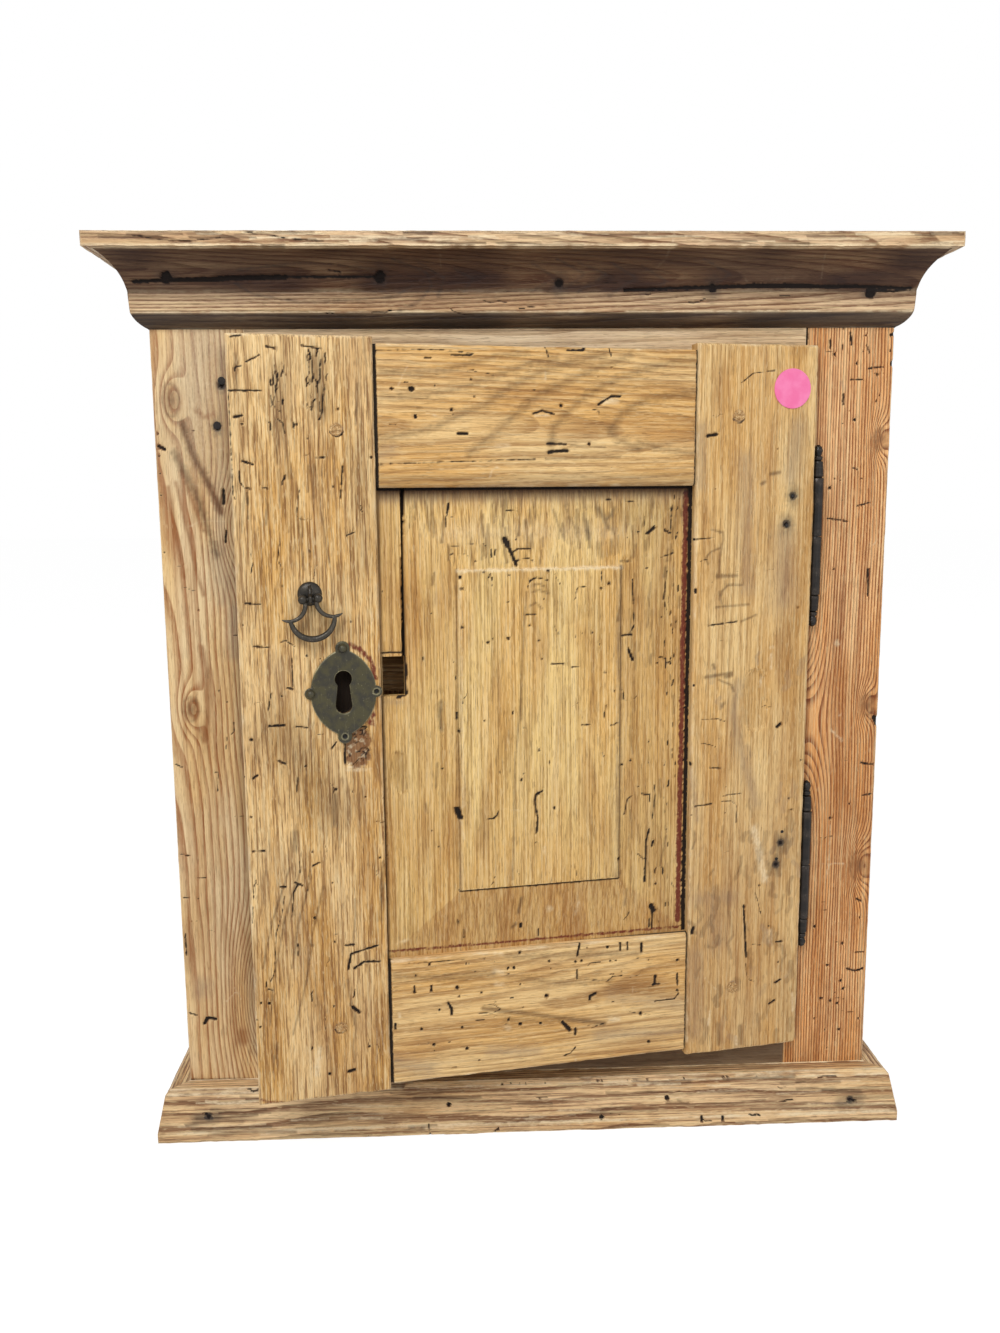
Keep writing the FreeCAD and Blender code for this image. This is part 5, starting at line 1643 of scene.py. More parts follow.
@dataclass
class Mouldings:
    """The cornice and the base moulding.

    Attributes:
        finishes: The finishes.
        seat: Where they stand.
        cornice_outline: The cornice's stops, each a projection and a height from the top.
        cornice_bulges: How far the middle of each of its spans is pushed out.
        cornice_zones: Layers that cover its heights from the top: layer, low, high and strength.
        base_outline: The base moulding's stops, each a projection and a height from the floor.
    """

    finishes: Finishes
    seat: Seat = Seat("cabinet")
    cornice_outline: tuple[Point, ...] = ((0, 0), (30, 0), (30, -8.5), (25.5, -8.5), (9.5, -31.6),
                                          (8.7, -44.6), (0, -53.4))
    cornice_bulges: tuple[float, ...] = (0.0, 0.0, 0.0, -3.0, 0.0, 1.2)
    # In the cove, -33 to -9 from the top, the grime, knot brown and light stain zones darken and warm it: part
    # dirt, part painted shade. Below the band, -60 to -45, the grime and heavy stain zones are a painted shadow
    # under the cornice.
    cornice_zones: tuple[tuple[Layer, float, float, float], ...] = (
        (Layer.GRIME, -33, -9, 1.0), (Layer.GRIME, -60, -44.8, 0.9), (Layer.WEAR, -43, -34, 0.3),
        (Layer.KNOT, -32, -9, 0.6), (Layer.STAIN, -32, -9, 0.12), (Layer.STAIN, -60, -45, 0.75))
    base_outline: tuple[Point, ...] = ((0, 36), (11.6, 36), (14, 33), (19.3, 7), (19.3, 0), (0, 0))

    def build(self) -> None:
        """Makes both mouldings from the carcass's box."""
        half = -float(self.seat.box("side_left")[0][0])
        depth = float(self.seat.box("back_board_1")[1][1])
        top = float(self.seat.box("top_board")[1][2])
        outline = [(out, top + up) for out, up in self.cornice_outline]
        zones = [(layer, top + low, top + high, strength)
                 for layer, low, high, strength in self.cornice_zones]
        Moulding("cornice", self.seat, outline, list(self.cornice_bulges), self.finishes.cornice,
                 "pine_cornice", Grain(2.6, (4, 36), 0.06, 0, 2.4, seed=31), self.cornice_marks(),
                 zones).build(half, depth)
        flat_spans = [0.0] * (len(self.base_outline) - 1)
        Moulding("base", self.seat, list(self.base_outline), flat_spans, self.finishes.base,
                 "pine_base", Grain(2.2, (-30, 70), 0.0, 0, 1.6, seed=36), self.base_marks(),
                 []).build(half, depth)

    def cornice_marks(self) -> Marks:
        """The cornice's cracks, nail stains and dark heart wood.

        Returns:
            The marks.
        """
        return [
            shade(Layer.GRIME, 6, 11, 0.78, -262, 568, 262, 568),
            CUT(2.6, (-245, 574, -180, 576, -150, 576.5), strength=1),
            CUT(1.2, (-150, 576.5, -96, 577), strength=1),
            CUT(2.2, (62, 569, 124, 571, 208, 571, 246, 570), strength=1),
            IRON(1.1, (-180, 580, -162, 582, -135, 584, -108, 582, -90, 580),
                 (-182, 573, -172, 567, -144, 562, -108, 563, -82, 566, -72, 572),
                 (-84, 586, -63, 579, -60, 572, -67, 563, -82, 556), (-68, 584, -52, 576, -56, 566),
                 (-45, 580, -34, 576, -40, 568), (2, 584, 18, 576, 2, 568), (18, 586, 36, 578, 18, 566),
                 (32, 584, 50, 578, 32, 568), (52, 584, 69, 576, 52, 566), (72, 582, 89, 574, 72, 566),
                 (110, 586, 128, 578, 112, 566), strength=0.55),
            LATE(4, (-158, 572, -112, 572), (208, 580, 242, 580)),
            nail(9, (220, 567)),
            nail(11, (-224, 576)),
            RUB(1.2, (-54, 588, -54, 580), (90, 600, 86, 586, 80, 580), (134, 579, 140, 574),
                (151, 574, 170, 577), (186, 589, 187, 576)),
            CUT(0.8, (-238, 597, -212, 594, -186, 596), (-174, 600, -149, 596, -124, 594),
                (-180, 576, -96, 576), (-88, 574, -6, 574), (-18, 574, 57, 573)),
            CUT(1.2, (-159, 564, -149, 564), (-124, 580, -116, 579)),
            CUT(1.7, (62, 569, 124, 570, 144, 572, 151, 572, 178, 572, 193, 570, 208, 571),
                (218, 569, 234, 568, 246, 570)),
            nail(8, (-92, 576), (20, 573), (118, 570)),
            CUT(5, (20, 573), (118, 570), strength=1),
            CUT(7, (-92, 576), (-224, 576), (220, 567), strength=1),
            Scatter(Layer.DARK, 10, (-245, 555, 245, 568), (3, 16), (-8, 8), (0.6, 1.2), 0.4, 33),
            # Pale and dark streaks along the fillet; the pale ones are wear and painted highlight both.
            Scatter(Layer.WEAR, 44, (-268, 591.5, 250, 600), (10, 50), (-2, 2), (0.6, 1.6), 0.0, 68, 0.01, 0.9),
            Scatter(Layer.GRIME, 34, (-268, 591.5, 250, 600), (10, 40), (-2, 2), (0.6, 1.4), 0.1, 69,
                    0.01, 0.7),
        ]

    def base_marks(self) -> Marks:
        """The base moulding's nail holes, stains and scratches.

        Returns:
            The marks.
        """
        return [
            GREY(3, (176, 43, 246, 41)),
            BROWN(1.2, (-234, 46, -186, 45), (103, 19, 110, 17)),
            nail(11, (-224, 18), (226, 16)),
            # Along the lower arris, near heights 6 to 10, the pale rubbed lines are wear and painted highlight
            # both.
            RUB(1.2, (-223, 37, -215, 38), (-220, 29, -216, 32), (-22, 6, 42, 6), (116, 25, 144, 26),
                (103, 10, 219, 10, 256, 8)),
            RUB(2.4, (-188, 6, -102, 8, -8, 7)),
            CUT(1.2, (-114, 1), (-62, 0)),
            CUT(1.7, (-72, 8, -71, -2), (-26, 1, -23, 4), (120, 8, 120, 4), (135, 7, 135, 4), (-20, 34)),
            CUT(1.3, *((x, 34) for x in (-14, -8, -4, 2, 10, 47, 50, 68, 75, 82, 98, 104, 108, 136, 139, 160))),
            IRON(8, (-232, 17, -219, 19), (219, 15, 233, 17), strength=0.45),
            CUT(4, (-58, 21), (96, 21), (49, 9)),
            CUT(3, (-226, 20), (229, 15)),
            Scatter(Layer.DARK, 12, (-250, 4, 250, 36), (3, 14), (-6, 6), (0.8, 1.4), 0.4, 37),
            Scatter(Layer.WEAR, 34, (-255, 2, 235, 36), (15, 60), (-3, 3), (0.8, 2.2), 0.0, 38, 0.02, 0.7),
            Scatter(Layer.GRIME, 40, (-255, 2, 235, 36), (15, 70), (-3, 3), (0.8, 2.4), 0.1, 39, 0.02, 0.6),
        ]


@dataclass
class Door:
    """The door's frame, its panel and its pegs, in the door's own turned frame.

    Attributes:
        finishes: The finishes.
        seat: The door's seat.
        lip_back: The back of the lip that laps over the opening.
        tongue_inset: How far the part behind the lip stands in from the door's edges.
        tongue_gap: The gap above and below it.
        overlap: How far the two are sunk into one another.
    """

    finishes: Finishes
    seat: Seat = Seat("door", HINGE_AXIS, DOOR_AJAR)
    lip_back: float = 5.0
    tongue_inset: float = 5.0
    tongue_gap: float = 1.5
    overlap: float = 0.5

    def build(self) -> None:
        """Makes the stiles, rails and panel, and dresses the pegs."""
        left_low, left_high = self.seat.box("door_stile_left")
        right_low, right_high = self.seat.box("door_stile_right")
        cabinet = Seat("cabinet")
        sill = float(cabinet.box("face_rail_bottom")[1][2]) + self.tongue_gap
        head = float(cabinet.box("face_rail_top")[0][2]) - self.tongue_gap
        self.stile("door_stile_left", left_low, left_high, (sill, head), True)
        self.stile("door_stile_right", right_low, right_high, (sill, head), False)
        for name in ("door_rail_top", "door_rail_bottom"):
            low, high = self.seat.box(name)
            low[0], high[0] = left_high[0], right_low[0]
            self.rail(name, low, high, (sill, head))
        top = float(self.seat.box("door_rail_top")[0][2])
        bottom = float(self.seat.box("door_rail_bottom")[1][2])
        Panel(self.seat, self.finishes.panel, float(left_high[0]), bottom, float(right_low[0]), top).build()
        dress("door_pegs", self.finishes.pegs)

    def stile(self, name: str, low: np.ndarray, high: np.ndarray, span: Point, left: bool) -> None:
        """Makes a stile: its front with the lip, and the narrower tongue behind it.

        Args:
            name: The frame node.
            low: Its lowest corner.
            high: Its highest corner.
            span: The tongue's lowest and highest height.
            left: Whether it is the left stile.
        """
        back = float(high[1])
        grain = (Grain(3.9, (-14, 40), 0.03, 250, 6.0, seed=41) if left
                 else Grain(3.2, (30, 75), 0.01, 200, 1.8, seed=42))
        lip = Board(tuple(low), (high[0], self.lip_back, high[2]), Run.UPRIGHT, grain,
                    self.left_marks() if left else self.right_marks(), edge=2.2, pitch=0.9, waves=0.4)
        inner = (low[0] + self.tongue_inset, high[0]) if left else (low[0], high[0] - self.tongue_inset)
        tongue = plain((inner[0], self.lip_back - self.overlap, span[0]), (inner[1], back, span[1]),
                       Run.UPRIGHT, grain)
        finish = self.finishes.door_left if left else self.finishes.door_right
        self.seat.make(f"{name}_wood", [lip.shell(), tongue], finish, [name], "pine_door")

    def rail(self, name: str, low: np.ndarray, high: np.ndarray, span: Point) -> None:
        """Makes a rail between the stiles, with its tongue behind it.

        Args:
            name: The frame node.
            low: Its lowest corner.
            high: Its highest corner.
            span: The door's tongue's lowest and highest height.
        """
        top = name == "door_rail_top"
        grain = (Grain(3.6, (-6, 24), 0.05, -190, 3.2, seed=43) if top
                 else Grain(3.4, (4, 30), -0.04, -180, 3.0, seed=44))
        marks = self.top_marks() if top else self.bottom_marks()
        lip = Board(tuple(low), (high[0], self.lip_back, high[2]), Run.ACROSS, grain, marks, edge=2.0,
                    pitch=0.95, waves=0.35)
        tongue_low = (low[0], self.lip_back - self.overlap, max(float(low[2]), span[0]))
        tongue_high = (high[0], float(high[1]), min(float(high[2]), span[1]))
        tongue = plain(tongue_low, tongue_high, Run.ACROSS, grain)
        self.seat.make(f"{name}_wood", [lip.shell(), tongue], self.finishes.door_rails, [name],
                       "pine_door")

    def left_marks(self) -> Marks:
        """The left stile: worm channels, the keyhole's recess painted near black as shade, the gouge and old
        red paint.

        Returns:
            The marks.
        """
        return [
            # The keyhole's recess: sunk, and painted near black as the shade inside it.
            Mark(Layer.DARK, ((-313.6, 331), (-313.6, 315)), 12.5, 9.0, 0.5),
            Mark(Layer.DARK, ((-332, 383.6),), 3.0, 3.0),
            Mark(Layer.KNOT, ((-306, 293), (-306, 282)), 15, 1.8, 1.2, 0.8, ragged=1.8),
            Mark(Layer.GRIME, ((-306, 293), (-306, 282)), 15, 0.0, 1.2, 0.35, ragged=1.8),
            Mark(Layer.GREY, ((-306, 293), (-306, 282)), 15, 0.0, 1.2, 0.5, ragged=1.8),
            Scatter(Layer.DARK, 26, (-312, 276, -300, 299), (1, 3), (0, 180), (0.8, 1.3), 0.8, 50),
            Scatter(Layer.WEAR, 24, (-312, 274, -300, 299), (1, 3), (0, 180), (0.9, 1.6), 0.0, 49),
            shade(Layer.GRIME, 8, 18, 0.4, -334, 362, -314, 362),
            shade(Layer.GREY, 10, 20, 0.5, -352, 342, -348, 322),
            CUT(1.8, (-313.5, 299, -314, 278), (-312, 301, -300, 300.5), strength=0.8),
            RUB(2.6, (-313, 274, -299, 273.5)),
            shade(Layer.GREY, 14, 22, 0.4, -360, 225, -345, 150),
            shade(Layer.GRIME, 16, 34, 0.5, -350, 300, -325, 250),
            shade(Layer.KNOT, 60, 60, 0.16, -332, 170, -332, 70),
            shade(Layer.GRIME, 8, 10, 0.4, -345, 515, -345, 480),
            shade(Layer.GRIME, 9, 8, 0.5, -324, 520, -321, 490),
            shade(Layer.GRIME, 8, 16, 0.3, -300, 470, -298, 400),
            BROWN(1.2, (-292, 214, -294, 196, -294, 174)),
            BROWN(3, (-338, 162)),
            RED(1, (-290, 262, -292, 245, -291, 203)),
            RED(2, (-300, 316, -295, 300)),
            RED(4, (-298, 303, -296, 308), (-309, 352, -303, 349, -296, 341, -294, 331), strength=0.75),
            IRON(4, (-321, 258, -322, 240), (-346, 236, -346, 226), strength=0.4),
            Scatter(Layer.DARK, 16, (-331, 490, -318, 524), (2, 8), (75, 105), (0.7, 1.4), 0.6, 60),
            Scatter(Layer.DARK, 12, (-351, 476, -341, 512), (2, 8), (75, 105), (0.7, 1.4), 0.6, 61),
            BROWN(1.1, (-343, 214, -354, 182, -361, 150, -366, 112), (-337, 208, -346, 178, -351, 148),
                  (-350, 214, -362, 180, -369, 150), (-330, 200, -338, 168, -342, 140, -352, 104)),
            peg(10, (-322, 105)),
            peg(11, (-313, 480)),
            RUB(5, (-336, 92, -338, 75)),
            CUT(0.8, (-345, 516, -348, 498, -348, 492, -345, 490),
                (-328, 520, -328, 512, -330, 508, -328, 506), (-326, 520, -326, 507),
                (-374, 500, -374, 442, -373, 440), (-366, 444, -366, 428),
                (-336, 446, -338, 430, -336, 428, -330, 428), (-348, 418, -350, 404, -348, 400, -348, 388),
                (-331, 410, -331, 394), (-366, 409, -364, 404, -366, 396), (-344, 345, -344, 328),
                (-378, 313, -382, 236), (-288, 315, -288, 299, -290, 290), (-338, 212, -340, 197),
                (-344, 218, -344, 210), (-354, 196, -356, 184, -360, 172, -362, 146, -365, 140),
                (-372, 205, -374, 180)),
            CUT(1.2, (-372, 532, -366, 533), (-352, 527, -347, 526), (-332, 528, -320, 526),
                (-370, 513, -370, 515, -366, 516), (-364, 518, -356, 522), (-374, 502, -356, 502),
                (-368, 483, -366, 483), (-347, 486, -344, 484, -343, 478), (-321, 520, -322, 506),
                (-320, 504, -321, 490, -323, 486), (-338, 484, -338, 481), (-326, 464, -320, 464),
                (-370, 456, -370, 450, -368, 447, -364, 446), (-358, 447, -354, 446), (-310, 459, -312, 440),
                (-309, 418, -304, 420), (-370, 379, -361, 378), (-366, 353, -357, 352),
                (-350, 355, -347, 356, -342, 352), (-357, 324, -359, 314), (-343, 303, -336, 302),
                (-322, 288, -319, 292), (-343, 271, -344, 262), (-372, 226, -365, 226),
                (-336, 214, -332, 216), (-336, 214, -331, 216), (-346, 202, -348, 198, -350, 181),
                (-366, 136, -364, 135), (-347, 164, -347, 156), (-341, 92, -340, 94)),
            CUT(1.7, (-372, 487, -367, 488), (-368, 462, -362, 460), (-330, 475), (-312, 492), (-336, 483),
                (-316, 447), (-344, 452), (-293, 464), (-347, 327, -344, 326), (-359, 304, -350, 304),
                (-351, 322), (-335, 346), (-327, 344), (-308, 366), (-326, 356), (-372, 366), (-375, 273),
                (-338, 278), (-310, 260), (-372, 248), (-336, 223), (-294, 216), (-302, 256),
                (-354, 282, -350, 280), (-370, 272, -367, 274), (-347, 204, -343, 202),
                (-356, 202, -353, 202), (-371, 127), (-374, 116), (-372, 111), (-323, 168), (-324, 163),
                (-324, 202), (-326, 120), (-304, 90), (-317, 160, -312, 160),
                (-297, 158, -314, 154, -316, 144), (-296, 147, -306, 148, -312, 144)),
            CUT(2.4, (-370, 296), (-320, 262), (-376, 339, -378, 320), (-366, 126), (-336, 180), (-330, 74),
                (-314, 118, -310, 114), (-318, 74, -314, 75)),
            Scatter(Layer.DARK, 16, (-372, 60, -292, 530), (3, 9), (70, 110), (0.5, 1.0), 0.5, 51),
            Scatter(Layer.DARK, 10, (-372, 60, -292, 530), (2, 7), (-12, 12), (0.4, 0.7), 0.35, 52),
            Scatter(Layer.GRIME, 60, (-373, 58, -292, 510), (10, 44), (82, 98), (0.7, 1.7), 0.0, 63,
                    0.03, 0.42),
            Scatter(Layer.WEAR, 44, (-373, 58, -292, 510), (8, 36), (82, 98), (0.7, 1.6), 0.0, 64, 0.03, 0.5),
            RED(3, (-374, 62, -370, 60, -360, 59)),
        ]

    def right_marks(self) -> Marks:
        """The right stile: scratches across the grain, grey bands and the leaf nails.

        Returns:
            The marks.
        """
        return [
            shade(Layer.WEAR, 50, 60, 0.3, -45, 530, -45, 440),
            shade(Layer.KNOT, 70, 110, 0.46, -45, 190, -45, 60),
            shade(Layer.KNOT, 12, 44, 0.3, -20, 400, -24, 60),
            Scatter(Layer.GRIME, 46, (-84, 58, -8, 230), (4, 16), (65, 115), (1.5, 4.5), 0.0, 62, 0.2, 0.34),
            Scatter(Layer.GREY, 24, (-84, 58, -8, 330), (5, 18), (65, 115), (2, 5), 0.0, 65, 0.2, 0.45),
            GREY(3, (-55, 320, -52, 316, -52, 309)),
            GREY(5, (-88, 264, -82, 226)),
            GREY(9, (-84, 482, -84, 446), (-55, 316, -58, 298, -54, 277, -40, 234)),
            GREY(14, (-80, 170, -58, 169)),
            GREY(14, (-54, 462, -50, 380), (-18, 483, -22, 452), (-81, 130, -81, 74)),
            GREY(20, (-70, 166, -66, 139)),
            GREY(20, (-26, 413, -24, 372)),
            BROWN(1.2, (-76, 418, -68, 416, -68, 412, -70, 399, -70, 388),
                  (-70, 406, -76, 404, -78, 402, -80, 399, -78, 396),
                  (-54, 382, -64, 382, -68, 378, -69, 373), (-70, 378, -68, 370), (-72, 368, -49, 369),
                  (-54, 358, -44, 362), (-69, 320, -60, 316, -58, 312), (-84, 218, -83, 212, -85, 206),
                  (-50, 198, -50, 192, -52, 186)),
            BROWN(2.2, (-62, 140, -68, 134, -74, 136), (-73, 174, -66, 168, -68, 156, -72, 150),
                  (-58, 173, -58, 160, -54, 142), strength=0.25),
            BROWN(2.2, (-36, 453, -30, 454), (-42, 447, -40, 448), (-68, 388, -58, 388), (-73, 330, -72, 328),
                  (-78, 322, -60, 324), (-66, 302, -65, 304)),
            BROWN(3, (-64, 78, -63, 63), strength=0.4),
            BROWN(3, (-71, 388, -68, 388), (-64, 322, -60, 323)),
            BROWN(4, (-47, 74, -46, 62), strength=0.35),
            BROWN(15, (-42, 318, -42, 292), strength=0.12),
            nail(7, (-20, 439), (-24, 421), (-21, 205), (-24, 190)),
            peg(8, (-54, 106)),
            peg(11, (-59, 489)),
            RUB(1.2, (-34, 298), (-39, 294, -38, 292), (-74, 113, -70, 108, -66, 104)),
            RUB(2.4, (-32, 335, -32, 326), (-38, 320, -39, 314), (-33, 340, -31, 340), (-9, 95, -8, 82),
                (-70, 88, -71, 78), (-50, 67, -50, 62)),
            RUB(6, (-27, 142, -27, 136), strength=0.5),
            RUB(7, (-41, 217, -32, 180)),
            CUT(0.8, (-58, 510, -50, 516, -35, 518), (-86, 412, -74, 413), (-80, 294, -70, 294, -64, 292),
                (-80, 278, -72, 276), (-64, 241, -51, 242), (-65, 237, -58, 237, -54, 234, -54, 222),
                (-39, 172, -34, 155), (-44, 120, -43, 111, -41, 108, -38, 107), (-40, 134, -34, 133)),
            CUT(1.2, (-32, 469), (-74, 444), (-73, 516), (-75, 384), (-77, 356, -57, 358), (-70, 275),
                (-68, 280), (-88, 304), (-62, 247), (-62, 229), (-86, 229), (-74, 261, -66, 260),
                (-84, 235, -72, 236)),
            CUT(1.7, (-87, 412), (-86, 380, -86, 378), (-14, 366), (-86, 317), (-8, 262), (-88, 280),
                (-16, 236), (-14, 228), (-47, 163, -44, 125), (-22, 134, -18, 134), (-20, 119), (-36, 176),
                (-28, 146), (-22, 104, -18, 106), (-26, 89, -22, 91)),
            CUT(2.4, (-80, 477, -74, 478), (-26, 286, -24, 288), (-83, 150, -84, 146)),
            CUT(4, (-88, 264)),
            Scatter(Layer.DARK, 8, (-85, 60, -7, 530), (3, 11), (-8, 8), (0.35, 0.6), 0.25, 53),
        ]

    def joints(self, low: float, high: float) -> list[Mark]:
        """Dark lines where a rail meets the stiles, between two heights."""
        return (CUT(2.2, (-289.8, low, -289.8, high), strength=0.95)
                + CUT(1.6, (-87.6, low, -87.6, high), strength=0.85))

    def top_marks(self) -> Marks:
        """The top rail: a long crack, worm holes and grey bands.

        Returns:
            The marks.
        """
        return [
            self.joints(446, 530),
            BROWN(8, (-290, 449, -87, 449), strength=0.3),
            BAND(3, (-286, 514, -262, 513, -240, 517, -216, 524, -198, 526),
                 (-286, 499, -263, 500, -238, 505, -192, 521, -179, 523), (-126, 473, -110, 469, -90, 466)),
            BAND(4, (-287, 475, -270, 478, -253, 482, -238, 490, -224, 495, -208, 506, -186, 516,
                     -166, 522, -148, 526),
                 (-234, 466, -216, 480, -192, 500, -172, 510, -132, 526),
                 (-182, 472, -181, 482, -162, 500, -146, 509, -125, 517, -104, 522, -90, 523),
                 (-126, 469, -141, 476, -145, 480, -137, 490, -125, 498, -90, 504)),
            GREY(9, (-288, 466, -281, 468)),
            BROWN(1.2, (-288, 450, -244, 447, -206, 450, -166, 448, -90, 450), strength=0.35),
            BROWN(1.2, (-170, 471, -148, 470), (-186, 463, -138, 464)),
            RUB(1.2, (-270, 517, -272, 514, -276, 506), (-260, 490, -250, 488),
                (-216, 458, -220, 456, -221, 452), (-128, 534, -125, 530)),
            RUB(2.4, (-192, 489, -184, 489), (-186, 514, -186, 511)),
            RUB(5, (-148, 498, -141, 498)),
            RUB(6, (-216, 471, -210, 471), strength=0.4),
            CUT(0.8, (-288, 526, -251, 527, -230, 525), (-156, 493, -152, 492, -152, 490),
                (-288, 460, -186, 463)),
            CUT(1.2, (-260, 522, -256, 522), (-244, 524, -232, 524), (-186, 530, -184, 524),
                (-146, 531, -144, 525)),
            CUT(1.7, (-172, 528, -162, 528, -161, 530), (-254, 506), (-230, 500), (-144, 518), (-232, 510),
                (-194, 490, -188, 492, -181, 490), (-152, 496, -144, 501, -138, 501), (-185, 472, -173, 472)),
            CUT(2.4, (-280, 504), (-244, 492), (-266, 488), (-176, 495), (-158, 472), (-240, 478, -235, 478),
                (-184, 467, -172, 468)),
            CUT(4, (-268, 504)),
            Scatter(Layer.DARK, 8, (-288, 450, -90, 526), (1, 6), (-10, 10), (0.5, 0.9), 0.5, 54),
        ]

    def bottom_marks(self) -> Marks:
        """The bottom rail: a worn upper edge and many worm holes.

        Returns:
            The marks.
        """
        return [
            self.joints(62, 146.5),
            BAND(3, (-212, 128, -176, 120, -142, 118), (-214, 98, -193, 96, -174, 95),
                 (-212, 142, -122, 136)),
            BAND(4, (-286, 136, -250, 132, -222, 132)),
            GREY(9, (-150, 80, -90, 76), (-224, 77, -193, 74), (-142, 106, -93, 97)),
            GREY(14, (-288, 78, -266, 70)),
            BROWN(3, (-229, 108, -146, 88)),
            RUB(1.2, (-126, 112, -126, 108)),
            RUB(2.4, (-289, 148, -94, 148), (-229, 146, -216, 145), (-284, 110, -284, 108), (-166, 64)),
            RUB(5, (-220, 124, -216, 123), (-214, 93, -212, 92), strength=0.5),
            RUB(5, (-221, 133, -216, 132), strength=0.6),
            RUB(5, (-142, 90, -136, 90)),
            CUT(0.8, (-278, 144, -240, 143), (-234, 100, -228, 100), (-158, 130, -156, 132, -149, 132),
                (-154, 120, -144, 118, -140, 121, -134, 121), (-128, 119, -122, 120, -120, 122),
                (-128, 94, -114, 91), (-155, 86, -146, 88),
                (-228, 110, -222, 110, -217, 106, -223, 104, -232, 105)),
            CUT(1.2, (-260, 140), (-238, 140), (-221, 140), (-212, 130), (-234, 134), (-212, 124),
                (-183, 131), (-196, 128), (-286, 126), (-272, 88), (-134, 124), (-124, 108), (-158, 143),
                (-110, 100, -96, 100, -93, 104), (-174, 68, -170, 69, -166, 73)),
            CUT(1.7, (-273, 135), (-264, 142), (-240, 140), (-204, 122), (-245, 118), (-230, 119), (-262, 82),
                (-232, 72), (-142, 132), (-138, 132), (-115, 130), (-228, 142), (-274, 128, -274, 124),
                (-263, 127, -263, 124), (-287, 104, -287, 100), (-166, 87, -166, 82), (-163, 146, -165, 138),
                (-135, 144, -135, 139), (-130, 144, -130, 139), (-165, 128, -165, 122),
                (-112, 112, -107, 112), (-94, 118, -94, 110)),
            CUT(2.4, (-212, 134), (-208, 134), (-184, 136), (-243, 96), (-262, 86), (-240, 81), (-114, 71),
                (-258, 110), (-144, 142), (-204, 144), (-274, 124), (-263, 124), (-270, 98), (-212, 98),
                (-166, 134), (-162, 134), (-94, 128), (-94, 106), (-190, 93),
                (-252, 114, -250, 110, -250, 106), (-120, 142, -120, 137), (-156, 106, -156, 108, -152, 110),
                (-110, 118, -110, 112)),
            CUT(3, (-246, 124), (-186, 112), (-204, 94), (-120, 92), (-175, 92, -170, 86)),
            Scatter(Layer.DARK, 14, (-288, 66, -90, 142), (0.5, 4), (-20, 20), (0.6, 1.1), 0.6, 55),
        ]


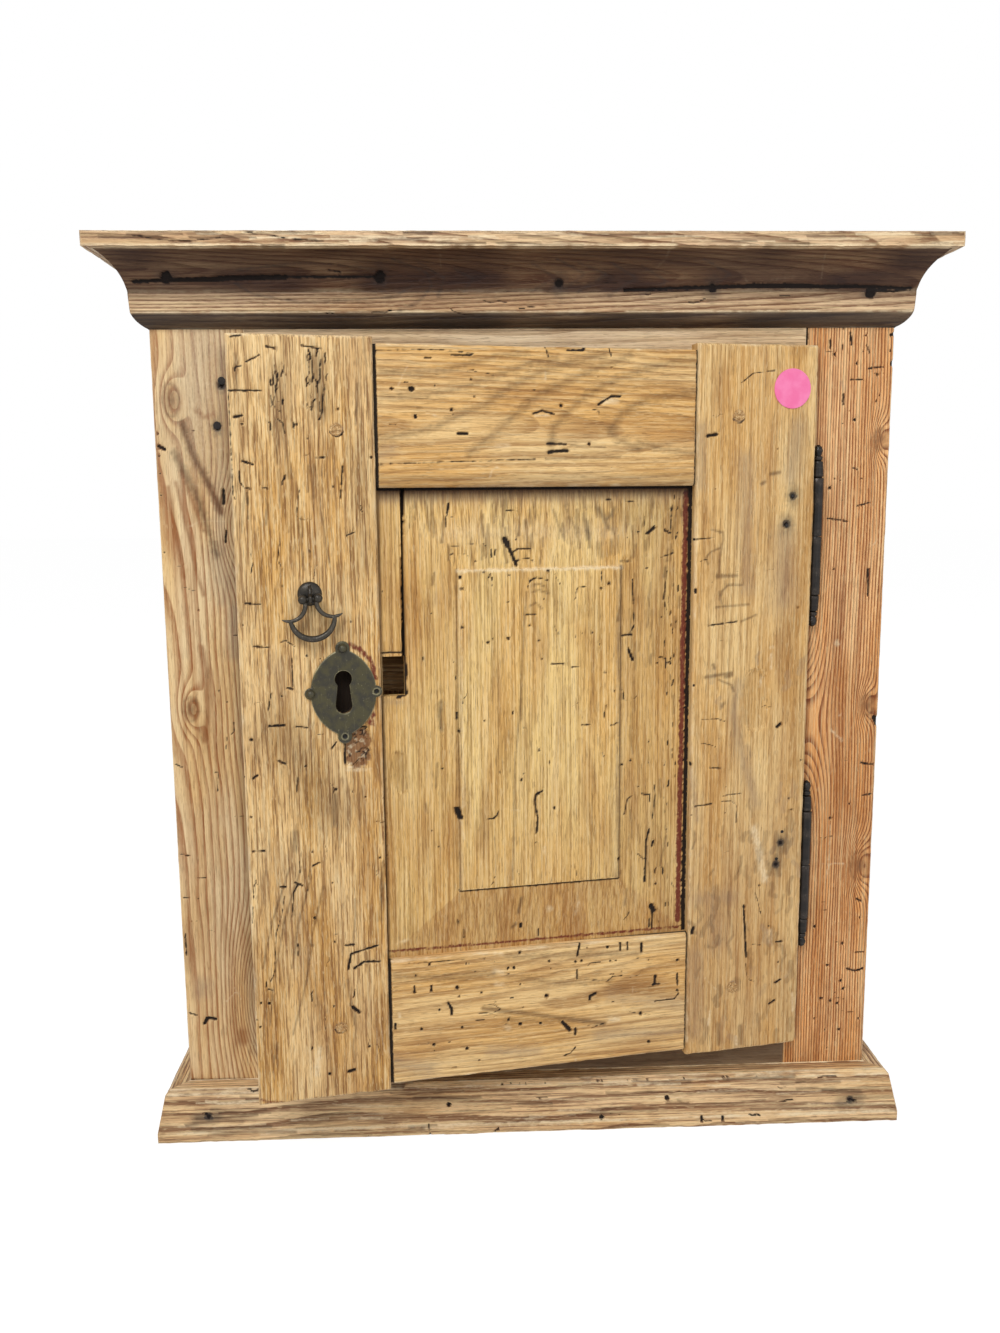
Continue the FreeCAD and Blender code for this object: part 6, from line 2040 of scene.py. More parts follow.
@dataclass
class Panel:
    """The raised and fielded panel: a flat field, a small step and four bevels.

    Attributes:
        seat: The door's seat.
        finish: Its wood.
        left: The opening's left edge.
        bottom: The opening's bottom edge.
        right: The opening's right edge.
        top: The opening's top edge.
        edge_front: Its face's depth at the opening's edges.
        bevel_front: Its face's depth where the bevels end.
        field_front: Its face's depth in the field.
        back: Its back's depth.
        field_insets: The field's distance from the opening's left, bottom, right and top.
        under: How far it reaches under the frame.
        lip: Half the width of the step between the bevels and the field.
        hole: The old hole's left, bottom, right and top.
        bevel_browns: How brown each bevel is: left, right, bottom and top.
    """

    seat: Seat
    finish: bpy.types.Material
    left: float
    bottom: float
    right: float
    top: float
    edge_front: float = -1.0
    bevel_front: float = -4.0
    field_front: float = -5.2
    back: float = 5.0
    field_insets: tuple[float, float, float, float] = (48.5, 42.5, 49.0, 50.4)
    under: float = 2.0
    lip: float = 0.35
    hole: tuple[float, float, float, float] = (-289.0, 318.0, -275.0, 343.0)
    bevel_browns: tuple[float, float, float, float] = (0.16, 0.28, 0.52, 0.04)

    def build(self) -> None:
        """Makes the panel with its hole."""
        x0, z0 = self.left + self.field_insets[0], self.bottom + self.field_insets[1]
        x1, z1 = self.right - self.field_insets[2], self.top - self.field_insets[3]
        lip = self.lip
        across = spaced([self.left - self.under, self.left, self.hole[0], self.hole[2], x0 - lip, x0 + lip,
                         x1 - lip, x1 + lip, self.right, self.right + self.under], 1.15)
        up = spaced([self.bottom - self.under, self.bottom, self.hole[1], self.hole[3], z0 - lip, z0 + lip,
                     z1 - lip, z1 + lip, self.top, self.top + self.under], 1.2)
        face = Face(across, up)
        face.draw(self.marks(x0, z0, x1, z1))
        x, z = np.meshgrid(across, up)
        slopes = np.stack([(x - self.left) / (x0 - self.left), (self.right - x) / (self.right - x1),
                           (z - self.bottom) / (z0 - self.bottom), (self.top - z) / (self.top - z1)])
        share = np.clip(slopes.min(axis=0), 0, 1)
        inside = np.minimum.reduce([x - x0, x1 - x, z - z0, z1 - z])
        front = self.edge_front + (self.bevel_front - self.edge_front) * share
        front = front + (self.field_front - self.bevel_front) * ramp(inside, -lip, lip)
        worn = 0.3 * (0.5 + 0.5 * noise2(x / 25, z / 40, 61))
        arris = np.exp(-((inside - 0.6) / 0.9) ** 2)
        front = front + worn + face.drop + 0.25 * arris
        rubbed = arris * (0.3 + 0.5 * noise2(x / 9, z / 9, 62)) * 0.7
        face.layers[Layer.WEAR] = np.clip(np.maximum(face.layers[Layer.WEAR], rubbed), 0, 1)
        browned = np.choose(slopes.argmin(axis=0), self.bevel_browns) * (inside < 0)
        browned = browned * (0.95 + 0.35 * noise2(x / 9, z / 40, 63))
        face.layers[Layer.KNOT] = np.maximum(face.layers[Layer.KNOT], browned)
        keep = ~((across[None, :-1] >= self.hole[0] - 0.01) & (across[None, 1:] <= self.hole[2] + 0.01)
                 & (up[:-1, None] >= self.hole[1] - 0.01) & (up[1:, None] <= self.hole[3] + 0.01))
        front_points = np.stack([x, np.minimum(front, self.back - 0.5), z], axis=-1).reshape(-1, 3)
        back_points = np.stack([x, np.full(x.shape, self.back), z], axis=-1).reshape(-1, 3)
        points = np.concatenate([front_points, back_points])
        values = {layer.value: np.concatenate([kept.reshape(-1), np.zeros(x.size)])
                  for layer, kept in face.layers.items()}
        middle = np.array([(self.left + self.right) / 2, 0, (self.bottom + self.top) / 2])
        grain = Grain(3.1, (20, 60), 0.02, 100, 5.0, seed=45)
        shell = wooden(points, slab_faces(keep), values, Run.UPRIGHT, grain, middle, self.field_front)
        self.seat.make("door_panel_wood", [shell], self.finish, ["door_panel"], "pine_panel")

    def marks(self, x0: float, z0: float, x1: float, z1: float) -> Marks:
        """The panel's split, worm channels, dark edges, red strip and a painted shadow under the top rail.

        Args:
            x0: The field's left edge.
            z0: Its bottom edge.
            x1: Its right edge.
            z1: Its top edge.

        Returns:
            The marks.
        """
        hole_right, hole_top = self.hole[2], self.hole[3]
        return [
            Mark(Layer.DARK, ((hole_right - 0.5, hole_top), (hole_right - 0.2, 400),
                              (hole_right + 0.8, self.top + 2)), 1.6, 4.5, 0.5, ragged=0.3),
            Mark(Layer.RED, ((self.right - 5.6, self.bottom + 8), (self.right - 4.6, self.top - 4)), 4.6,
                 soft=2.0, strength=0.8, ragged=1.0),
            Mark(Layer.DARK, ((self.left, self.top - 0.6), (self.right, self.top - 0.6)), 2.0, 0.4),
            # Painted shadow cast by the top rail across the panel's top.
            shade(Layer.GRIME, 9, 7, 0.95, self.left, self.top - 2, self.right, self.top - 2),
            Mark(Layer.DARK, ((x0, z0 - 0.6), (x1, z0 - 0.6)), 1.6, 0.2, 0.8, 0.9, ragged=0.3),
            shade(Layer.KNOT, 60, 90, 0.16, x0 + 30, z0 + 10, x1 - 30, z0 + 10),
            shade(Layer.GRIME, 1.6, 1.8, 0.9, self.left + 1, self.bottom, self.left + 1, self.top),
            Mark(Layer.DARK, ((self.left + 0.5, self.bottom), (self.left + 0.5, self.hole[1])), 1.2,
                 0.3, 0.6, 0.7),
            shade(Layer.GREY, 8, 12, 0.6, self.left, self.top - 6, self.right, self.top - 6),
            shade(Layer.WEAR, 24, 20, 0.4, x0 - 8, z1 + 22, x1, z1 + 22),
            Scatter(Layer.DARK, 40, (x1 + 30, z0 - 36, self.right - 7, self.top - 6), (1, 5), (75, 105),
                    (0.8, 1.4), 0.4, 59),
            shade(Layer.GRIME, 20, 26, 0.35, x1 + 6, self.top - 20, x1 + 40, self.top - 16),
            RUB(2.2, (x0, z1 - 0.5, x1, z1 - 0.5), strength=0.9),
            RUB(3, (x0 + 2, z1, x0 + 2, z1 - 150), strength=0.5),
            BROWN(1.3, (x0 - 0.6, z0, x0 - 0.6, z1), strength=0.6),
            BROWN(1.6, (x1 + 0.4, z0, x1 + 0.4, z1), strength=0.8), GREY(2.4, (x1 - 1.6, z0, x1 - 1.6, z1)),
            Mark(Layer.DARK, ((self.right - 1.4, self.bottom), (self.right - 1.4, self.top)), 3.4, 0.6,
                 1.0, 0.95, ragged=1.2),
            Scatter(Layer.GREY, 60, (self.right - 3, self.bottom, self.right, self.top), (1, 5), (70, 110),
                    (0.8, 1.6), 0.0, 58),
            CUT(2.2, (-275.4, 344, -274.4, 335, -275.2, 327, -274.6, 319, -280, 317)),
            CUT(1.6, (-289, 345, -284, 345.6, -277, 345)),
            GREY(4, (-285, 314.5, -277, 314)),
            GREY(3, (-255, 382, -256, 374), strength=0.4),
            BROWN(1.2, (-195, 432, -194, 423), (-180, 432, -173, 413), (-172, 434, -165, 418, -163, 408),
                  (-226, 410, -226, 402), (-256, 394, -257, 387), (-195, 385, -190, 386, -186, 384),
                  (-194, 381, -190, 382, -184, 380), (-196, 372, -192, 374, -188, 370),
                  (-198, 381, -201, 338, -202, 300), (-202, 313, -206, 274, -208, 194),
                  (-102, 214, -106, 194), (-264, 248, -263, 242), (-256, 274, -257, 258)),
            BROWN(2.2, (-137, 368, -138, 361), (-105, 394, -106, 388), (-202, 180, -204, 170),
                  (-208, 160, -206, 162)),
            BROWN(9, (-280, 278, -280, 265, -278, 260), strength=0.2),
            RED(1, (-288, 255, -290, 186)),
            RED(2.4, (-289, 151, -200, 150, -92, 149.5), strength=0.8),
            RED(1.6, (-288.5, 315, -288.5, 152), strength=0.5),
            IRON(2, (-142, 412, -142, 404), strength=0.4),
            IRON(2, (-160, 429, -157, 414), strength=0.5),
            IRON(2, (-254, 312, -254, 304, -253, 296), strength=0.6),
            IRON(2, (-253, 313, -254, 304), strength=0.7),
            IRON(2, (-140, 432, -142, 428, -146, 424)),
            IRON(3, (-150, 410, -149, 402), strength=0.4),
            IRON(3, (-150, 432, -146, 425, -144, 420)),
            RUB(1.2, (-215, 242, -202, 240), (-211, 288, -212, 280)),
            RUB(2.4, (-242, 237, -240, 224), (-187, 214, -187, 210), (-163, 174, -165, 165),
                (-277, 158, -284, 156)),
            RUB(5, (-183, 171)),
            CUT(0.8, (-248, 428, -248, 422), (-120, 427, -120, 421), (-250, 411, -240, 410),
                (-236, 412, -230, 412, -226, 412, -220, 408), (-247, 404, -244, 406, -238, 406, -234, 404),
                (-134, 316, -133, 309, -127, 309, -124, 311), (-180, 392, -176, 385),
                (-166, 380, -164, 384, -159, 383), (-180, 359, -177, 353), (-169, 306, -164, 309),
                (-128, 166, -128, 162, -131, 158)),
            CUT(1.2, (-244, 436), (-244, 428), (-240, 422), (-254, 430), (-172, 418), (-166, 417),
                (-131, 414), (-245, 338), (-258, 369), (-210, 432, -202, 431), (-146, 438, -142, 438),
                (-132, 437, -126, 436), (-101, 434, -102, 418), (-100, 406, -100, 403, -108, 401),
                (-136, 399, -126, 399), (-220, 408, -220, 403), (-217, 408, -218, 404),
                (-206, 406, -203, 408, -195, 408), (-204, 401, -196, 402, -193, 400), (-264, 342, -264, 340),
                (-244, 330, -243, 327), (-128, 387, -127, 371), (-127, 366, -126, 358, -130, 351),
                (-104, 392, -106, 374, -104, 366), (-109, 336, -104, 335, -104, 328), (-166, 352),
                (-162, 354), (-220, 352), (-150, 346), (-192, 340),
                (-197, 384, -196, 388, -191, 390, -184, 388), (-198, 367, -192, 367), (-182, 335, -172, 334),
                (-168, 332, -164, 332), (-149, 328, -144, 328), (-162, 294, -156, 294),
                (-142, 293, -138, 294), (-194, 217, -192, 218), (-224, 236, -220, 236, -218, 238, -217, 241),
                (-132, 232, -130, 242, -127, 244), (-120, 245, -114, 244, -114, 239),
                (-111, 250, -110, 244, -112, 227), (-122, 204, -118, 200), (-109, 193, -110, 189),
                (-113, 157, -113, 151), (-244, 169, -244, 164), (-240, 162, -240, 156),
                (-190, 157, -190, 152)),
            CUT(1.7, (-246, 436, -247, 430), (-124, 417), (-103, 412), (-118, 394), (-230, 401), (-204, 414),
                (-106, 418, -102, 416), (-243, 306, -243, 302), (-135, 351, -128, 352), (-101, 365),
                (-107, 362), (-110, 332), (-102, 332), (-128, 351), (-225, 394), (-222, 391), (-209, 392),
                (-210, 375), (-196, 360), (-190, 350), (-188, 338), (-140, 315), (-155, 354),
                (-240, 384, -238, 384), (-226, 300), (-200, 294), (-190, 279), (-216, 266), (-200, 264),
                (-188, 252, -192, 250, -193, 246, -192, 238, -191, 234, -192, 224), (-115, 266), (-115, 280),
                (-122, 250), (-109, 182), (-260, 230), (-256, 219), (-253, 270),
                (-114, 220, -116, 213, -117, 184), (-111, 212, -112, 208), (-111, 162, -111, 150)),
            CUT(2.4, (-118, 416, -113, 420), (-209, 410, -204, 398), (-130, 342, -127, 335), (-240, 391),
                (-239, 360), (-184, 394), (-144, 385), (-149, 382), (-223, 350), (-210, 352), (-242, 294),
                (-180, 240), (-202, 260), (-134, 266), (-128, 268), (-136, 202), (-202, 162, -202, 160)),
            CUT(4, (-211, 414, -209, 410), (-244, 243, -242, 238), (-112, 166, -110, 163)),
            Scatter(Layer.DARK, 8, (x0, z0, x1, z1), (2, 9), (75, 105), (0.4, 0.9), 0.5, 56),
            Scatter(Layer.DARK, 12, (self.left, self.bottom, self.right, self.top), (2, 8), (70, 110),
                    (0.4, 0.9), 0.5, 57),
            Scatter(Layer.GRIME, 30, (x1 + 4, self.bottom + 20, self.right - 8, self.top - 8), (6, 30),
                    (84, 96), (0.7, 1.8), 0.0, 66, 0.03, 0.5),
            Scatter(Layer.GRIME, 70, (self.left + 20, z1 + 2, self.right - 8, self.top - 6), (5, 24), (82, 98),
                    (0.7, 2.0), 0.0, 67, 0.03, 0.6),
        ]


@dataclass
class Hinges:
    """Two lift-off hinges: turned knuckles with finials, and their leaves.

    Attributes:
        finishes: The finishes.
        leaf_thick: The leaves' thickness.
        leaf_span: Where a leaf starts and ends, from the joint between the halves.
        leaf_wear: How rubbed a leaf is.
        barrel: The knuckle's places from the joint, and radii.
        finial: The finial's places from its root, and radii.
    """

    finishes: Finishes
    leaf_thick: float = 2.0
    leaf_span: Point = (0.5, 33.5)
    leaf_wear: float = 0.1
    barrel: tuple[Point, ...] = ((0.0, 0.0), (0.0, 3.9), (0.8, 4.3), (12.0, 4.2), (24.0, 4.35))
    finial: tuple[Point, ...] = ((0.0, 4.3), (0.7, 3.3), (1.6, 4.0), (6.0, 3.8), (10.2, 3.5), (11.0, 3.3),
                                 (11.5, 2.2), (12.4, 3.0), (14.0, 3.0), (14.9, 2.1), (16.0, 2.6),
                                 (18.3, 3.1), (20.4, 2.4), (21.6, 1.1), (22.0, 0.0))

    def build(self) -> None:
        """Makes both halves of both hinges, and dresses the pins and nails."""
        door, frame = Seat("door", HINGE_AXIS, DOOR_AJAR), Seat("cabinet", HINGE_AXIS)
        for name in ("top", "bottom"):
            for seat, half, sign in ((door, "door_half", 1), (frame, "frame_half", -1)):
                node = f"hinge_{name}_{half}"
                low, high = seat.box(node)
                joint, tip = (float(corner[2]) for corner in ((low, high) if sign > 0 else (high, low)))
                shells = [self.knuckle(joint, tip, sign), self.leaf(low, high, sign)]
                seat.make(f"{node}_iron", shells, self.finishes.iron, [node], "old_iron")
            dress(f"hinge_{name}_pin", self.finishes.plain_iron)
        dress("hinge_door_nails", self.finishes.plain_iron)
        dress("hinge_frame_nails", self.finishes.plain_iron)

    def knuckle(self, joint: float, tip: float, sign: int) -> Shell:
        """A knuckle and its finial, turned about the hinge's axis.

        Args:
            joint: Height where the two halves meet.
            tip: Height of the finial's tip.
            sign: Up for a door half, down for a frame half.

        Returns:
            The closed shell.
        """
        end = tip - sign * self.finial[-1][0]
        stops = [(start + sign * away, radius)
                 for start, lengths in ((joint, self.barrel), (end, self.finial))
                 for away, radius in lengths]
        return turned(rounded_profile(stops, 4), Run.UPRIGHT, (0.0, 0.0, 0.0), 0.5, 28)

    def leaf(self, low: np.ndarray, high: np.ndarray, sign: int) -> Shell:
        """The flat leaf let into the wood, as the frame has it.

        Args:
            low: The half's lowest corner.
            high: Its highest corner.
            sign: Up for a door half, down for a frame half.

        Returns:
            The closed shell.
        """
        half = self.leaf_thick / 2
        joint = float(low[2]) if sign > 0 else float(high[2])
        z0, z1 = sorted(joint + sign * away for away in self.leaf_span)
        if sign > 0:
            corner0, corner1 = (float(low[0]), -half, z0), (0.0, half, z1)
        else:
            corner0, corner1 = (-half, 0.0, z0), (half, float(high[1]), z1)
        shell = plain(corner0, corner1, Run.UPRIGHT, Grain(seed=1))
        shell.values[Layer.WEAR.value] = np.full(len(shell.points), self.leaf_wear)
        return shell


@dataclass
class Escutcheon:
    """The pointed oval plate with four ears, a keyhole and two domed nails.

    Attributes:
        finishes: The finishes.
        seat: The door's seat.
        tall: Half its height to the middles of the upper and lower ears.
        wide: Half its width to the middles of the side ears.
        ear: Radius of the upper and lower ears.
        side_ear: Radius of the side ears.
        ear_hole: Radius of the two empty nail holes.
        eye: Radius of the keyhole's eye.
        eye_rise: The eye's height over the middle.
        neck: Half the slot's width below the eye.
        foot: Radius of the slot's rounded foot.
        foot_drop: The foot's lowest point below the middle.
        spokes: Points round it.
        rings_across: Points from the keyhole to the rim.
    """

    finishes: Finishes
    seat: Seat = Seat("door", HINGE_AXIS, DOOR_AJAR)
    tall: float = 27.3
    wide: float = 20.0
    ear: float = 4.4
    side_ear: float = 3.6
    ear_hole: float = 1.4
    eye: float = 5.2
    eye_rise: float = 8.4
    neck: float = 3.2
    foot: float = 5.0
    foot_drop: float = 13.0
    spokes: int = 540
    rings_across: int = 34

    def circle(self, angle: np.ndarray, x: float, z: float, radius: float) -> np.ndarray:
        """How far a ray from the middle goes before it leaves a circle, or 0 where it misses.

        Args:
            angle: The rays' angles.
            x: The circle's middle across.
            z: The circle's middle up.
            radius: Its radius.

        Returns:
            The farther root of the ray's crossing with the circle.
        """
        along = np.cos(angle) * x + np.sin(angle) * z
        inside = radius * radius - x * x - z * z + along * along
        return np.where(inside > 0, along + np.sqrt(np.maximum(inside, 0)), 0)

    def build(self) -> None:
        """Makes the plate on spokes that run from the keyhole to the rim, and dresses its nails.

        Along a spoke the plate falls off at both ends by an exponential of the distance, and each
        empty ear has a pit with a rubbed ring round it.
        """
        low, high = self.seat.box("escutcheon")
        thick, back = float(high[1] - low[1]), float(high[1])
        centre = ((low[0] + high[0]) / 2, (low[2] + high[2]) / 2)
        angle = around(self.spokes)
        rim = self.rim(angle)[:, None]
        hole = np.maximum(self.circle(angle, 0, self.eye_rise, self.eye), self.slot(angle))[:, None]
        share = np.concatenate([[0.0], np.linspace(0.012, 0.988, self.rings_across - 2), [1.0]])
        radius = hole + (rim - hole) * share
        x, z = np.cos(angle)[:, None] * radius, np.sin(angle)[:, None] * radius
        edge = np.minimum(rim - radius, radius - hole)
        rise = thick * (1 - 0.45 * np.exp(-np.maximum(edge, 0) / 0.45))
        rise = rise - 0.05 * (1 + noise2(x / 4, z / 4, 71))
        wear = np.clip(1 - edge / 0.8, 0, 1) * (0.5 + 0.5 * noise2(x / 5, z / 5, 72))
        dark = np.zeros(x.shape)
        for ear_x, ear_z in ((0, -self.tall), (self.wide, 0)):
            away = np.hypot(x - ear_x, z - ear_z)
            pit = 1 - ramp(away, self.ear_hole - 0.25, self.ear_hole + 0.25)
            rise, dark = rise - pit * 0.9, np.maximum(dark, pit)
            wear = wear + 0.5 * np.exp(-((away - 2.0) / 0.5) ** 2)
        front = np.stack([centre[0] + x, back - np.maximum(rise, 0.15), centre[1] + z], axis=-1)
        under = front[:, ::-1].copy()
        under[..., 1] = back - 0.02
        points = np.concatenate([front, under], axis=1)
        rows, columns = points.shape[:2]
        index = np.arange(rows * columns).reshape(rows, columns)
        corners = [np.roll(index, steps, axis=(0, 1)) for steps in ((0, 0), (0, -1), (-1, -1), (-1, 0))]
        flat = points.reshape(-1, 3)
        wear, dark = (np.pad(kept, ((0, 0), (0, kept.shape[1]))).reshape(-1)
                      for kept in (np.clip(wear, 0, 1), dark))
        shell = Shell(flat, [np.stack(corners, axis=-1).reshape(-1, 4)],
                      unmarked(len(flat), wear=wear, dark=dark), flat)
        self.seat.make("escutcheon_plate", [shell], self.finishes.brass, ["escutcheon"], "old_brass")
        dress("escutcheon_nails", self.finishes.plain_brass)

    def rim(self, angle: np.ndarray) -> np.ndarray:
        """How far a ray from the middle goes before it leaves the plate.

        The plate is the overlap of two circles, with a smaller circle added for each ear.

        Args:
            angle: The rays' angles.

        Returns:
            The ray's crossing with the nearer large circle, or with an ear where that is farther.
        """
        bow = (self.tall ** 2 + self.wide ** 2) / (2 * self.wide)
        found = np.minimum(*(self.circle(angle, sign * (bow - self.wide), 0, bow) for sign in (-1, 1)))
        for sign in (-1, 1):
            found = np.maximum(found, self.circle(angle, 0, sign * self.tall, self.ear))
            found = np.maximum(found, self.circle(angle, sign * self.wide, 0, self.side_ear))
        return found

    def slot(self, angle: np.ndarray) -> np.ndarray:
        """How far a ray from the middle goes before it leaves the keyhole's slot.

        The slot is the overlap of half planes, two leaning sides, a top and a foot, with a circle
        added below for its rounded foot.

        Args:
            angle: The rays' angles.

        Returns:
            The least of the rays' crossings with the sides, or the circle's where that is farther.
        """
        tall = self.eye_rise + self.foot_drop - self.foot
        lean = math.atan2(self.foot - self.neck, tall)
        reach = self.neck + (self.foot - self.neck) * self.eye_rise / tall
        found = np.full(angle.shape, 99.0)
        for across, up, away in ((math.cos(lean), math.sin(lean), reach * math.cos(lean)),
                                 (-math.cos(lean), math.sin(lean), reach * math.cos(lean)),
                                 (0.0, 1.0, self.eye_rise), (0.0, -1.0, self.foot_drop - self.foot)):
            facing = np.cos(angle) * across + np.sin(angle) * up
            found = np.where(facing > 1e-6, np.minimum(found, away / np.maximum(facing, 1e-6)), found)
        return np.maximum(found, self.circle(angle, 0, self.foot - self.foot_drop, self.foot))


@dataclass
class DropPull:
    """The drop pull: a domed rosette with a rib, and the bail that hangs from it.

    Attributes:
        finishes: The finishes.
        seat: The door's seat.
        swing: The bail's seat.
        lean: How far the bail hangs off upright.
        stile_front: The depth of the stile's front.
        dome_rise: How far the rosette's dome stands out.
        shank: The shank's radius.
        clench: The radius its end is spread to.
        rib_radius: The rib's radius.
        pin: The pin's radius.
        ball: Radius of the pivot balls.
        ball_spread: Their distance from the middle.
        arm_middle: The middle of the right arm's arc, across and up from the pin.
        arm_radius: The arc's radius.
        crescent_drop: How far below the pin the middle of the crescent's arc lies.
        crescent_radius: That arc's radius.
    """

    finishes: Finishes
    seat: Seat = Seat("door", HINGE_AXIS, DOOR_AJAR)
    swing: Seat = Seat("pull_bail", HINGE_AXIS, DOOR_AJAR)
    lean: float = math.radians(5.0)
    stile_front: float = -7.0
    dome_rise: float = 3.3
    shank: float = 1.8
    clench: float = 2.4
    rib_radius: float = 1.15
    pin: float = 0.9
    ball: float = 2.8
    ball_spread: float = 4.6
    arm_middle: Point = (12.9, -2.3)
    arm_radius: float = 9.6
    crescent_drop: float = 11.0
    crescent_radius: float = 13.1

    def build(self) -> None:
        """Makes the rosette and the bail, and dresses the washer."""
        low, high = self.seat.box("pull_rosette")
        bail_low, bail_high = self.seat.box("pull_bail")
        x = float(low[0] + high[0]) / 2
        radius = float(high[0] - low[0]) / 2
        front, end = self.stile_front, float(high[1])
        middle = float(high[2]) - radius
        pivot_y, pivot_z = float(bail_low[1] + bail_high[1]) / 2, float(bail_high[2]) - self.ball
        dome = [(front - self.dome_rise * math.cos(turn) ** 0.9, radius * math.sin(turn))
                for turn in np.linspace(0, math.pi / 2, 22)[1:]]
        profile = [(front - self.dome_rise, 0.0), *dome, (front - 0.02, radius - 0.25),
                   (front - 0.02, self.shank), (end - 0.6, self.shank), (end, self.clench), (end, 0.0)]
        bend = np.array([(x, y, z) for y, z in (
            (front - 2.2, middle + 4.6), (front - 4.3, middle + 2.6), (pivot_y + 1.0, pivot_z + 2.3),
            (pivot_y - 1.6, pivot_z + 0.9), (pivot_y - 1.4, pivot_z - 1.3), (pivot_y + 0.9, pivot_z - 2.0),
            (front - 1.0, pivot_z - 1.2))])
        rosette = turned(profile, Run.DEEP, (x, 0.0, middle), 0.25, 48)
        self.seat.make("pull_rosette_bronze", [rosette, self.rib(bend)], self.finishes.bronze,
                       ["pull_rosette"], "dark_bronze")
        self.swing.make("pull_bail_bronze", self.bail((x, pivot_y, pivot_z)), self.finishes.bronze,
                        ["pull_bail"], "dark_bronze")
        dress("pull_washer", self.finishes.plain_iron)

    def rib(self, bend: np.ndarray) -> Shell:
        """The rib: a round bar through points in the plane square to the door.

        Args:
            bend: Points of its middle line.

        Returns:
            The closed shell.
        """
        fine = np.linspace(0, len(bend) - 1, 40)
        path = np.stack([np.interp(fine, np.arange(len(bend)), column) for column in bend.T], axis=-1)
        return drawn(path, np.full(len(path), self.rib_radius), (1.0, 0.0, 0.0), 0.3, 16)

    def hoop(self, x: float, z: float, radius: float, degrees: np.ndarray) -> np.ndarray:
        """Points of a circle's arc in the bail's plane.

        Args:
            x: Its middle across.
            z: Its middle up.
            radius: Its radius.
            degrees: The points' angles.

        Returns:
            The points.
        """
        angle = np.radians(degrees)
        return np.stack([x + radius * np.cos(angle), np.zeros(len(angle)), z + radius * np.sin(angle)],
                        axis=-1)

    def bail(self, pivot: tuple[float, float, float]) -> list[Shell]:
        """Two pivot balls on a pin, two arms that curl out to a point, and the crescent below.

        Each arm and the crescent is an arc of a circle; the arms thin to their tips and the
        crescent to its ends.  The whole hangs a few degrees off upright.

        Args:
            pivot: The pin's middle.

        Returns:
            The closed shells.
        """
        ball = [(self.ball * s, self.ball * math.sqrt(max(1 - s * s, 0))) for s in np.linspace(-1, 1, 17)]
        thinning = np.interp(np.linspace(0, 1, 40), (0, 0.5, 0.86, 1), (1.5, 1.25, 0.95, 0.25))
        right_arm = np.linspace(178, 302, 40)
        parts = []
        for sign, degrees in ((-1, 180 - right_arm), (1, right_arm)):
            parts.append(turned(ball, Run.ACROSS, (self.ball_spread * sign, 0.0, 0.0), 0.3, 24))
            path = self.hoop(self.arm_middle[0] * sign, self.arm_middle[1], self.arm_radius, degrees)
            parts.append(drawn(path, thinning, worn=0.6))
        path = self.hoop(0.0, -self.crescent_drop, self.crescent_radius, np.linspace(183, 357, 60))
        swelling = 1.15 + 0.8 * np.sin(np.linspace(0, math.pi, 60)) ** 0.7
        parts.append(drawn(path, swelling, worn=0.55, columns=24))
        reach = self.ball_spread
        parts.append(turned([(-reach, 0.0), (-reach, self.pin), (reach, self.pin), (reach, 0.0)],
                            Run.ACROSS, (0.0, 0.0, 0.0), 0.0, 14))
        c, s = math.cos(self.lean), math.sin(self.lean)
        for part in parts:
            x, y, z = part.points.T
            part.points = np.stack([x * c - z * s, y, x * s + z * c], axis=-1) + np.array(pivot)
        return parts


@dataclass
class LockAndDot:
    """The lock behind the stile and the paper dot, which keep the frame's shapes.

    Attributes:
        finishes: The finishes.
    """

    finishes: Finishes

    def build(self) -> None:
        """Gives each its finish."""
        for node in ("lock_case", "lock_bolt", "lock_key_post", "lock_spring", "lock_nails"):
            dress(node, self.finishes.plain_iron)
        dress("price_dot", self.finishes.paper)


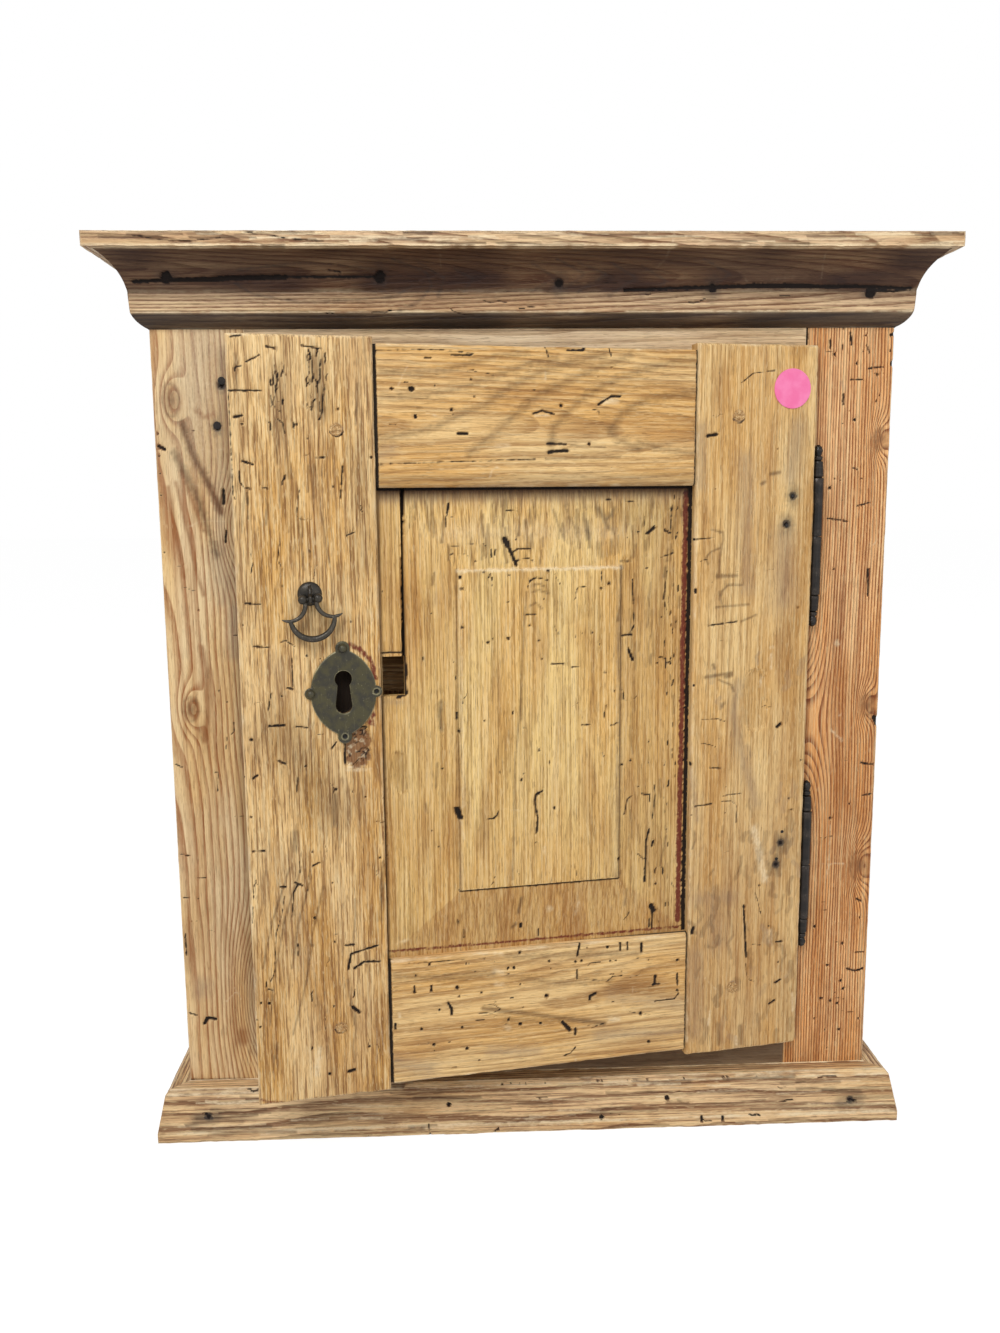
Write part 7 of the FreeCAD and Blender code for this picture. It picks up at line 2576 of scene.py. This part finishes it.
# ------------------------------------------------------------------ studio
@dataclass
class Studio:
    """A pale floor, soft lamps and the camera.

    Attributes:
        eye: Where the camera stands.
        yaw: Its turn to the right.
        pitch: Its tilt down.
        roll: Its roll.
        lens: Its focal length on a sensor as wide as sensor says.
        sensor: The sensor's width.
        lamps: Each lamp's name, place, aim, side and power in watts.
        sky: The sky's strength on the object.
        floor_reach: Half the floor's side.
        floor_drop: How far the floor lies below the cupboard's feet.
        floor_grey: The floor's own grey.
        glow: Strength of the light that the floor gives off where it is seen.
        glow_share: How much of what is seen of it is that light.
    """

    eye: tuple[float, float, float] = (-0.048997, -0.730858, 0.440789)
    yaw: float = 0.0408243
    pitch: float = 0.153850
    roll: float = -0.00875149
    lens: float = 29.757
    sensor: float = 36.0
    lamps: tuple[tuple, ...] = (("key_lamp", (-0.5, -1.5, 1.75), (0.0, 0.0, 0.32), 0.9, 25),
                                ("fill_lamp", (1.3, -1.6, 0.9), (0.0, 0.0, 0.3), 1.4, 6))
    sky: float = 0.44
    floor_reach: float = 12.0
    floor_drop: float = 0.0002
    floor_grey: float = 0.82
    glow: float = 1.38
    glow_share: float = 0.62

    def build(self) -> None:
        """Adds the camera, the lamps, the world and the floor."""
        self.camera()
        for lamp in self.lamps:
            self.lamp(*lamp)
        self.world()
        self.floor()

    def camera(self) -> None:
        """A camera that looks along yaw and pitch, with a small roll."""
        ahead = Vector((math.sin(self.yaw) * math.cos(self.pitch), math.cos(self.yaw) * math.cos(self.pitch),
                        -math.sin(self.pitch)))
        right = Vector((math.cos(self.yaw), -math.sin(self.yaw), 0.0))
        up = right.cross(ahead)
        turned_right = right * math.cos(self.roll) + up * math.sin(self.roll)
        turned_up = up * math.cos(self.roll) - right * math.sin(self.roll)
        data = bpy.data.cameras.new("camera")
        data.lens, data.sensor_width, data.clip_start = self.lens, self.sensor, 0.02
        camera = bpy.data.objects.new("camera", data)
        axes = Matrix((turned_right, turned_up, -ahead)).transposed()
        camera.matrix_world = Matrix.Translation(self.eye) @ axes.to_4x4()
        bpy.context.scene.collection.objects.link(camera)
        bpy.context.scene.camera = camera

    def lamp(self, name: str, place: tuple[float, float, float], aim: tuple[float, float, float],
             size: float, power: float) -> None:
        """Adds a square soft lamp.

        Args:
            name: Its name.
            place: Where it stands.
            aim: What it faces.
            size: Its side.
            power: Its power in watts.
        """
        data = bpy.data.lights.new(name, "AREA")
        data.size, data.energy = size, power
        lamp = bpy.data.objects.new(name, data)
        lamp.location = place
        lamp.rotation_euler = (Vector(aim) - Vector(place)).to_track_quat("-Z", "Y").to_euler()
        bpy.context.scene.collection.objects.link(lamp)

    def world(self) -> None:
        """A dim even sky that the camera and mirrored or passing rays see as white."""
        world = bpy.data.worlds.new("studio")
        bpy.context.scene.world = world
        nodes = Nodes(world)
        dim, bright = (nodes.add("ShaderNodeBackground", {}, {0: WHITE, 1: strength}).outputs[0]
                       for strength in (self.sky, 1.0))
        mix = nodes.add("ShaderNodeMixShader", {}, {0: nodes.looking(), 1: dim, 2: bright})
        nodes.add("ShaderNodeOutputWorld", {}, {0: mix.outputs[0]})

    def floor(self) -> None:
        """A wide pale floor that keeps a soft shadow, since only part of what is seen is its own light."""
        mesh = bpy.data.meshes.new("floor")
        reach = self.floor_reach
        corners = [(x, y, -self.floor_drop) for x, y in ((-reach, -reach), (reach, -reach), (reach, reach),
                                                         (-reach, reach))]
        mesh.from_pydata(corners, [], [(0, 1, 2, 3)])
        nodes = Nodes(bpy.data.materials.new("floor_white"))
        grey = nodes.add("ShaderNodeBsdfDiffuse", {}, {"Color": (*(self.floor_grey,) * 3, 1)}).outputs[0]
        glow = nodes.add("ShaderNodeEmission", {}, {"Color": WHITE, "Strength": self.glow}).outputs[0]
        share = nodes.looking() * self.glow_share
        mix = nodes.add("ShaderNodeMixShader", {}, {0: share, 1: grey, 2: glow})
        nodes.add("ShaderNodeOutputMaterial", {}, {"Surface": mix.outputs[0]})
        mesh.materials.append(nodes.owner)
        plane = bpy.data.objects.new("floor", mesh)
        bpy.context.scene.collection.objects.link(plane)


def main() -> None:
    """Builds every piece round the frame, then the studio."""
    logging.basicConfig(level=logging.INFO, format="%(message)s")
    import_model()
    finishes = Finishes()
    for part in (Carcass(finishes), FaceFrame(finishes), Mouldings(finishes), Door(finishes), Hinges(finishes),
                 Escutcheon(finishes), DropPull(finishes), LockAndDot(finishes), Studio()):
        part.build()
    bpy.context.scene.view_settings.view_transform = "Standard"


if __name__ == "__main__":
    main()
